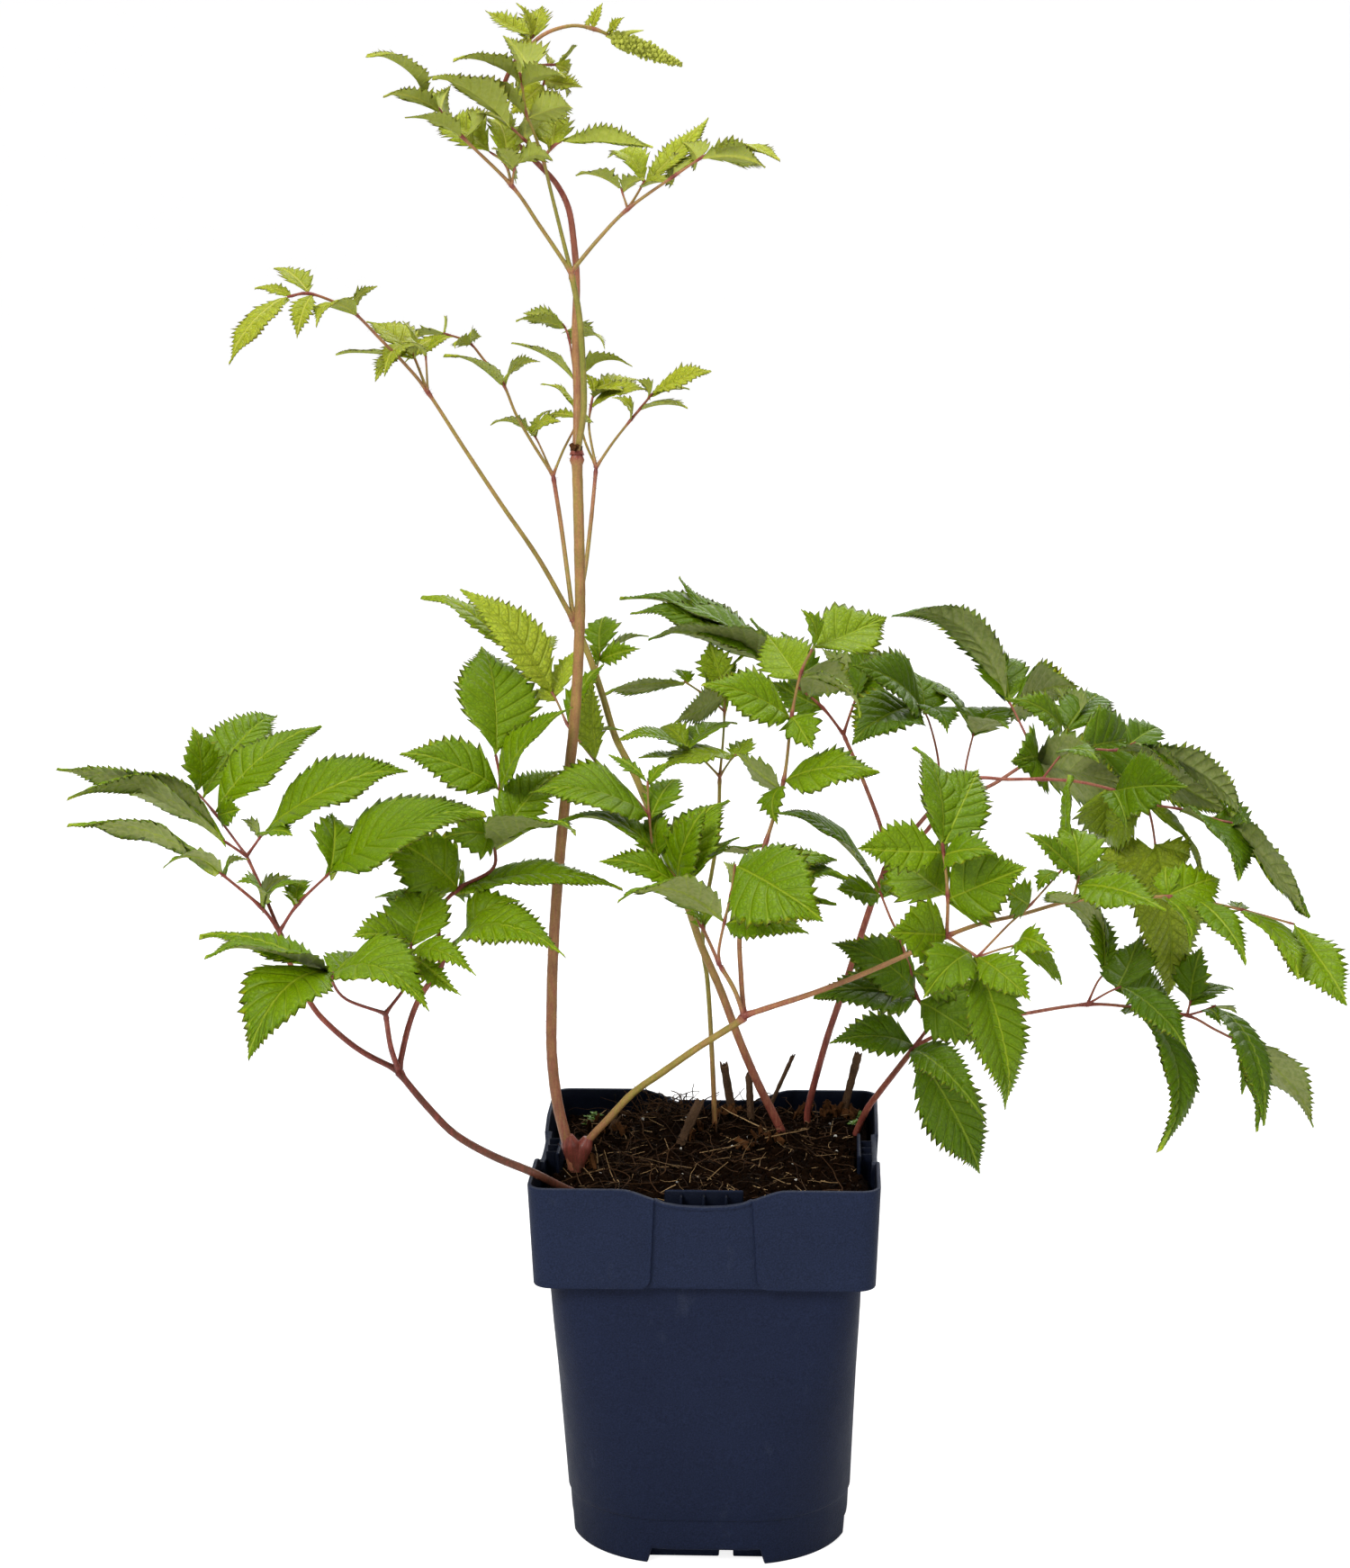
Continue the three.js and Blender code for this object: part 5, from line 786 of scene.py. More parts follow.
def blade_surface(length, width, arch, frond, crease, terminal, rng):
    """The middle surface of a blade in its own axes, with the values that its colours need."""
    rows, vein, tips, outline, pick, edge, reach, y = blade_grid(length, width, frond, terminal, rng)
    hollow = np.abs(np.sin(math.pi * vein))[:, None]
    swell = smoothstep(0.02, 0.15, rows) * (1 - smoothstep(0.8, 1, rows))
    quilt = crease * length * hollow ** 0.6 * (np.clip(edge * (1 - edge), 0, 1) ** 0.5 * 2) * swell[:, None]
    phases = rng.uniform(0, 2 * math.pi, 2)
    wave = rng.uniform(*VARY["wave"]) * length * np.sin(
        2 * math.pi * rng.uniform(*VARY["waves"]) * reach + phases[pick]) * edge ** 2
    pucker = rng.uniform(*VARY["pucker"]) * length * edge * np.sin(
        2 * math.pi * (rng.uniform(*VARY["puckers"]) * reach + phases[1 - pick]) + 4 * edge)
    slope = math.tan(math.radians(frond["fold"] + rng.uniform(*VARY["fold"])))
    rise = slope * np.abs(y) * (1 - 0.3 * edge) - rng.uniform(*VARY["roll"]) * length * edge ** 4
    arch = (arch + rng.uniform(*VARY["arch"])) * 4 * length * reach * (1 - reach)
    droop = rng.uniform(*VARY["droop"]) * length * smoothstep(0.72, 1, reach) ** 2
    z = arch + rise + wave + pucker + quilt - droop
    y = y + rng.uniform(*VARY["bow"]) * length * 4 * reach * (1 - reach)
    twist = rng.uniform(*VARY["twist"]) * (reach - 0.3)
    cos, sin = np.cos(twist), np.sin(twist)
    y, z = y * cos - (z - arch) * sin, arch + y * sin + (z - arch) * cos
    return reach * length, y, z, np.broadcast_to(vein[:, None], z.shape), edge, tips, outline


def leaflet(start, tip, turn, width, arch, frond, crease, terminal, rng):
    """Points, faces and colour values of one leaflet, closed round its thin edge."""
    length = np.linalg.norm(tip - start)
    along, across, normal = leaflet_axes(start, tip, turn)
    x, y, z, vein, edge, tips, outline = blade_surface(length, width, arch, frond, crease, terminal, rng)
    rows, columns = z.shape
    rib = 0.1 + 0.5 * (1 - x / length) ** 0.7 * min(1, length / 40)
    thick = BLADE_THICKNESS / 2 * (1 - edge ** 3) + 0.02
    upper = z + thick - 0.12 * (edge < 0.01)
    lower = z - thick - rib * np.exp(-(edge * outline[:, None] / 0.45) ** 2)
    top = np.arange(rows * columns).reshape(rows, columns)
    top[0], top[-1] = top[0, 0], top[-1, 0]
    bottom = top + rows * columns
    bottom[0], bottom[-1] = top[0], top[-1]
    bottom[:, 0], bottom[:, -1] = top[:, 0], top[:, -1]
    used, index = np.unique(np.concatenate([top.ravel(), bottom.ravel()]), return_inverse=True)
    top, bottom = index.reshape(2, rows, columns)
    height = np.concatenate([upper.ravel(), lower.ravel()])[used]
    doubled = [np.concatenate([value.ravel()] * 2)[used] for value in (x, y, vein, tips)]
    points = start + doubled[0][:, None] * along + doubled[1][:, None] * across + height[:, None] * normal
    under = (used >= rows * columns).astype(float)
    faces = grid_faces(top) + grid_faces(bottom[:, ::-1])
    values = np.stack([doubled[2], doubled[1], under, doubled[3]], 1)
    return points, faces, values


def stalk_routes(frond):
    """Full routes of a frond's stalks: each starts at a joint of the stalk that it grows from."""
    routes = {}
    for name, (_, grows_from, route) in frond["stalks"].items():
        joint = [routes[grows_from[0]][grows_from[1]]] if grows_from else []
        routes[name] = joint + [np.array(point, float) for point in route]
    return routes


def frond_leaflets(frond, routes):
    """Start, tip, turn, width, arch and whether it ends its stalk, for each leaflet of a frond."""
    taken = {}
    for stalk, joint, *leaflets in frond["leaflets"]:
        here = routes[stalk][joint]
        back = routes[stalk][joint - 1 if joint else 1] - here
        for x, y, z, turn, width, *arch in leaflets:
            order = taken.get((stalk, joint), 0)
            taken[stalk, joint] = order + 1
            reach = min(LEAFLET_PITCH * (order + LEAFLET_PITCH_START), 0.7 * np.linalg.norm(back))
            start = here + back * (reach / np.linalg.norm(back))
            ends = joint == len(routes[stalk]) - 1 and order == 0
            yield start, np.array((x, y, z), float), turn, width, (arch or [BLADE_ARCH])[0], ends


def blades(name, material):
    """All the leaflets of a frond as one mesh."""
    frond = FRONDS[name]
    tone, spread = BLADE_TONES[name]
    parts, values, tones, pales = [], [], [], []
    for i, (start, *shape, ends) in enumerate(frond_leaflets(frond, stalk_routes(frond))):
        rng = np.random.default_rng((SEED, sorted(FRONDS).index(name), i))
        pale = PALE_LEAFLETS.get(name, {}).get(i, 0.0)
        crease = CREASE * (1 - 0.6 * pale) * frond["pitch"] ** 2
        points, faces, own = leaflet(start, *shape, frond, crease, ends, rng)
        parts.append((points, faces))
        values.append(own)
        tones.append(np.full(len(points), tone + spread * rng.uniform(-0.5, 0.5)))
        pales.append(np.full(len(points), pale))
    points, faces = joined(parts)
    values = np.vstack(values)
    mesh = new_mesh(name + "_blades", points, faces, material)
    for label, column in (("vein", 0), ("across", 1), ("underside", 2), ("tooth", 3)):
        point_values(mesh, label, values[:, column])
    point_values(mesh, "tone", np.concatenate(tones))
    point_values(mesh, "pale", np.concatenate(pales))
    return linked(name + "_blades", mesh)


# ---------------------------------------------------------------- node trees for shapes
def put(tree, kind, sockets=None, **settings):
    """Adds a node. Its sockets are given numbers or other nodes' outputs."""
    made = tree.nodes.new(kind)
    for key, value in settings.items():
        setattr(made, key, value)
    for key, value in (sockets or {}).items():
        if isinstance(value, bpy.types.NodeSocket):
            tree.links.new(value, made.inputs[key])
        else:
            made.inputs[key].default_value = value
    return made


def sums(tree, operation, first, second=0.0, clamp=False):
    """The result of a sum on one or two values."""
    sockets = {0: first, 1: second}
    return put(tree, "ShaderNodeMath", sockets, operation=operation, use_clamp=clamp).outputs[0]


def shape_tree(name, inputs):
    """An empty geometry tree with named inputs, and its input node."""
    tree = bpy.data.node_groups.new(name, "GeometryNodeTree")
    tree.interface.new_socket("Geometry", in_out="INPUT", socket_type="NodeSocketGeometry")
    for label, kind, default in inputs:
        socket = tree.interface.new_socket(label, in_out="INPUT", socket_type="NodeSocket" + kind)
        if default is not None:
            socket.default_value = default
    tree.interface.new_socket("Geometry", in_out="OUTPUT", socket_type="NodeSocketGeometry")
    return tree, put(tree, "NodeGroupInput")


def finish_tree(tree, geometry, material):
    """Makes the tree's copies real, gives them their material and passes them on."""
    real = put(tree, "GeometryNodeRealizeInstances", {"Geometry": geometry})
    dressed = put(tree, "GeometryNodeSetMaterial", {"Geometry": real.outputs[0], "Material": material})
    put(tree, "NodeGroupOutput", {"Geometry": dressed.outputs[0]})
    return tree


def stalk_tree():
    """Round stalks along chains of points, as thick at each point as its radius says."""
    tree, given = shape_tree("stalks", (("Sides", "Int", 8), ("Material", "Material", None)))
    sides = given.outputs["Sides"]
    radius = put(tree, "GeometryNodeInputNamedAttribute", {"Name": "radius"}, data_type="FLOAT")
    curve = put(tree, "GeometryNodeMeshToCurve", {"Mesh": given.outputs["Geometry"]})
    section = put(tree, "GeometryNodeCurvePrimitiveCircle", {"Resolution": sides, "Radius": 1.0})
    tube = put(tree, "GeometryNodeCurveToMesh", {
        "Curve": curve.outputs[0], "Profile Curve": section.outputs[0],
        "Scale": radius.outputs[0], "Fill Caps": True,
    })
    smooth = put(tree, "GeometryNodeSetShadeSmooth", {"Geometry": tube.outputs[0]})
    return finish_tree(tree, smooth.outputs[0], given.outputs["Material"])


def random_number(tree, low, high, seed):
    """A number drawn for each copy."""
    node = put(tree, "FunctionNodeRandomValue", {2: low, 3: high, "Seed": seed}, data_type="FLOAT")
    return node.outputs[1]


def tilted(tree, rotation, lean):
    """A rotation tilted by chance, and the more so the greater the lean."""
    chance = put(tree, "FunctionNodeRandomValue", {0: (-1, -1, -1), 1: (1, 1, 1), "Seed": 11},
                 data_type="FLOAT_VECTOR")
    leaning = put(tree, "ShaderNodeVectorMath", {0: chance.outputs[0]}, operation="SCALE")
    tree.links.new(lean, leaning.inputs["Scale"])
    turned = put(tree, "FunctionNodeEulerToRotation", {"Euler": leaning.outputs[0]})
    sockets = {"Rotation": rotation, "Rotate By": turned.outputs[0]}
    return put(tree, "FunctionNodeRotateRotation", sockets, rotation_space="LOCAL").outputs[0]


def varied_scale(tree, given):
    """The width, width and length of a copy, each varied by chance."""
    least = sums(tree, "SUBTRACT", 1.0, given["Variation"])
    most = sums(tree, "ADD", 1.0, given["Variation"])
    size = [random_number(tree, least, most, seed) for seed in (3, 5, 7)]
    stretch = put(tree, "ShaderNodeCombineXYZ", {"X": size[0], "Y": size[1], "Z": size[2]})
    width, length = given["Width"], given["Length"]
    base = put(tree, "ShaderNodeCombineXYZ", {"X": width, "Y": width, "Z": length})
    sockets = {0: stretch.outputs[0], 1: base.outputs[0]}
    return put(tree, "ShaderNodeVectorMath", sockets, operation="MULTIPLY").outputs[0]


def scatter_tree(name, pointed):
    """Hairs or lumps set on a surface: as many as its density says, each turned and sized by chance."""
    tree, entry = shape_tree(name, (
        ("Density", "Float", 1000.0), ("Length", "Float", 0.001), ("Width", "Float", 0.001),
        ("Variation", "Float", 0.5), ("Lean", "Float", 0.5),
        ("Seed", "Int", 1), ("Material", "Material", None),
    ))
    given = entry.outputs
    amount = put(tree, "GeometryNodeInputNamedAttribute", {"Name": "amount"}, data_type="FLOAT")
    spots = put(tree, "GeometryNodeDistributePointsOnFaces", {
        "Mesh": given["Geometry"], "Seed": given["Seed"],
        "Density": sums(tree, "MULTIPLY", amount.outputs[0], given["Density"]),
    })
    if pointed:
        shape = put(tree, "GeometryNodeMeshCone", {
            "Vertices": 3, "Side Segments": 1, "Radius Top": 0.0, "Radius Bottom": 1.0, "Depth": 1.0,
        })
    else:
        shape = put(tree, "GeometryNodeMeshIcoSphere", {"Radius": 1.0, "Subdivisions": 1})
    placed = put(tree, "GeometryNodeInstanceOnPoints", {
        "Points": spots.outputs["Points"], "Instance": shape.outputs["Mesh"],
        "Rotation": tilted(tree, spots.outputs["Rotation"], given["Lean"]),
        "Scale": varied_scale(tree, given),
    })
    return finish_tree(tree, placed.outputs[0], given["Material"])


def grown(name, base, tree, settings):
    """The plain mesh that a shape tree makes from a base mesh, as a new object."""
    source = linked(name + "_base", base)
    modifier = source.modifiers.new("shape", "NODES")
    modifier.node_group = tree
    for socket in tree.interface.items_tree:
        if socket.in_out == "INPUT" and socket.name in settings:
            modifier[socket.identifier] = settings[socket.name]
    graph = bpy.context.evaluated_depsgraph_get()
    mesh = bpy.data.meshes.new_from_object(
        source.evaluated_get(graph), preserve_all_data_layers=True, depsgraph=graph)
    source.modifiers.remove(modifier)
    bpy.data.objects.remove(source)
    mesh.name = name
    return linked(name, mesh)


def chains(name, strands):
    """A mesh of open chains of points. A strand is its points and the values that each point has."""
    points, edges, first = [], [], 0
    for strand, _ in strands:
        points.append(strand)
        edges += [(first + i, first + i + 1) for i in range(len(strand) - 1)]
        first += len(strand)
    mesh = bpy.data.meshes.new(name)
    mesh.from_pydata((np.vstack(points) * MM).tolist(), edges, [])
    for label in strands[0][1]:
        values = np.concatenate([np.broadcast_to(value[label], len(strand)) for strand, value in strands])
        point_values(mesh, label, values * (MM if label == "radius" else 1))
    return mesh


# ---------------------------------------------------------------- stalks
def stalk_strands(name):
    """The strands of a frond's stalks, swollen and redder at the joints where things grow from them."""
    frond = FRONDS[name]
    routes = stalk_routes(frond)
    joints = {stalk: {0} for stalk in routes}
    for stalk, (_, grows_from, _) in frond["stalks"].items():
        if grows_from:
            joints[grows_from[0]].add(grows_from[1])
    for stalk, joint, *_ in frond["leaflets"]:
        joints[stalk].add(joint)
    for stalk, (radii, grows_from, _) in frond["stalks"].items():
        points, marks = smooth_route(routes[stalk], STALK_SPACING)
        along = lengths_along(points)
        share = along / along[-1]
        swell = np.zeros(len(points))
        for joint in joints[stalk]:
            if joint or grows_from:
                swell = np.maximum(swell, np.exp(-((along - along[marks[joint]]) / SWELL_REACH) ** 2))
        radius = radii[0] + (radii[1] - radii[0]) * share
        knot = np.random.default_rng((SEED, len(points)))
        radius = radius * (1 + (SWELL_THIN + SWELL_THICK * smoothstep(0.8, 1.5, radius)) * swell)
        radius = radius * (1 + 0.015 * knot.standard_normal(len(points)))
        radius[-1] *= 0.6
        tint = TINTS.get(name + "." + stalk, TINTS[name])
        red = np.interp(share, np.linspace(0, 1, len(tint)), tint)
        red = np.maximum(red, np.minimum(red + 0.5 * swell, 1.02))
        yield points, {"radius": radius, "red": red, "amount": 0.05 + swell * (radius < THICKEST_HAIRY)}


def stalks(name, tree, material):
    """All the stalks of a frond as one mesh."""
    base = chains(name + "_chains", list(stalk_strands(name)))
    return grown(name + "_stalks", base, tree, {"Sides": STALK_SIDES, "Material": material})


def scattered(name, base, tree, material, values):
    """Hairs or lumps on a base, with their density, length, width, variation, lean and seed."""
    density, length, width, variation, lean, seed = values
    return grown(name, base, tree, {
        "Density": density, "Length": length * MM, "Width": width * MM, "Variation": variation,
        "Lean": lean, "Seed": seed, "Material": material,
    })


def stalk_hairs(fuzzy, tree, material):
    """Short hairs over the joints of all the stalks."""
    parts = []
    for piece in fuzzy:
        amount = np.empty(len(piece.data.vertices), np.float32)
        piece.data.attributes["amount"].data.foreach_get("value", amount)
        places = [[c / MM for c in vertex.co] for vertex in piece.data.vertices]
        parts.append((places, [tuple(face.vertices) for face in piece.data.polygons], amount))
    points, faces = joined([part[:2] for part in parts])
    base = new_mesh("hair_base", points, faces)
    point_values(base, "amount", np.concatenate([part[2] for part in parts]))
    return scattered("joint_hairs", base, tree, material, HAIRS)


def sheath_strands():
    """The glossy red foot that the tall stem and the centre leaf share, which forks where they part."""
    for end, radii in SHEATH_BRANCHES:
        points, _ = smooth_route([*SHEATH_FOOT, end], SHEATH_SPACING)
        share = np.linspace(0, 1, len(points))
        radius = np.interp(share, SHEATH_PLACES, radii)
        red = np.interp(share, SHEATH_RED_PLACES, SHEATH_REDS)
        yield points, {"radius": radius, "red": red, "amount": 0.1}


def stem_foot(tree, material):
    """The red sheath at the foot of the tall stem."""
    base = chains("sheath_chains", list(sheath_strands()))
    return grown("stem_foot", base, tree, {"Sides": SHEATH_SIDES, "Material": material})


# ---------------------------------------------------------------- the flower bud
def bud_lumps(base, tip, radius, count, size, rng):
    """Centres, sizes and tilts of the closed flowers packed round a tapering spike."""
    axis = (tip - base) / np.linalg.norm(tip - base)
    side = np.cross(axis, (0, 0, 1))
    side /= np.linalg.norm(side)
    over = np.cross(side, axis)
    for i in range(count):
        share = (i + 0.5) / count
        reach = radius * np.sin(math.pi * (0.12 + 0.86 * share ** 0.75)) ** 0.8 * rng.uniform(0.75, 1.1)
        angle = i * GOLDEN_ANGLE
        out = side * math.cos(angle) + over * math.sin(angle)
        place = base + (tip - base) * share + out * reach
        yield place, out + 0.3 * axis, size * (1.15 - 0.5 * share) * rng.uniform(0.7, 1.2)


def bud_tree():
    """Closed flowers: an egg at each point, turned along its own direction and as large as its size."""
    tree, given = shape_tree("bud flowers", (("Material", "Material", None),))
    points = put(tree, "GeometryNodeMeshToPoints", {"Mesh": given.outputs["Geometry"]})
    egg = put(tree, "GeometryNodeMeshIcoSphere", {"Radius": 1.0, "Subdivisions": 2})
    longer = put(tree, "GeometryNodeTransform", {"Geometry": egg.outputs["Mesh"], "Scale": FLOWER_SHAPE})
    outward = put(tree, "GeometryNodeInputNamedAttribute", {"Name": "outward"}, data_type="FLOAT_VECTOR")
    turned = put(tree, "FunctionNodeAlignRotationToVector", {"Vector": outward.outputs[0]}, axis="Z")
    size = put(tree, "GeometryNodeInputNamedAttribute", {"Name": "size"}, data_type="FLOAT")
    placed = put(tree, "GeometryNodeInstanceOnPoints", {
        "Points": points.outputs[0], "Instance": longer.outputs[0],
        "Rotation": turned.outputs[0], "Scale": size.outputs[0],
    })
    return finish_tree(tree, placed.outputs[0], given.outputs["Material"])


def flower_bud(material):
    """A spike of closed flowers, with short side spikes that stand out of it."""
    rng = np.random.default_rng((SEED, 7))
    base, tip = (np.array(end) for end in BUD_ROUTE)
    lumps = list(bud_lumps(base, tip, *BUD_SPIKE, rng))
    axis = (tip - base) / np.linalg.norm(tip - base)
    for i in range(SIDE_SPIKES):
        share = SIDE_START + SIDE_STEP * i
        foot = base + (tip - base) * share
        out = np.cross(axis, (math.cos(i * GOLDEN_ANGLE), 0, math.sin(i * GOLDEN_ANGLE)))
        end = foot + (0.8 * out + 0.8 * axis) * (6 - 3.6 * share) * rng.uniform(0.7, 1.1)
        lumps += bud_lumps(foot, end, *SIDE_SPIKE, rng)
    mesh = bpy.data.meshes.new("bud_points")
    mesh.from_pydata((np.array([place for place, _, _ in lumps]) * MM).tolist(), [], [])
    outward = mesh.attributes.new("outward", "FLOAT_VECTOR", "POINT")
    outward.data.foreach_set("vector", np.array([out for _, out, _ in lumps], np.float32).ravel())
    point_values(mesh, "size", [size * MM for _, _, size in lumps])
    return grown("flower_bud_flowers", mesh, bud_tree(), {"Material": material})


def bud_core(tree, material):
    """The spike's own stalk under its flowers."""
    base, tip = (np.array(end) for end in BUD_ROUTE)
    main, _ = smooth_route([base - (1.5, 0, 0.3), base, (base + tip) / 2, tip], 1)
    side, _ = smooth_route([base, base + (5, -1.5, 1.2), base + (9.5, -2.5, 1.8)], 1)
    strands = []
    for points, thick in ((main, BUD_STALK), (side, SIDE_STALK)):
        share = np.linspace(0, 1, len(points))
        radius = thick * np.interp(share, (0, 0.2, 0.6, 1), (0.5, 1, 0.8, 0.15))
        strands.append((points, {"radius": radius, "red": 0.1}))
    settings = {"Sides": STALK_SIDES, "Material": material}
    return grown("flower_bud_core", chains("bud_chains", strands), tree, settings)


# ---------------------------------------------------------------- old stubs
def stub_part(radius, route, rng):
    """A dry hollow stub: fluted outside, torn at its top, with a hole down its middle."""
    points, _ = smooth_route(route, 1.2)
    angles = np.arange(STUB_SIDES) * 2 * math.pi / STUB_SIDES
    flutes = 1 + 0.1 * np.sin(angles * 4 + rng.uniform(0, 6)) + rng.uniform(-0.06, 0.06, STUB_SIDES)
    torn = rng.uniform(-1.6, 0.9, STUB_SIDES)
    last = points[-1]
    direction = (points[-1] - points[-2]) / np.linalg.norm(points[-1] - points[-2])
    side = np.cross(direction, (0, 1, 0.2))
    side /= np.linalg.norm(side)
    over = np.cross(direction, side)
    ring = np.cos(angles)[:, None] * side + np.sin(angles)[:, None] * over
    rings = []
    for i, centre in enumerate(points):
        share = i / (len(points) - 1)
        swell = 1.25 - 0.25 * smoothstep(0, 0.5, share) + 0.06 * rng.standard_normal()
        rings.append(centre + ring * (radius * swell * flutes)[:, None])
    rings[-1] = rings[-1] + direction * torn[:, None]
    rings.append(last + ring * (radius * 0.62 * flutes)[:, None] + direction * (torn * 0.7)[:, None])
    rings.append(last + ring * radius * 0.5 - direction * 3)
    return capped_rings(rings, points[0], last - direction * 3.2)


def old_stubs(material):
    """The dry stumps of last year's stems."""
    parts = [stub_part(radius, route, np.random.default_rng((SEED, 20, i)))
             for i, (radius, route) in enumerate(STUBS)]
    points, faces = joined(parts)
    return linked("old_stubs", new_mesh("old_stubs", points, faces, material, sharp=STUB_CREASE))


# ---------------------------------------------------------------- the pot
def ray_reach(tangent, half, corner):
    """How far a rounded square reaches along rays, given by the tangent of their angle off a face."""
    angle = np.arctan(np.abs(tangent))
    x, y = np.sin(angle), np.cos(angle)
    flat = half / y
    centre = half - corner
    along = (x + y) * centre
    arc = along + np.sqrt(np.maximum(along ** 2 - (2 * centre ** 2 - corner ** 2), 0))
    return np.where(half * np.tan(angle) <= centre, flat, arc)


def body_level(z):
    """Half width and corner radius of the pot's body at a height."""
    heights, halves, corners = zip(*BODY)
    return np.interp(z, heights, halves), np.interp(z, heights, corners)


def collar_level(z):
    """Half width of the pot's collar at a height."""
    share = (z - COLLAR_FOOT) / (POT_HEIGHT - COLLAR_FOOT)
    return COLLAR_FOOT_HALF + share * (RIM_HALF - COLLAR_FOOT_HALF)


def pot_columns():
    """Places of the columns across one side of the pot, from corner to corner."""
    places = list(POT_COLUMNS)
    return np.array([-x for x in places[:0:-1]] + places + [POT_DIAGONAL], float)


def panel_edge(z):
    """Half width of the sunken panel, which flares at its foot round the raised corners."""
    drop = np.clip(COLLAR_FOOT + PANEL_CORNER - z, 0, PANEL_CORNER)
    flare = PANEL_TAPER * (COLLAR_FOOT + 5 - z)
    return PANEL_HALF + flare + PANEL_CORNER - np.sqrt(PANEL_CORNER ** 2 - drop ** 2)


def wall_ring(columns, z, half, corner, warp, sunk):
    """One ring round the pot. Its columns lean to follow the panel's edge, and its panels are sunk."""
    x = columns.copy()
    if warp:
        pull = np.clip(1 - np.abs(np.abs(x) - PANEL_HALF) / 9, 0, 1)
        x = np.sign(x) * (np.abs(x) + (panel_edge(np.max(z)) - PANEL_HALF) * pull)
    tangent = x / POT_DIAGONAL
    angle = np.arctan(tangent)
    reach = ray_reach(tangent, half, corner)
    side = np.stack([reach * np.sin(angle), -reach * np.cos(angle) + sunk], 1)
    ring = []
    for quarter in range(4):
        turn = quarter * math.pi / 2
        cos, sin = math.cos(turn), math.sin(turn)
        ring.append(np.stack([
            side[:, 0] * cos - side[:, 1] * sin, side[:, 0] * sin + side[:, 1] * cos,
            np.broadcast_to(z, len(x)),
        ], 1))
    return np.vstack(ring)


def floor_ring(columns, z, share, inset):
    """A ring on the pot's underside or floor, a share of the way from its middle to its edge."""
    half, corner = body_level(z)
    return wall_ring(columns, z + 0 * columns, share * (half - inset), share * (corner - inset), False, 0)


def body_ring(columns, z, inset):
    """A ring round the body, which may wave up and down."""
    z = z + 0 * columns
    half, corner = body_level(np.mean(z))
    return wall_ring(columns, z, half - inset, corner - inset, False, 0)


def collar_ring(columns, z, inset, sunk=1, warp=True):
    """A ring round the collar, with a share of its panels' depth."""
    z = z + 0 * columns
    panel = sunk * PANEL_DEPTH * (np.abs(columns) < PANEL_HALF)
    return wall_ring(columns, z, collar_level(np.mean(z)) - inset, COLLAR_CORNER - inset, warp, panel)


def body_outside(columns, foot):
    """Rings of the underside, the foot and the body, up to the collar."""
    inset = WALL + FOOT_INSET
    yield from (floor_ring(columns, FLOOR_UNDERSIDE, share, inset) for share in FLOOR_SHARES)
    yield body_ring(columns, np.maximum(foot + 0.4, 2.5), inset)
    yield from (body_ring(columns, foot + rise, inset) for rise, inset in FOOT_EDGE)
    for share in FOOT_SHARES:
        yield body_ring(columns, foot + 0.4 + share * (SEAM_HEIGHT - 0.55 - foot), 0)
    yield from (body_ring(columns, SEAM_HEIGHT + rise, inset) for rise, inset in SEAM_EDGE)
    yield from (body_ring(columns, z, 0) for z in BODY_HEIGHTS)


def collar_outside(columns, rim):
    """Rings of the collar, from its foot up over the rim."""
    for rise, inset, sunk in COLLAR_EDGE:
        yield collar_ring(columns, COLLAR_FOOT + rise, inset, sunk)
    low, high = COLLAR_FOOT + COLLAR_EDGE[-1][0], rim - COLLAR_END
    yield from (collar_ring(columns, low + share * (high - low), 0) for share in COLLAR_SHARES)
    yield from (collar_ring(columns, rim - drop, inset, sunk) for drop, inset, sunk in RIM_EDGE)


def pot_inside(columns, rim):
    """Rings of the pot's inner side, from the rim down to the middle of the floor."""
    low, high = LEDGE_TOP + 0.3, rim - INNER_END
    for share in INNER_SHARES:
        yield collar_ring(columns, low + share * (high - low), WALL, 1, False)
    yield collar_ring(columns, LEDGE_TOP, WALL + 1.5, 0.5, False)
    yield from (body_ring(columns, z, WALL) for z in INNER_HEIGHTS)
    yield from (floor_ring(columns, FLOOR_TOP, share, WALL) for share in FLOOR_SHARES[-2::-1])


def pot_shell(material):
    """The moulded shell: outer wall from rim to foot, inner wall, floor and underside."""
    columns = pot_columns()
    width = np.abs(columns)
    rim = POT_HEIGHT - DIP_DEPTH * (1 - smoothstep(DIP_FLAT_HALF, DIP_HALF, width))
    rim -= DIP_SAG * np.clip(1 - (width / DIP_SAG_HALF) ** 2, 0, 1)
    foot = NOTCH_HEIGHT * np.clip((NOTCH_COLUMN - width) / 2, 0, 1)
    rings = [*body_outside(columns, foot), *collar_outside(columns, rim), *pot_inside(columns, rim)]
    points, faces = capped_rings(rings, (0, 0, FLOOR_UNDERSIDE), (0, 0, FLOOR_TOP))
    return linked("pot_shell", new_mesh("pot_shell", points, faces, material, sharp=POT_CREASE))


def soft_box(low, high, bevel):
    """Points and faces of a box with rounded edges."""
    low, high = np.array(low, float), np.array(high, float)
    middle, flat = (low + high) / 2, (high - low) / 2 - bevel
    turns = np.linspace(0, math.pi / 2, 3)
    rings = []
    for rise in (-turns[2], -turns[1], -0.0, 0.0, turns[1], turns[2]):
        ring = []
        level = math.cos(rise)
        for quarter, (x, y) in enumerate(CORNERS):
            for turn in turns + quarter * math.pi / 2:
                out = np.array((level * math.cos(turn), level * math.sin(turn), math.sin(rise)))
                ring.append(middle + flat * (x, y, math.copysign(1, rise)) + bevel * out)
        rings.append(ring)
    reach = (0, 0, (high[2] - low[2]) / 2)
    return capped_rings(rings, middle - reach, middle + reach)


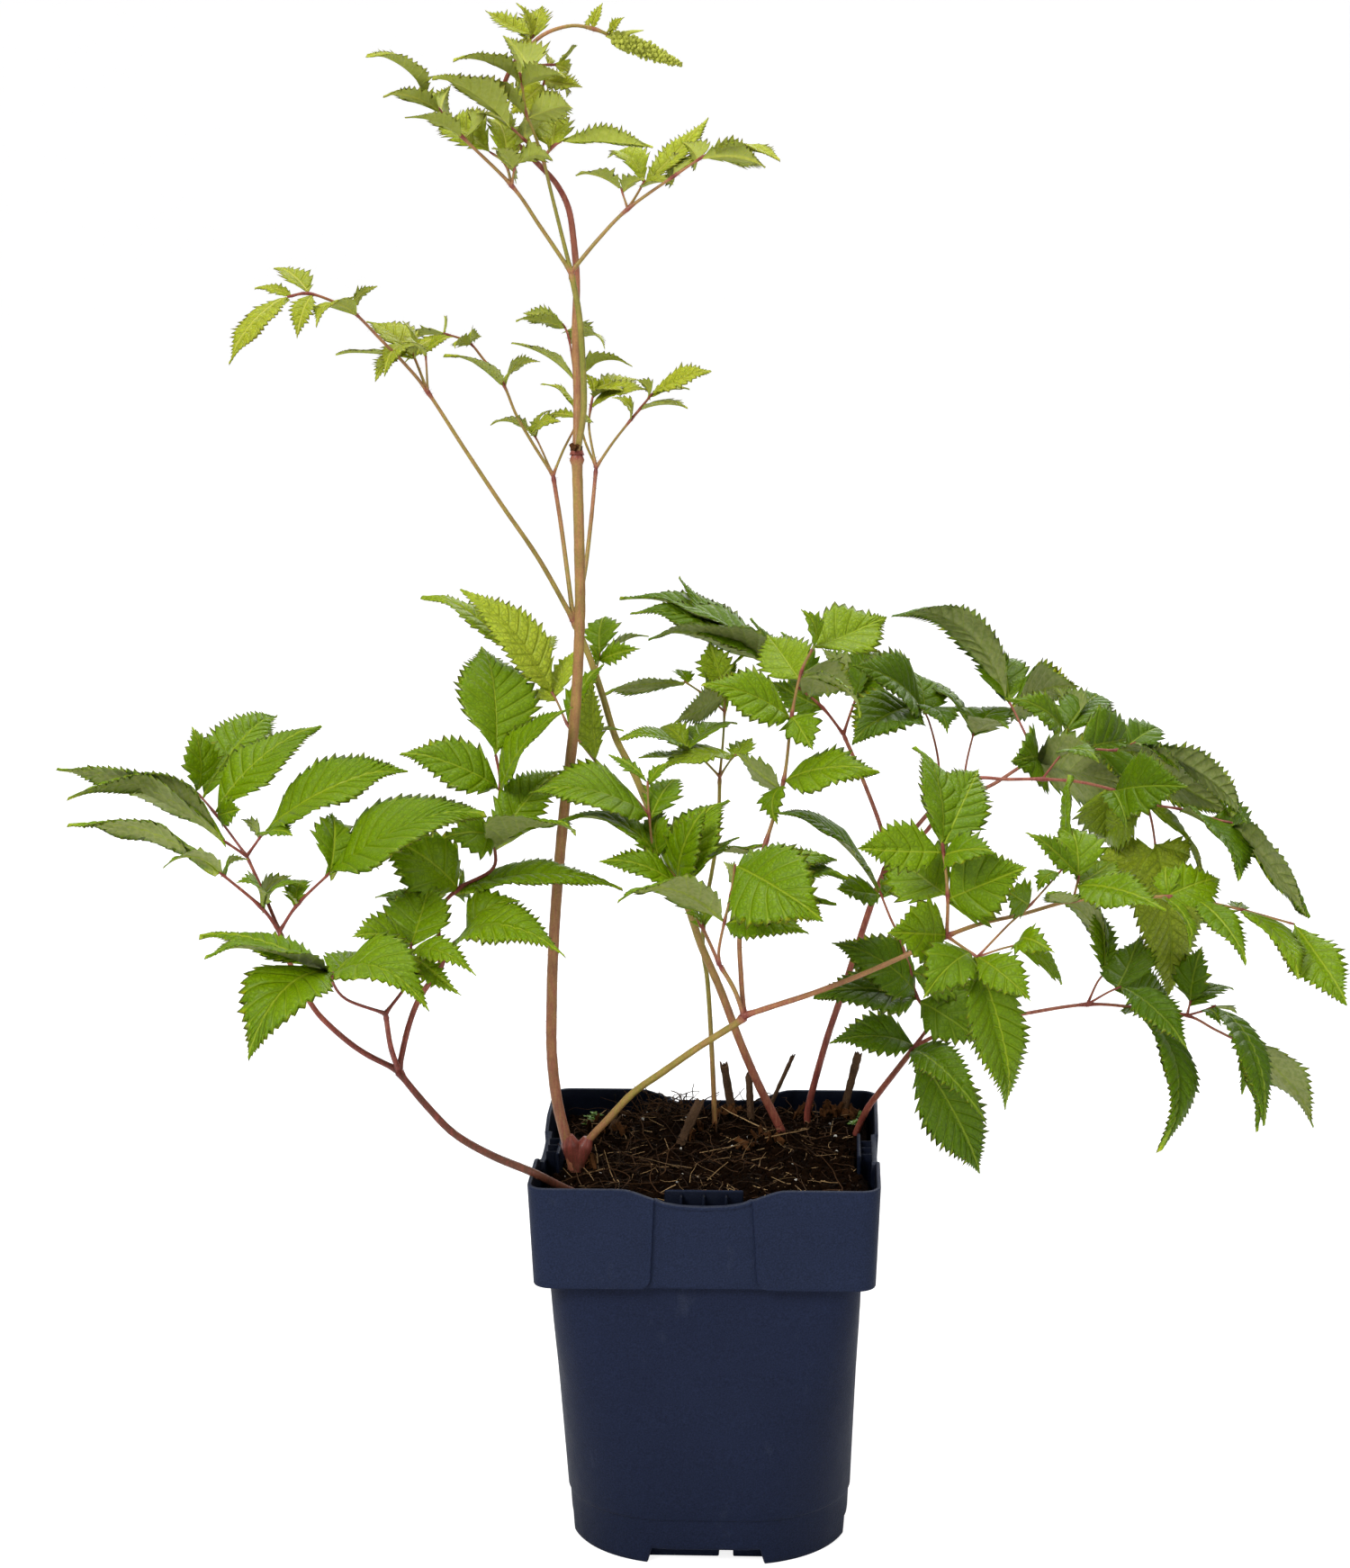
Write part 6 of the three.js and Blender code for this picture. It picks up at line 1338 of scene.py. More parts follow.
def four_sides(parts):
    """Parts made for the front of the pot, once for each of its sides."""
    points, faces = joined(parts)
    sides = []
    for quarter in range(4):
        turn = Matrix.Rotation(quarter * math.pi / 2, 3, "Z")
        sides.append((points @ np.array(turn).T, faces))
    return sides


def pot_pockets(material):
    """The label pocket behind each dip of the rim: a plate with three ribs in front of it."""
    parts = [soft_box(*POCKET_PLATE, PLATE_BEVEL)]
    for x in POCKET_RIBS:
        parts.append(soft_box(*(np.array(corner) + (x, 0, 0) for corner in POCKET_RIB), RIB_BEVEL))
    points, faces = joined(four_sides(parts))
    mesh = new_mesh("pot_pockets", points, faces, material, sharp=BOX_CREASE)
    # painted shade on the plate and its ribs, which stand in shadow, and less of it along the plate's top
    # edge as a painted highlight
    lit_top_edge = points[:, 2] > POCKET_PLATE[1][2] - 0.4
    point_values(mesh, "inside", np.where(lit_top_edge, 0.4, 0.9))
    return linked("pot_pockets", mesh)


def pot_feet(material):
    """The blocks that stand in behind each cut-out of the foot, and the middle one."""
    sides = four_sides([soft_box(*block, BLOCK_BEVEL) for block in FOOT_BLOCKS])
    points, faces = joined(sides + [soft_box(*MIDDLE_BLOCK, BLOCK_BEVEL)])
    return linked("pot_feet", new_mesh("pot_feet", points, faces, material, sharp=BOX_CREASE))


def drill_pot(shell):
    """Four round drain holes through the floor."""
    parts = []
    angles = np.arange(DRILL_SIDES) * 2 * math.pi / DRILL_SIDES
    ring = np.stack([np.cos(angles), np.sin(angles), 0 * angles], 1) * DRAIN_RADIUS
    for x, y in CORNERS:
        middle = np.array((x * DRAIN_OFFSET, y * DRAIN_OFFSET, 0.0))
        foot, head = middle + (0, 0, DRILL_FOOT), middle + (0, 0, DRILL_HEAD)
        parts.append(capped_rings([ring + foot, ring + head], foot, head))
    tool = linked("drills", new_mesh("drills", *joined(parts)))
    cut = shell.modifiers.new("drain holes", "BOOLEAN")
    cut.object, cut.operation, cut.solver = tool, "DIFFERENCE", "MANIFOLD"
    graph = bpy.context.evaluated_depsgraph_get()
    mesh = bpy.data.meshes.new_from_object(shell.evaluated_get(graph), depsgraph=graph)
    shell.modifiers.remove(cut)
    shell.data = mesh
    bpy.data.objects.remove(tool)


def mark_painted_light(mesh):
    """Marks the inner side of the pot's wall, darkened by painted shade, and its rim, lightened by a
    painted highlight where it faces up.
    """
    points = np.array([tuple(vertex.co) for vertex in mesh.vertices]) / MM
    across = np.sort(np.abs(points[:, :2]), axis=1)
    z = points[:, 2]
    half, corner = body_level(z)
    high = z > COLLAR_FOOT
    half = np.where(high, collar_level(z), half)
    corner = np.where(high, COLLAR_CORNER, corner)
    reach = ray_reach(across[:, 0] / np.maximum(across[:, 1], 1e-9), half, corner)
    sunk = PANEL_DEPTH * (high & (across[:, 0] < panel_edge(z) + 0.3))
    depth = reach - np.hypot(*across.T) - sunk
    # painted shade: 1 well inside the wall's outer face, above the floor
    point_values(mesh, "inside", smoothstep(0.35, 0.95, depth) * (z > FLOOR_TOP - 0.1))
    facing_up = np.array([vertex.normal.z for vertex in mesh.vertices])
    # painted highlight on the faces above the soil that look up
    point_values(mesh, "rim", smoothstep(0.15, 0.6, facing_up) * (z > SOIL_LEVEL))


# ---------------------------------------------------------------- the soil and what lies on it
def soil_height(x, y):
    """Height of the soil without its crumbs: a low mound, higher round the plant's crown."""
    mound = SOIL_MOUND * (1 - (x * x + y * y) / (2 * RIM_HALF * RIM_HALF))
    off_x, off_y = (x - CROWN_X) / CROWN_REACH_X, (y - CROWN_Y) / CROWN_REACH_Y
    crown = CROWN_HEIGHT * math.exp(-off_x ** 2 - off_y ** 2)
    rough = noise.fractal(Vector((x / ROUGH_SIZE, y / ROUGH_SIZE, 3.1)), 1.0, 2.1, 5)
    return SOIL_LEVEL + mound + crown + ROUGH_HEIGHT * rough


def soil_spot(u, v):
    """The point of the soil's top at a place on a square from -1 to 1 each way."""
    ring = max(abs(u), abs(v), 1e-9)
    tangent = min(abs(u), abs(v)) / ring
    reach = float(ray_reach(tangent, SOIL_HALF, COLLAR_CORNER - WALL))
    scale = ring * reach / math.hypot(u, v) if u or v else 0
    x, y = u * scale, v * scale
    crumb = noise.fractal(Vector((x / CRUMB_SIZE, y / CRUMB_SIZE, 0)), 0.8, 2.0, 3)
    z = soil_height(x, y) + CRUMB_HEIGHT * crumb
    z -= 1.5 * smoothstep(0.955, 1, ring)
    for across, out in ((x, abs(y)), (y, abs(x))):
        if abs(across) < POCKET_HALF and out > POCKET_FACE:
            z = SOIL_LEVEL - POCKET_DROP
    return x, y, z


def border(index):
    """The numbers round the edge of a table, in order."""
    return np.concatenate([index[0, :-1], index[:-1, -1], index[-1, :0:-1], index[:0:-1, 0]])


def soil_bed(material):
    """The body of soil: a finely uneven top on a block that fills the pot."""
    places = np.linspace(-1, 1, SOIL_GRID)
    points = [soil_spot(u, v) for v in places for u in places]
    top = np.arange(len(points)).reshape(SOIL_GRID, SOIL_GRID)
    edge = border(top)
    outer = np.array([points[i] for i in edge])[:, :2]
    short, long = np.sort(np.abs(outer), axis=1).T
    directions = outer / np.linalg.norm(outer, axis=1)[:, None]
    levels = [(LEDGE_TOP + SOIL_GAP, 50.9, 4.7)]
    for z in (LEDGE_TOP + 0.3, 60, 15.4, FLOOR_TOP + 0.3):
        half, corner = body_level(z)
        levels.append((z, half - WALL - SOIL_GAP, corner - WALL - SOIL_GAP))
    rings = [edge]
    for z, half, corner in levels:
        reach = ray_reach(short / long, half, corner)
        rings.append(np.arange(len(points), len(points) + len(edge)))
        points += [(x, y, z) for x, y in directions * reach[:, None]]
    rings.append(np.full(len(edge), len(points)))
    points.append((0, 0, FLOOR_TOP + 0.3))
    faces = grid_faces(top) + grid_faces(np.array(rings[::-1]), closed=True)
    return linked("soil_bed", new_mesh("soil_bed", points, faces, material))


def clear_of_pockets(x, y):
    """1 where lumps may lie, and 0 over the label pockets."""
    out, across = max(abs(x), abs(y)), min(abs(x), abs(y))
    return 0.0 if out > LUMP_FREE_FACE and across < LUMP_FREE_HALF else 1.0


def soil_lumps(name, tree, material):
    """Lumps of peat or perlite, scattered over the top of the soil away from the label pockets."""
    places = np.linspace(-LUMP_HALF, LUMP_HALF, LUMP_GRID)
    points = [(x, y, soil_height(x, y) + 0.2) for y in places for x in places]
    index = np.arange(len(points)).reshape(LUMP_GRID, LUMP_GRID)
    base = new_mesh(name + "_top", points, grid_faces(index))
    point_values(base, "amount", [clear_of_pockets(x, y) for x, y, _ in points])
    *sizes, seed = LUMPS[name]
    return scattered(name, base, tree, material, (*sizes, LUMP_LEAN, seed))


def strewn(count, long, bend, thick, rng):
    """Strands that lie loosely on the soil: each a bent chain, at a random place and heading."""
    strands = []
    while len(strands) < count:
        x, y = rng.uniform(-STREWN_HALF, STREWN_HALF, 2)
        length = rng.uniform(*long)
        heading = rng.uniform(0, 2 * math.pi)
        steps = max(4, int(length / 2))
        point = np.array([x, y, soil_height(x, y) + rng.uniform(*STREWN_LIFT)])
        tilt = rng.normal(0, STREWN_RISE)
        points = [point]
        for _ in range(steps):
            heading += rng.normal(0, bend)
            step = length / steps
            ahead = points[-1] + np.array([math.cos(heading), math.sin(heading), tilt]) * step
            ahead[2] = max(ahead[2], soil_height(ahead[0], ahead[1]) - 0.2 + 0.3 * rng.random())
            tilt += rng.normal(0, 0.5 * bend)
            points.append(ahead)
        points = np.array(points)
        if np.abs(points[:, :2]).max() > STREWN_HALF + 2.5 or points[:, 2].max() > STREWN_TOP:
            continue
        smooth, _ = smooth_route(points, 1.4)
        share = np.linspace(0, 1, len(smooth))
        radius = rng.uniform(*thick) * (1 - 0.55 * share)
        strands.append((smooth, {"radius": radius, "shade": rng.random()}))
    return strands


def root_tuft(foot, count, rng):
    """Curly roots that stand up out of the soil."""
    strands = []
    for _ in range(count):
        points = [foot + rng.normal(0, 1, 3) * (6, 3, 1)]
        heading, curl = rng.normal((0, 0, 0.6), 1), rng.normal(0, 0.4, 3)
        for _ in range(8):
            heading = heading + curl + rng.normal(0, 0.3, 3)
            heading /= np.linalg.norm(heading)
            points.append(points[-1] + 1.5 * heading)
        points = np.clip(points, *TUFT_BOX)
        smooth, _ = smooth_route(points, 1)
        radius = rng.uniform(0.14, 0.34) * np.linspace(1, 0.5, len(smooth))
        strands.append((smooth, {"radius": radius, "shade": rng.random()}))
    return strands


def litter(tree, straw, root):
    """Straw over the whole top, and finer dark roots."""
    rng = np.random.default_rng((SEED, 31))
    straws = [strand for kind in STRAWS for strand in strewn(*kind, rng)]
    roots = strewn(*ROOTS, rng)
    for place, count in TUFTS:
        roots += root_tuft(np.array(place), count, rng)
    for name, strands, material in (("straw_fibres", straws, straw), ("root_threads", roots, root)):
        settings = {"Sides": STRAND_SIDES, "Material": material}
        yield grown(name, chains(name + "_chains", strands), tree, settings)


def flake_part(centre, size, heading, lean, rng):
    """A curled scrap of bark or old sheath with a torn edge."""
    u, v = np.meshgrid(np.linspace(-1, 1, FLAKE_COLUMNS), np.linspace(-1, 1, FLAKE_ROWS))
    ragged = (1 - 0.45 * v * v) * (1 + rng.uniform(-0.15, 0.15, u.shape) * (np.abs(u) > 0.99))
    curl = rng.uniform(0.8, 2.2)
    x = u * ragged * size[0]
    y = v * ragged * size[1]
    z = curl * size[0] * (1 - u * u) + 0.25 * size[1] * rng.uniform(-1, 1) * v * v
    z = z + rng.normal(0, 0.12, u.shape)
    flat = np.stack([x, y, z], 2).reshape(-1, 3)
    turn = Matrix.Rotation(heading, 3, "Z") @ Matrix.Rotation(lean, 3, "X")
    turn = turn @ Matrix.Rotation(rng.uniform(-0.5, 0.5), 3, "Y")
    turned = flat @ np.array(turn).T + centre
    normal = np.array(turn) @ np.array((0, 0, 1.0))
    top = np.arange(len(flat)).reshape(FLAKE_ROWS, FLAKE_COLUMNS)
    bottom = top + len(flat)
    sides = grid_faces(np.array([border(bottom), border(top)]), closed=True)
    points = np.vstack([turned + normal * FLAKE_HALF_THICK, turned - normal * FLAKE_HALF_THICK])
    return points, grid_faces(top) + grid_faces(bottom[:, ::-1]) + sides


def bark_flakes(material):
    """Heaps of bark and old sheath."""
    rng = np.random.default_rng((SEED, 44))
    parts = []
    for (x, y), spread, count, upright in FLAKE_HEAPS:
        for _ in range(count):
            place = np.clip(rng.normal((x, y), spread * 0.5), -FLAKE_AREA, FLAKE_AREA)
            size = rng.uniform(*FLAKE_HALF_WIDTH), rng.uniform(*FLAKE_HALF_LENGTH)
            centre = np.array([*place, soil_height(*place) + 0.5 + size[1] * 0.7 * math.sin(upright * 0.9)])
            lean = upright * rng.uniform(0.6, 1.4)
            parts.append(flake_part(centre, size, rng.uniform(0, 2 * math.pi), lean, rng))
    points, faces = joined(parts)
    return linked("bark_flakes", new_mesh("bark_flakes", points, faces, material))


def node_sheaths(material):
    """Dry curled sheaths round the tall stem's upper node."""
    rng = np.random.default_rng((SEED, 47))
    node = np.array(FRONDS["flower_stem"]["stalks"]["stem"][2][-1])
    parts = []
    for _ in range(NODE_SHEATHS):
        centre = node + rng.normal(0, 1, 3) * (1.6, 1.2, 1.6) + (0, -1.5, 1)
        size = (0.55, rng.uniform(1.2, 2.4))
        parts.append(flake_part(centre, size, rng.uniform(0, 2 * math.pi), rng.uniform(0.8, 2), rng))
    return linked("node_sheaths", new_mesh("node_sheaths", *joined(parts), material))


def seedling_part(foot, heading, size):
    """A tiny seed leaf: a thin egg-shaped pad on the soil."""
    u = np.linspace(0, 1, SEEDLING_COLUMNS)
    wide = size * 0.42 * np.sin(math.pi * u ** 0.8)
    rise = size * (0.5 * u - 0.25 * u * u)
    points = []
    cos, sin = math.cos(heading), math.sin(heading)
    for side in (-1, 0, 1):
        for i, share in enumerate(u):
            out, across = size * share, side * wide[i]
            z = rise[i] + 0.12 * size * abs(side)
            points.append((out * cos - across * sin, out * sin + across * cos, z))
    upper = np.array(points) + foot
    index = np.arange(len(points)).reshape(3, SEEDLING_COLUMNS)
    index[:, 0], index[:, -1] = index[0, 0], index[0, -1]
    lower = index + len(points)
    lower[:, 0], lower[:, -1] = index[:, 0], index[:, -1]
    lower[0], lower[-1] = index[0], index[-1]
    everything = np.vstack([upper, upper - (0, 0, SEEDLING_THICKNESS)])
    faces = grid_faces(index[::-1]) + grid_faces(lower)
    used, numbers = np.unique([corner for face in faces for corner in face], return_inverse=True)
    sizes = np.cumsum([len(face) for face in faces])[:-1]
    return everything[used], [tuple(face) for face in np.split(numbers, sizes)]


def moss(material):
    """Green seedlings and moss in two corners of the soil."""
    rng = np.random.default_rng((SEED, 52))
    parts = []
    for (x, y), spread, count in MOSS_SPOTS:
        for _ in range(count):
            place = np.clip(rng.normal((x, y), spread), -MOSS_AREA, MOSS_AREA)
            foot = np.array([*place, soil_height(*place) + rng.uniform(0.4, 2.5)])
            start = rng.uniform(0, 2 * math.pi)
            for i in range(SEEDLING_LEAVES):
                heading = start + i * 2 * math.pi / SEEDLING_LEAVES + rng.normal(0, 0.2)
                parts.append(seedling_part(foot, heading, rng.uniform(0.8, 1.7)))
    points, faces = joined(parts)
    return linked("moss_leaves", new_mesh("moss_leaves", points, faces, material))


# ---------------------------------------------------------------- finishes
def shader_group(name, inputs, outputs):
    """An empty shader group with named inputs and outputs, its input node and its output node."""
    tree = bpy.data.node_groups.new(name, "ShaderNodeTree")
    for label, kind, default in inputs:
        socket = tree.interface.new_socket(label, in_out="INPUT", socket_type="NodeSocket" + kind)
        if default is not None:
            socket.default_value = default
    for label, kind in outputs:
        tree.interface.new_socket(label, in_out="OUTPUT", socket_type="NodeSocket" + kind)
    return tree, put(tree, "NodeGroupInput").outputs, put(tree, "NodeGroupOutput").inputs


def blended(tree, amount, first, second):
    """One colour turning into another as the amount grows from 0 to 1."""
    return put(tree, "ShaderNodeMix", {0: amount, 6: first, 7: second}, data_type="RGBA").outputs[2]


def strongest(tree, *values):
    """The largest of several values."""
    most = values[0]
    for value in values[1:]:
        most = sums(tree, "MAXIMUM", most, value)
    return most


def times(tree, value, factor):
    """A value times a number or another value."""
    return sums(tree, "MULTIPLY", value, factor)


def ranged(tree, value, low, high, start=0.0, end=1.0, **settings):
    """The value's place between low and high, as a number from start to end."""
    sockets = {0: value, 1: low, 2: high, 3: start, 4: end}
    return put(tree, "ShaderNodeMapRange", sockets, **settings).outputs[0]


def stored(tree, name):
    """A value that the mesh keeps for its points."""
    return put(tree, "ShaderNodeAttribute", attribute_name=name).outputs["Fac"]


def object_place(tree, stretch=(1.0, 1.0, 1.0)):
    """The place on the object, drawn out where the stretch is small."""
    place = put(tree, "ShaderNodeTexCoord").outputs["Object"]
    return put(tree, "ShaderNodeMapping", {"Vector": place, "Scale": stretch}).outputs[0]


def cloud(tree, place, size, detail=3.0, roughness=0.55):
    """Soft noise whose features are about as large as the size, in metres."""
    return put(tree, "ShaderNodeTexNoise", {
        "Vector": place, "Scale": 1 / size, "Detail": detail, "Roughness": roughness,
    }).outputs[0]


def mottle_group():
    """Uneven colour and a fine grain, for every finish: how blotchy, how specked and how rough."""
    tree, given, out = shader_group(
        "mottle",
        (("Color", "Color", None), ("Blotch Size", "Float", 0.02), ("Blotches", "Float", 0.3),
         ("Grain Size", "Float", 0.001), ("Grain", "Float", 0.3)),
        (("Color", "Color"), ("Grain Height", "Float")),
    )
    place = put(tree, "ShaderNodeTexCoord").outputs["Object"]
    broad = put(tree, "ShaderNodeTexNoise", {"Vector": place, "Detail": 4.0})
    tree.links.new(sums(tree, "DIVIDE", 1.0, given["Blotch Size"]), broad.inputs["Scale"])
    fine = put(tree, "ShaderNodeTexNoise", {"Vector": place, "Detail": 3.0, "Roughness": 0.6})
    tree.links.new(sums(tree, "DIVIDE", 1.0, given["Grain Size"]), fine.inputs["Scale"])
    shift = sums(tree, "MULTIPLY", sums(tree, "SUBTRACT", broad.outputs[0], 0.5), given["Blotches"])
    speck = sums(tree, "MULTIPLY", sums(tree, "SUBTRACT", fine.outputs[0], 0.5), given["Grain"])
    value = sums(tree, "ADD", sums(tree, "ADD", shift, speck), 1.0)
    tone = put(tree, "ShaderNodeHueSaturation", {"Color": given["Color"]})
    tree.links.new(value, tone.inputs["Value"])
    tree.links.new(tone.outputs[0], out["Color"])
    tree.links.new(fine.outputs[0], out["Grain Height"])
    return tree


def blade_lines(tree, place):
    """How strong the midrib, side veins, minor veins and the net between them are at a point, and how
    far it is from the nearest side vein and from the net."""
    across, vein = stored(tree, "across"), stored(tree, "vein")
    midrib = ranged(tree, sums(tree, "ABSOLUTE", across), *MIDRIB_REACH)
    off = sums(tree, "ABSOLUTE", sums(tree, "SUBTRACT", vein, sums(tree, "ROUND", vein)))
    side = ranged(tree, off, *SIDE_VEIN_REACH)
    half_off = sums(tree, "ABSOLUTE", sums(tree, "SUBTRACT", off, 0.5))
    minor = times(tree, ranged(tree, half_off, *MINOR_VEIN_REACH), 0.45)
    bent = put(tree, "ShaderNodeTexNoise", {"Vector": place, "Scale": 500.0, "Detail": 1.0})
    warped = put(tree, "ShaderNodeMix", {0: 0.0012, 4: place, 5: bent.outputs["Color"]}, data_type="VECTOR")
    net = put(tree, "ShaderNodeTexVoronoi", {"Vector": warped.outputs[1], "Scale": NET_SCALE},
              feature="DISTANCE_TO_EDGE").outputs["Distance"]
    mesh = times(tree, ranged(tree, net, 0.14, 0.02), 0.35)
    return midrib, side, minor, mesh, off, net


def blade_face(tree, given, pale, depth, fleck, midrib, side, mesh, off):
    """The colour of a blade's upper face, with painted shade in its grooves."""
    face = blended(tree, depth, given["Light"], given["Deep"])
    # paler leaflets: on the right leaf painted light from behind, elsewhere young blades
    face = blended(tree, pale, face, PALE_FACE)
    face = blended(tree, ranged(tree, fleck, 0.35, 0.65, 0, 0.22), face, given["Deep"])
    # painted shade: darker bands beside the side veins and along the net's creases, in the groove colour
    beside_vein_shade = times(tree, ranged(tree, off, 0.14, 0.03), 0.24)
    face = blended(tree, strongest(tree, beside_vein_shade, times(tree, mesh, 1.2)), face, given["Groove Shade"])
    lit = strongest(tree, times(tree, midrib, 0.6), times(tree, side, 0.3))
    return blended(tree, lit, face, given["Vein"])


def blade_back(tree, given, pale, depth, place, midrib, side, minor, mesh):
    """The colour of a blade's underside."""
    back = blended(tree, times(tree, depth, 0.22), given["Under"], given["Deep"])
    back = blended(tree, pale, back, PALE_UNDER)
    lines = times(tree, strongest(tree, side, minor, mesh), 0.45)
    back = blended(tree, strongest(tree, times(tree, midrib, 0.6), lines), back, given["Vein"])
    specks = ranged(tree, cloud(tree, place, 0.0014, 1.0), 0.42, 0.62, 0, 0.3)
    return blended(tree, specks, back, given["Deep"])


def blade_group():
    """A leaf's surface: midrib, side veins, the net between them, tooth tips and underside."""
    tree, given, out = shader_group(
        "blade",
        [(label, "Color", None) for label in ("Light", "Deep", "Groove Shade", "Vein", "Under", "Flush")]
        + [("Flush Reach", "Float", 0.6)],
        (("Color", "Color"), ("Height", "Float"), ("Roughness", "Float")),
    )
    under, tooth, pale = stored(tree, "underside"), stored(tree, "tooth"), stored(tree, "pale")
    place = put(tree, "ShaderNodeTexCoord").outputs["Object"]
    broad, fleck = cloud(tree, place, 0.03), cloud(tree, place, 0.0012, 2.0)
    midrib, side, minor, mesh, off, net = blade_lines(tree, place)
    depth = sums(tree, "ADD", stored(tree, "tone"), ranged(tree, broad, 0.3, 0.7, -0.35, 0.35), clamp=True)
    face = blade_face(tree, given, pale, depth, fleck, midrib, side, mesh, off)
    back = blade_back(tree, given, pale, depth, place, midrib, side, minor, mesh)
    color = blended(tree, under, face, back)
    reach = sums(tree, "SUBTRACT", 1.0, given["Flush Reach"])
    color = blended(tree, times(tree, ranged(tree, tooth, reach, 1.0), 0.95), color, given["Flush"])
    groove = ranged(tree, off, 0.2, 0.0, interpolation_type="SMOOTHSTEP")
    cell = ranged(tree, net, 0.3, 0.0, end=0.32, interpolation_type="SMOOTHSTEP")
    sunk = times(tree, strongest(tree, midrib, groove, cell), ranged(tree, under, 0, 1, -1, 0.4))
    height = sums(tree, "ADD", sunk, times(tree, fleck, 0.4))
    rough = sums(tree, "ADD", ranged(tree, broad, 0.3, 0.7, *BLADE_GLOSS), times(tree, under, 0.2))
    tree.links.new(color, out["Color"])
    tree.links.new(height, out["Height"])
    tree.links.new(rough, out["Roughness"])
    return tree


def surface(name, roughness, specular):
    """A new material with its Principled shader."""
    material = bpy.data.materials.new(name)
    material.use_nodes = True
    tree = material.node_tree
    shader = tree.nodes["Principled BSDF"]
    shader.inputs["Roughness"].default_value = roughness
    shader.inputs["Specular IOR Level"].default_value = specular
    return material, tree, shader


def relief(tree, shader, height, depth):
    """Bump from a height, as deep as it says, in metres."""
    bump = put(tree, "ShaderNodeBump", {"Height": height, "Distance": depth, "Strength": 1.0})
    tree.links.new(bump.outputs[0], shader.inputs["Normal"])


def blade_finish(group, name, light, deep, vein, under, flush, reach):
    """A leaf's finish, soft enough to let light through."""
    material, tree, shader = surface(name, BLADE_ROUGHNESS, BLADE_SPECULAR)
    shader.inputs["Specular Tint"].default_value = BLADE_SHEEN_TINT
    leaf = put(tree, "ShaderNodeGroup", node_tree=group)
    # the groove colour is painted shade: the deep colour darkened
    groove = [0.55 * part for part in deep]
    for label, value in (("Light", light), ("Deep", deep), ("Groove Shade", groove), ("Vein", vein),
                         ("Under", under), ("Flush", flush)):
        leaf.inputs[label].default_value = (*value, 1)
    leaf.inputs["Flush Reach"].default_value = reach
    tree.links.new(leaf.outputs["Color"], shader.inputs["Base Color"])
    tree.links.new(leaf.outputs["Roughness"], shader.inputs["Roughness"])
    relief(tree, shader, leaf.outputs["Height"], BLADE_RELIEF * MM)
    shader.inputs["Subsurface Weight"].default_value = BLADE_LIGHT_SHARE
    shader.inputs["Subsurface Radius"].default_value = BLADE_LIGHT_REACH
    shader.inputs["Subsurface Scale"].default_value = BLADE_LIGHT_DEPTH * MM
    return material


def mottled(tree, group, color, blotch, blotches, grain, grains):
    """The mottle group with its values, on a plain colour or another node's colour."""
    made = put(tree, "ShaderNodeGroup", node_tree=group)
    if isinstance(color, bpy.types.NodeSocket):
        tree.links.new(color, made.inputs["Color"])
    else:
        made.inputs["Color"].default_value = (*color, 1)
    values = {"Blotch Size": blotch * MM, "Blotches": blotches, "Grain Size": grain * MM, "Grain": grains}
    for label, value in values.items():
        made.inputs[label].default_value = value
    return made


def plain_finish(name, group):
    """A finish of one colour, with the blotches and grain of its material."""
    color, roughness, *mottle, depth, specular = PLAIN_FINISHES[name]
    material, tree, shader = surface(name, roughness, specular)
    made = mottled(tree, group, color, *mottle)
    grain = made.outputs["Grain Height"]
    rough = ranged(tree, grain, 0.3, 0.7, roughness - 0.06, roughness + 0.06)
    tree.links.new(made.outputs["Color"], shader.inputs["Base Color"])
    tree.links.new(rough, shader.inputs["Roughness"])
    relief(tree, shader, grain, depth * MM)
    return material


def stalk_finish(group):
    """Stalks run from green through tan to red, with lengthwise streaks."""
    material, tree, shader = surface("stalk_skin", 0.38, 0.28)
    red = stored(tree, "red")
    place = object_place(tree, (1.0, 1.0, 0.12))
    streak = cloud(tree, place, 0.0007, 2.0)
    shade = sums(tree, "ADD", red, ranged(tree, streak, 0.3, 0.7, -0.13, 0.13))
    ramp = put(tree, "ShaderNodeValToRGB", {0: sums(tree, "DIVIDE", shade, REDDEST)})
    elements = ramp.color_ramp.elements
    elements[1].position = 1
    for share, _ in STALK_STOPS[1:-1]:
        elements.new(share)
    for element, (_, color) in zip(elements, STALK_STOPS):
        element.color = (*color, 1)
    made = mottled(tree, group, ramp.outputs[0], 6, 0.9, 0.6, 0.8)
    tree.links.new(made.outputs["Color"], shader.inputs["Base Color"])
    relief(tree, shader, streak, 0.08 * MM)
    return material


def shaded_finish(name, group):
    """A dry finish whose pieces differ in shade."""
    pale, dark, roughness = SHADED_FINISHES[name]
    material, tree, shader = surface(name, roughness, 0.1)
    color = blended(tree, stored(tree, "shade"), (*pale, 1), (*dark, 1))
    made = mottled(tree, group, color, 4, 0.6, 0.5, 0.6)
    tree.links.new(made.outputs["Color"], shader.inputs["Base Color"])
    relief(tree, shader, made.outputs["Grain Height"], 0.1 * MM)
    return material


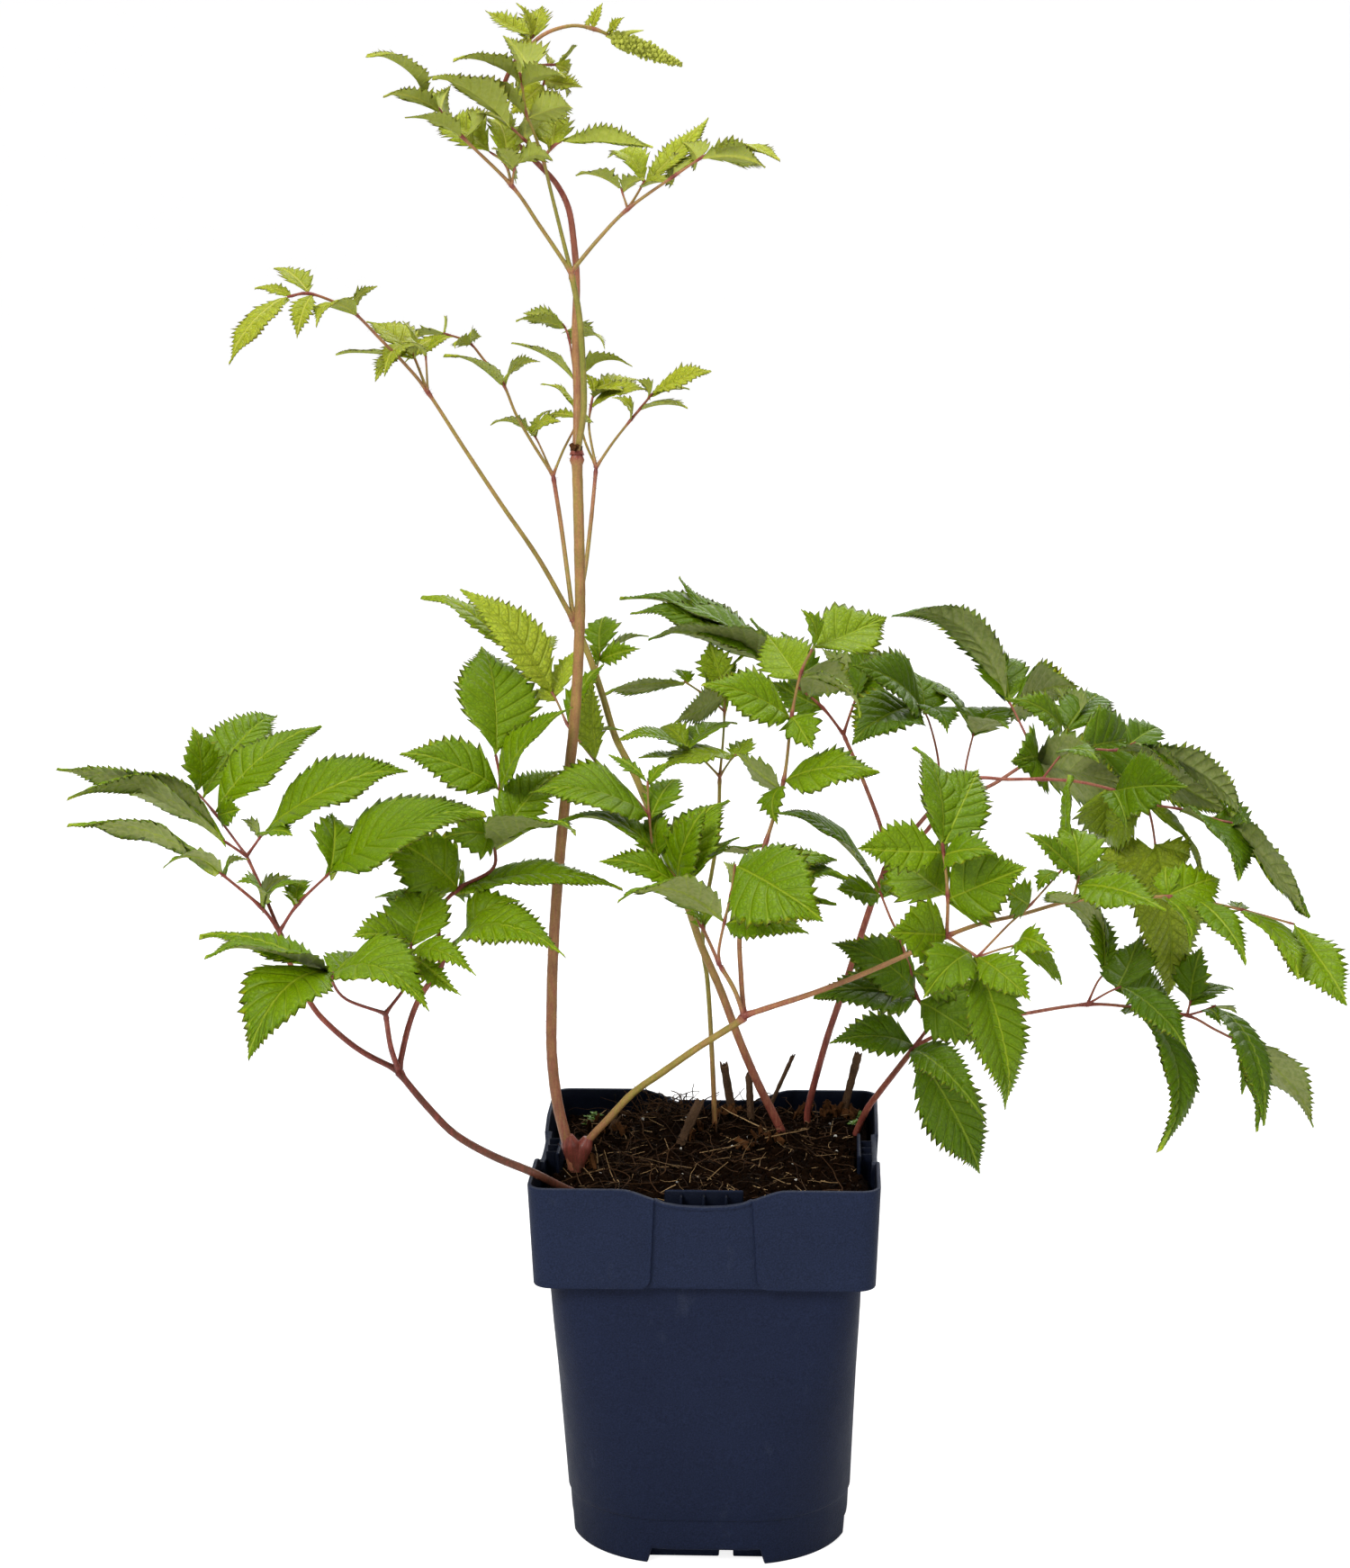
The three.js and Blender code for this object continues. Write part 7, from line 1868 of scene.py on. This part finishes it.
def pot_finish(group):
    """Dark blue plastic with a fine moulded grain and lighter scuffs. Painted light darkens the foot and
    lightens the collar, painted shade darkens the inner wall and the label plates, and a painted highlight
    lightens the rim.
    """
    material, tree, shader = surface("pot_plastic", 0.5, 0.07)
    height = put(tree, "ShaderNodeSeparateXYZ", {0: object_place(tree)}).outputs["Z"]
    # painted light: the collar lighter than the body and the foot darker, for light from above
    color = blended(tree, ranged(tree, height, 92 * MM, 97 * MM), POT_BODY, POT_COLLAR_LIT)
    color = blended(tree, ranged(tree, height, 0.0, 70 * MM), POT_FOOT_SHADE, color)
    scuff = cloud(tree, object_place(tree, (1.0, 1.0, 0.5)), 0.012, 5.0, 0.7)
    color = blended(tree, ranged(tree, scuff, 0.62, 0.78, 0, 0.25), color, POT_SCUFF)
    # painted shade on the inner wall and the label plates
    color = blended(tree, times(tree, stored(tree, "inside"), 0.9), color, POT_INSIDE_SHADE)
    # painted highlight on the rim's upward faces
    color = blended(tree, times(tree, stored(tree, "rim"), 0.7), color, POT_RIM_HIGHLIGHT)
    made = mottled(tree, group, color, 30, 0.3, 0.5, 1.5)
    tree.links.new(made.outputs["Color"], shader.inputs["Base Color"])
    tree.links.new(ranged(tree, scuff, 0.35, 0.7, 0.44, 0.56), shader.inputs["Roughness"])
    relief(tree, shader, made.outputs["Grain Height"], 0.12 * MM)
    return material


# ---------------------------------------------------------------- the whole model
def carried(piece, slot, *nodes):
    """Every piece stands on the one body and hides the solids that it stands for. Its slot is not used."""
    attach(piece, "root")
    if nodes:
        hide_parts(*nodes)


MOTTLE = mottle_group()
BLADE = blade_group()
POT_PLASTIC = pot_finish(MOTTLE)
STALK_SKIN = stalk_finish(MOTTLE)
BLADES = {slot: blade_finish(BLADE, *values) for slot, values in BLADE_COLORS.items()}
PLAIN = {name: plain_finish(name, MOTTLE) for name in PLAIN_FINISHES}
SHADED = {name: shaded_finish(name, MOTTLE) for name in SHADED_FINISHES}

STALK_TREE = stalk_tree()
HAIR_TREE = scatter_tree("hairs", True)
LUMP_TREE = scatter_tree("lumps", False)

shell = pot_shell(POT_PLASTIC)
drill_pot(shell)
mark_painted_light(shell.data)
for piece in (shell, pot_pockets(POT_PLASTIC), pot_feet(POT_PLASTIC)):
    carried(piece, "pot", "pot")

carried(soil_bed(PLAIN["peat"]), "soil", "soil")
for name in LUMPS:
    kind = PLAIN["perlite" if name == "perlite_grains" else "peat_crumb"]
    carried(soil_lumps(name, LUMP_TREE, kind), "soil", "soil")
for piece in litter(STALK_TREE, SHADED["straw"], SHADED["root"]):
    carried(piece, "soil", "soil")
carried(bark_flakes(PLAIN["bark"]), "stub", "soil")
carried(moss(PLAIN["moss"]), "young_leaf", "soil")
carried(node_sheaths(PLAIN["bark"]), "stub", "flower_stem")

fuzzy = []
for name, frond in FRONDS.items():
    carried(blades(name, BLADES[frond.get("finish", frond["slot"])]), frond["slot"], name)
    fuzzy.append(stalks(name, STALK_TREE, STALK_SKIN))
    carried(fuzzy[-1], frond["slot"], name)
carried(stem_foot(STALK_TREE, STALK_SKIN), "young_leaf", "flower_stem")
carried(stalk_hairs(fuzzy, HAIR_TREE, PLAIN["hair"]), "young_leaf", "flower_stem")

carried(flower_bud(PLAIN["bud_green"]), "bud", "flower_bud")
carried(bud_core(STALK_TREE, PLAIN["bud_green"]), "bud", "flower_bud")
carried(old_stubs(PLAIN["dry_stub"]), "stub", *("old_stub_%d" % (i + 1) for i in range(len(STUBS))))


# ---------------------------------------------------------------- the studio
def aim_camera():
    """A camera that looks a little down on the plant from the front."""
    data = bpy.data.cameras.new("camera")
    data.lens, data.sensor_width = CAMERA_LENS, CAMERA_SENSOR
    data.clip_start, data.clip_end = CAMERA_NEAR, CAMERA_FAR
    camera = linked("camera", data)
    forward = Vector((
        -math.sin(CAMERA_YAW) * math.cos(CAMERA_PITCH), math.cos(CAMERA_YAW) * math.cos(CAMERA_PITCH),
        -math.sin(CAMERA_PITCH),
    ))
    level = Vector((math.cos(CAMERA_YAW), math.sin(CAMERA_YAW), 0))
    over = level.cross(forward)
    right = level * math.cos(CAMERA_ROLL) + over * math.sin(CAMERA_ROLL)
    up = over * math.cos(CAMERA_ROLL) - level * math.sin(CAMERA_ROLL)
    turn = Matrix((right, up, -forward)).transposed()
    camera.matrix_world = Matrix.Translation(Vector(CAMERA_PLACE) * MM) @ turn.to_4x4()
    bpy.context.scene.camera = camera


def soft_light(name, place, size, power):
    """A round lamp that points at the plant."""
    data = bpy.data.lights.new(name, "AREA")
    data.shape, data.size, data.energy = "DISK", size, power
    light = linked(name, data)
    light.location = place
    light.rotation_euler = (Vector(LIT_PLACE) - Vector(place)).to_track_quat("-Z", "Y").to_euler()


def gray(value):
    """A colour without hue."""
    return value, value, value, 1


def floor_finish():
    """Pale and slightly uneven where it is seen, and brighter to the light that it sends back."""
    material, tree, shader = surface("studio_floor", 0.9, 0.1)
    shade = cloud(tree, object_place(tree), 1.5, 2.0)
    color = blended(tree, shade, *(gray(value) for value in FLOOR_GREYS))
    seen = put(tree, "ShaderNodeLightPath").outputs["Is Camera Ray"]
    tree.links.new(blended(tree, seen, gray(FLOOR_BRIGHT), color), shader.inputs["Base Color"])
    tree.links.new(blended(tree, seen, gray(0), gray(FLOOR_GLOW)), shader.inputs["Emission Color"])
    shader.inputs["Emission Strength"].default_value = 1
    return material


def studio_floor():
    """A wide pale bowl of a floor, whose rim rises far behind the plant on every side."""
    out = FLOOR_FLATS[-1]
    profile = [(reach, 0) for reach in FLOOR_FLATS]
    for turn in np.linspace(0.15, math.pi / 2, 10):
        profile.append((out + FLOOR_CURVE * math.sin(turn), FLOOR_CURVE - FLOOR_CURVE * math.cos(turn)))
    profile.append((out + FLOOR_CURVE, 2 * FLOOR_CURVE))
    turns = np.arange(FLOOR_SIDES) * 2 * math.pi / FLOOR_SIDES
    points = [(r * math.cos(a) / MM, r * math.sin(a) / MM, z / MM) for r, z in profile for a in turns]
    index = np.arange(len(points)).reshape(len(profile), FLOOR_SIDES)
    faces = grid_faces(index, closed=True) + [tuple(range(FLOOR_SIDES))]
    faces = [tuple(reversed(face)) for face in faces]
    linked("studio_floor", new_mesh("studio_floor", points, faces, floor_finish()))


def studio():
    """The floor, the lamps and the faint light of the air."""
    studio_floor()
    for name, values in LIGHTS.items():
        soft_light(name, *values)
    world = bpy.data.worlds.new("studio_air")
    world.use_nodes = True
    air = world.node_tree.nodes["Background"]
    air.inputs["Color"].default_value = gray(1)
    air.inputs["Strength"].default_value = AIR_GLOW
    bpy.context.scene.world = world
    bpy.context.scene.view_settings.view_transform = "Standard"


aim_camera()
studio()
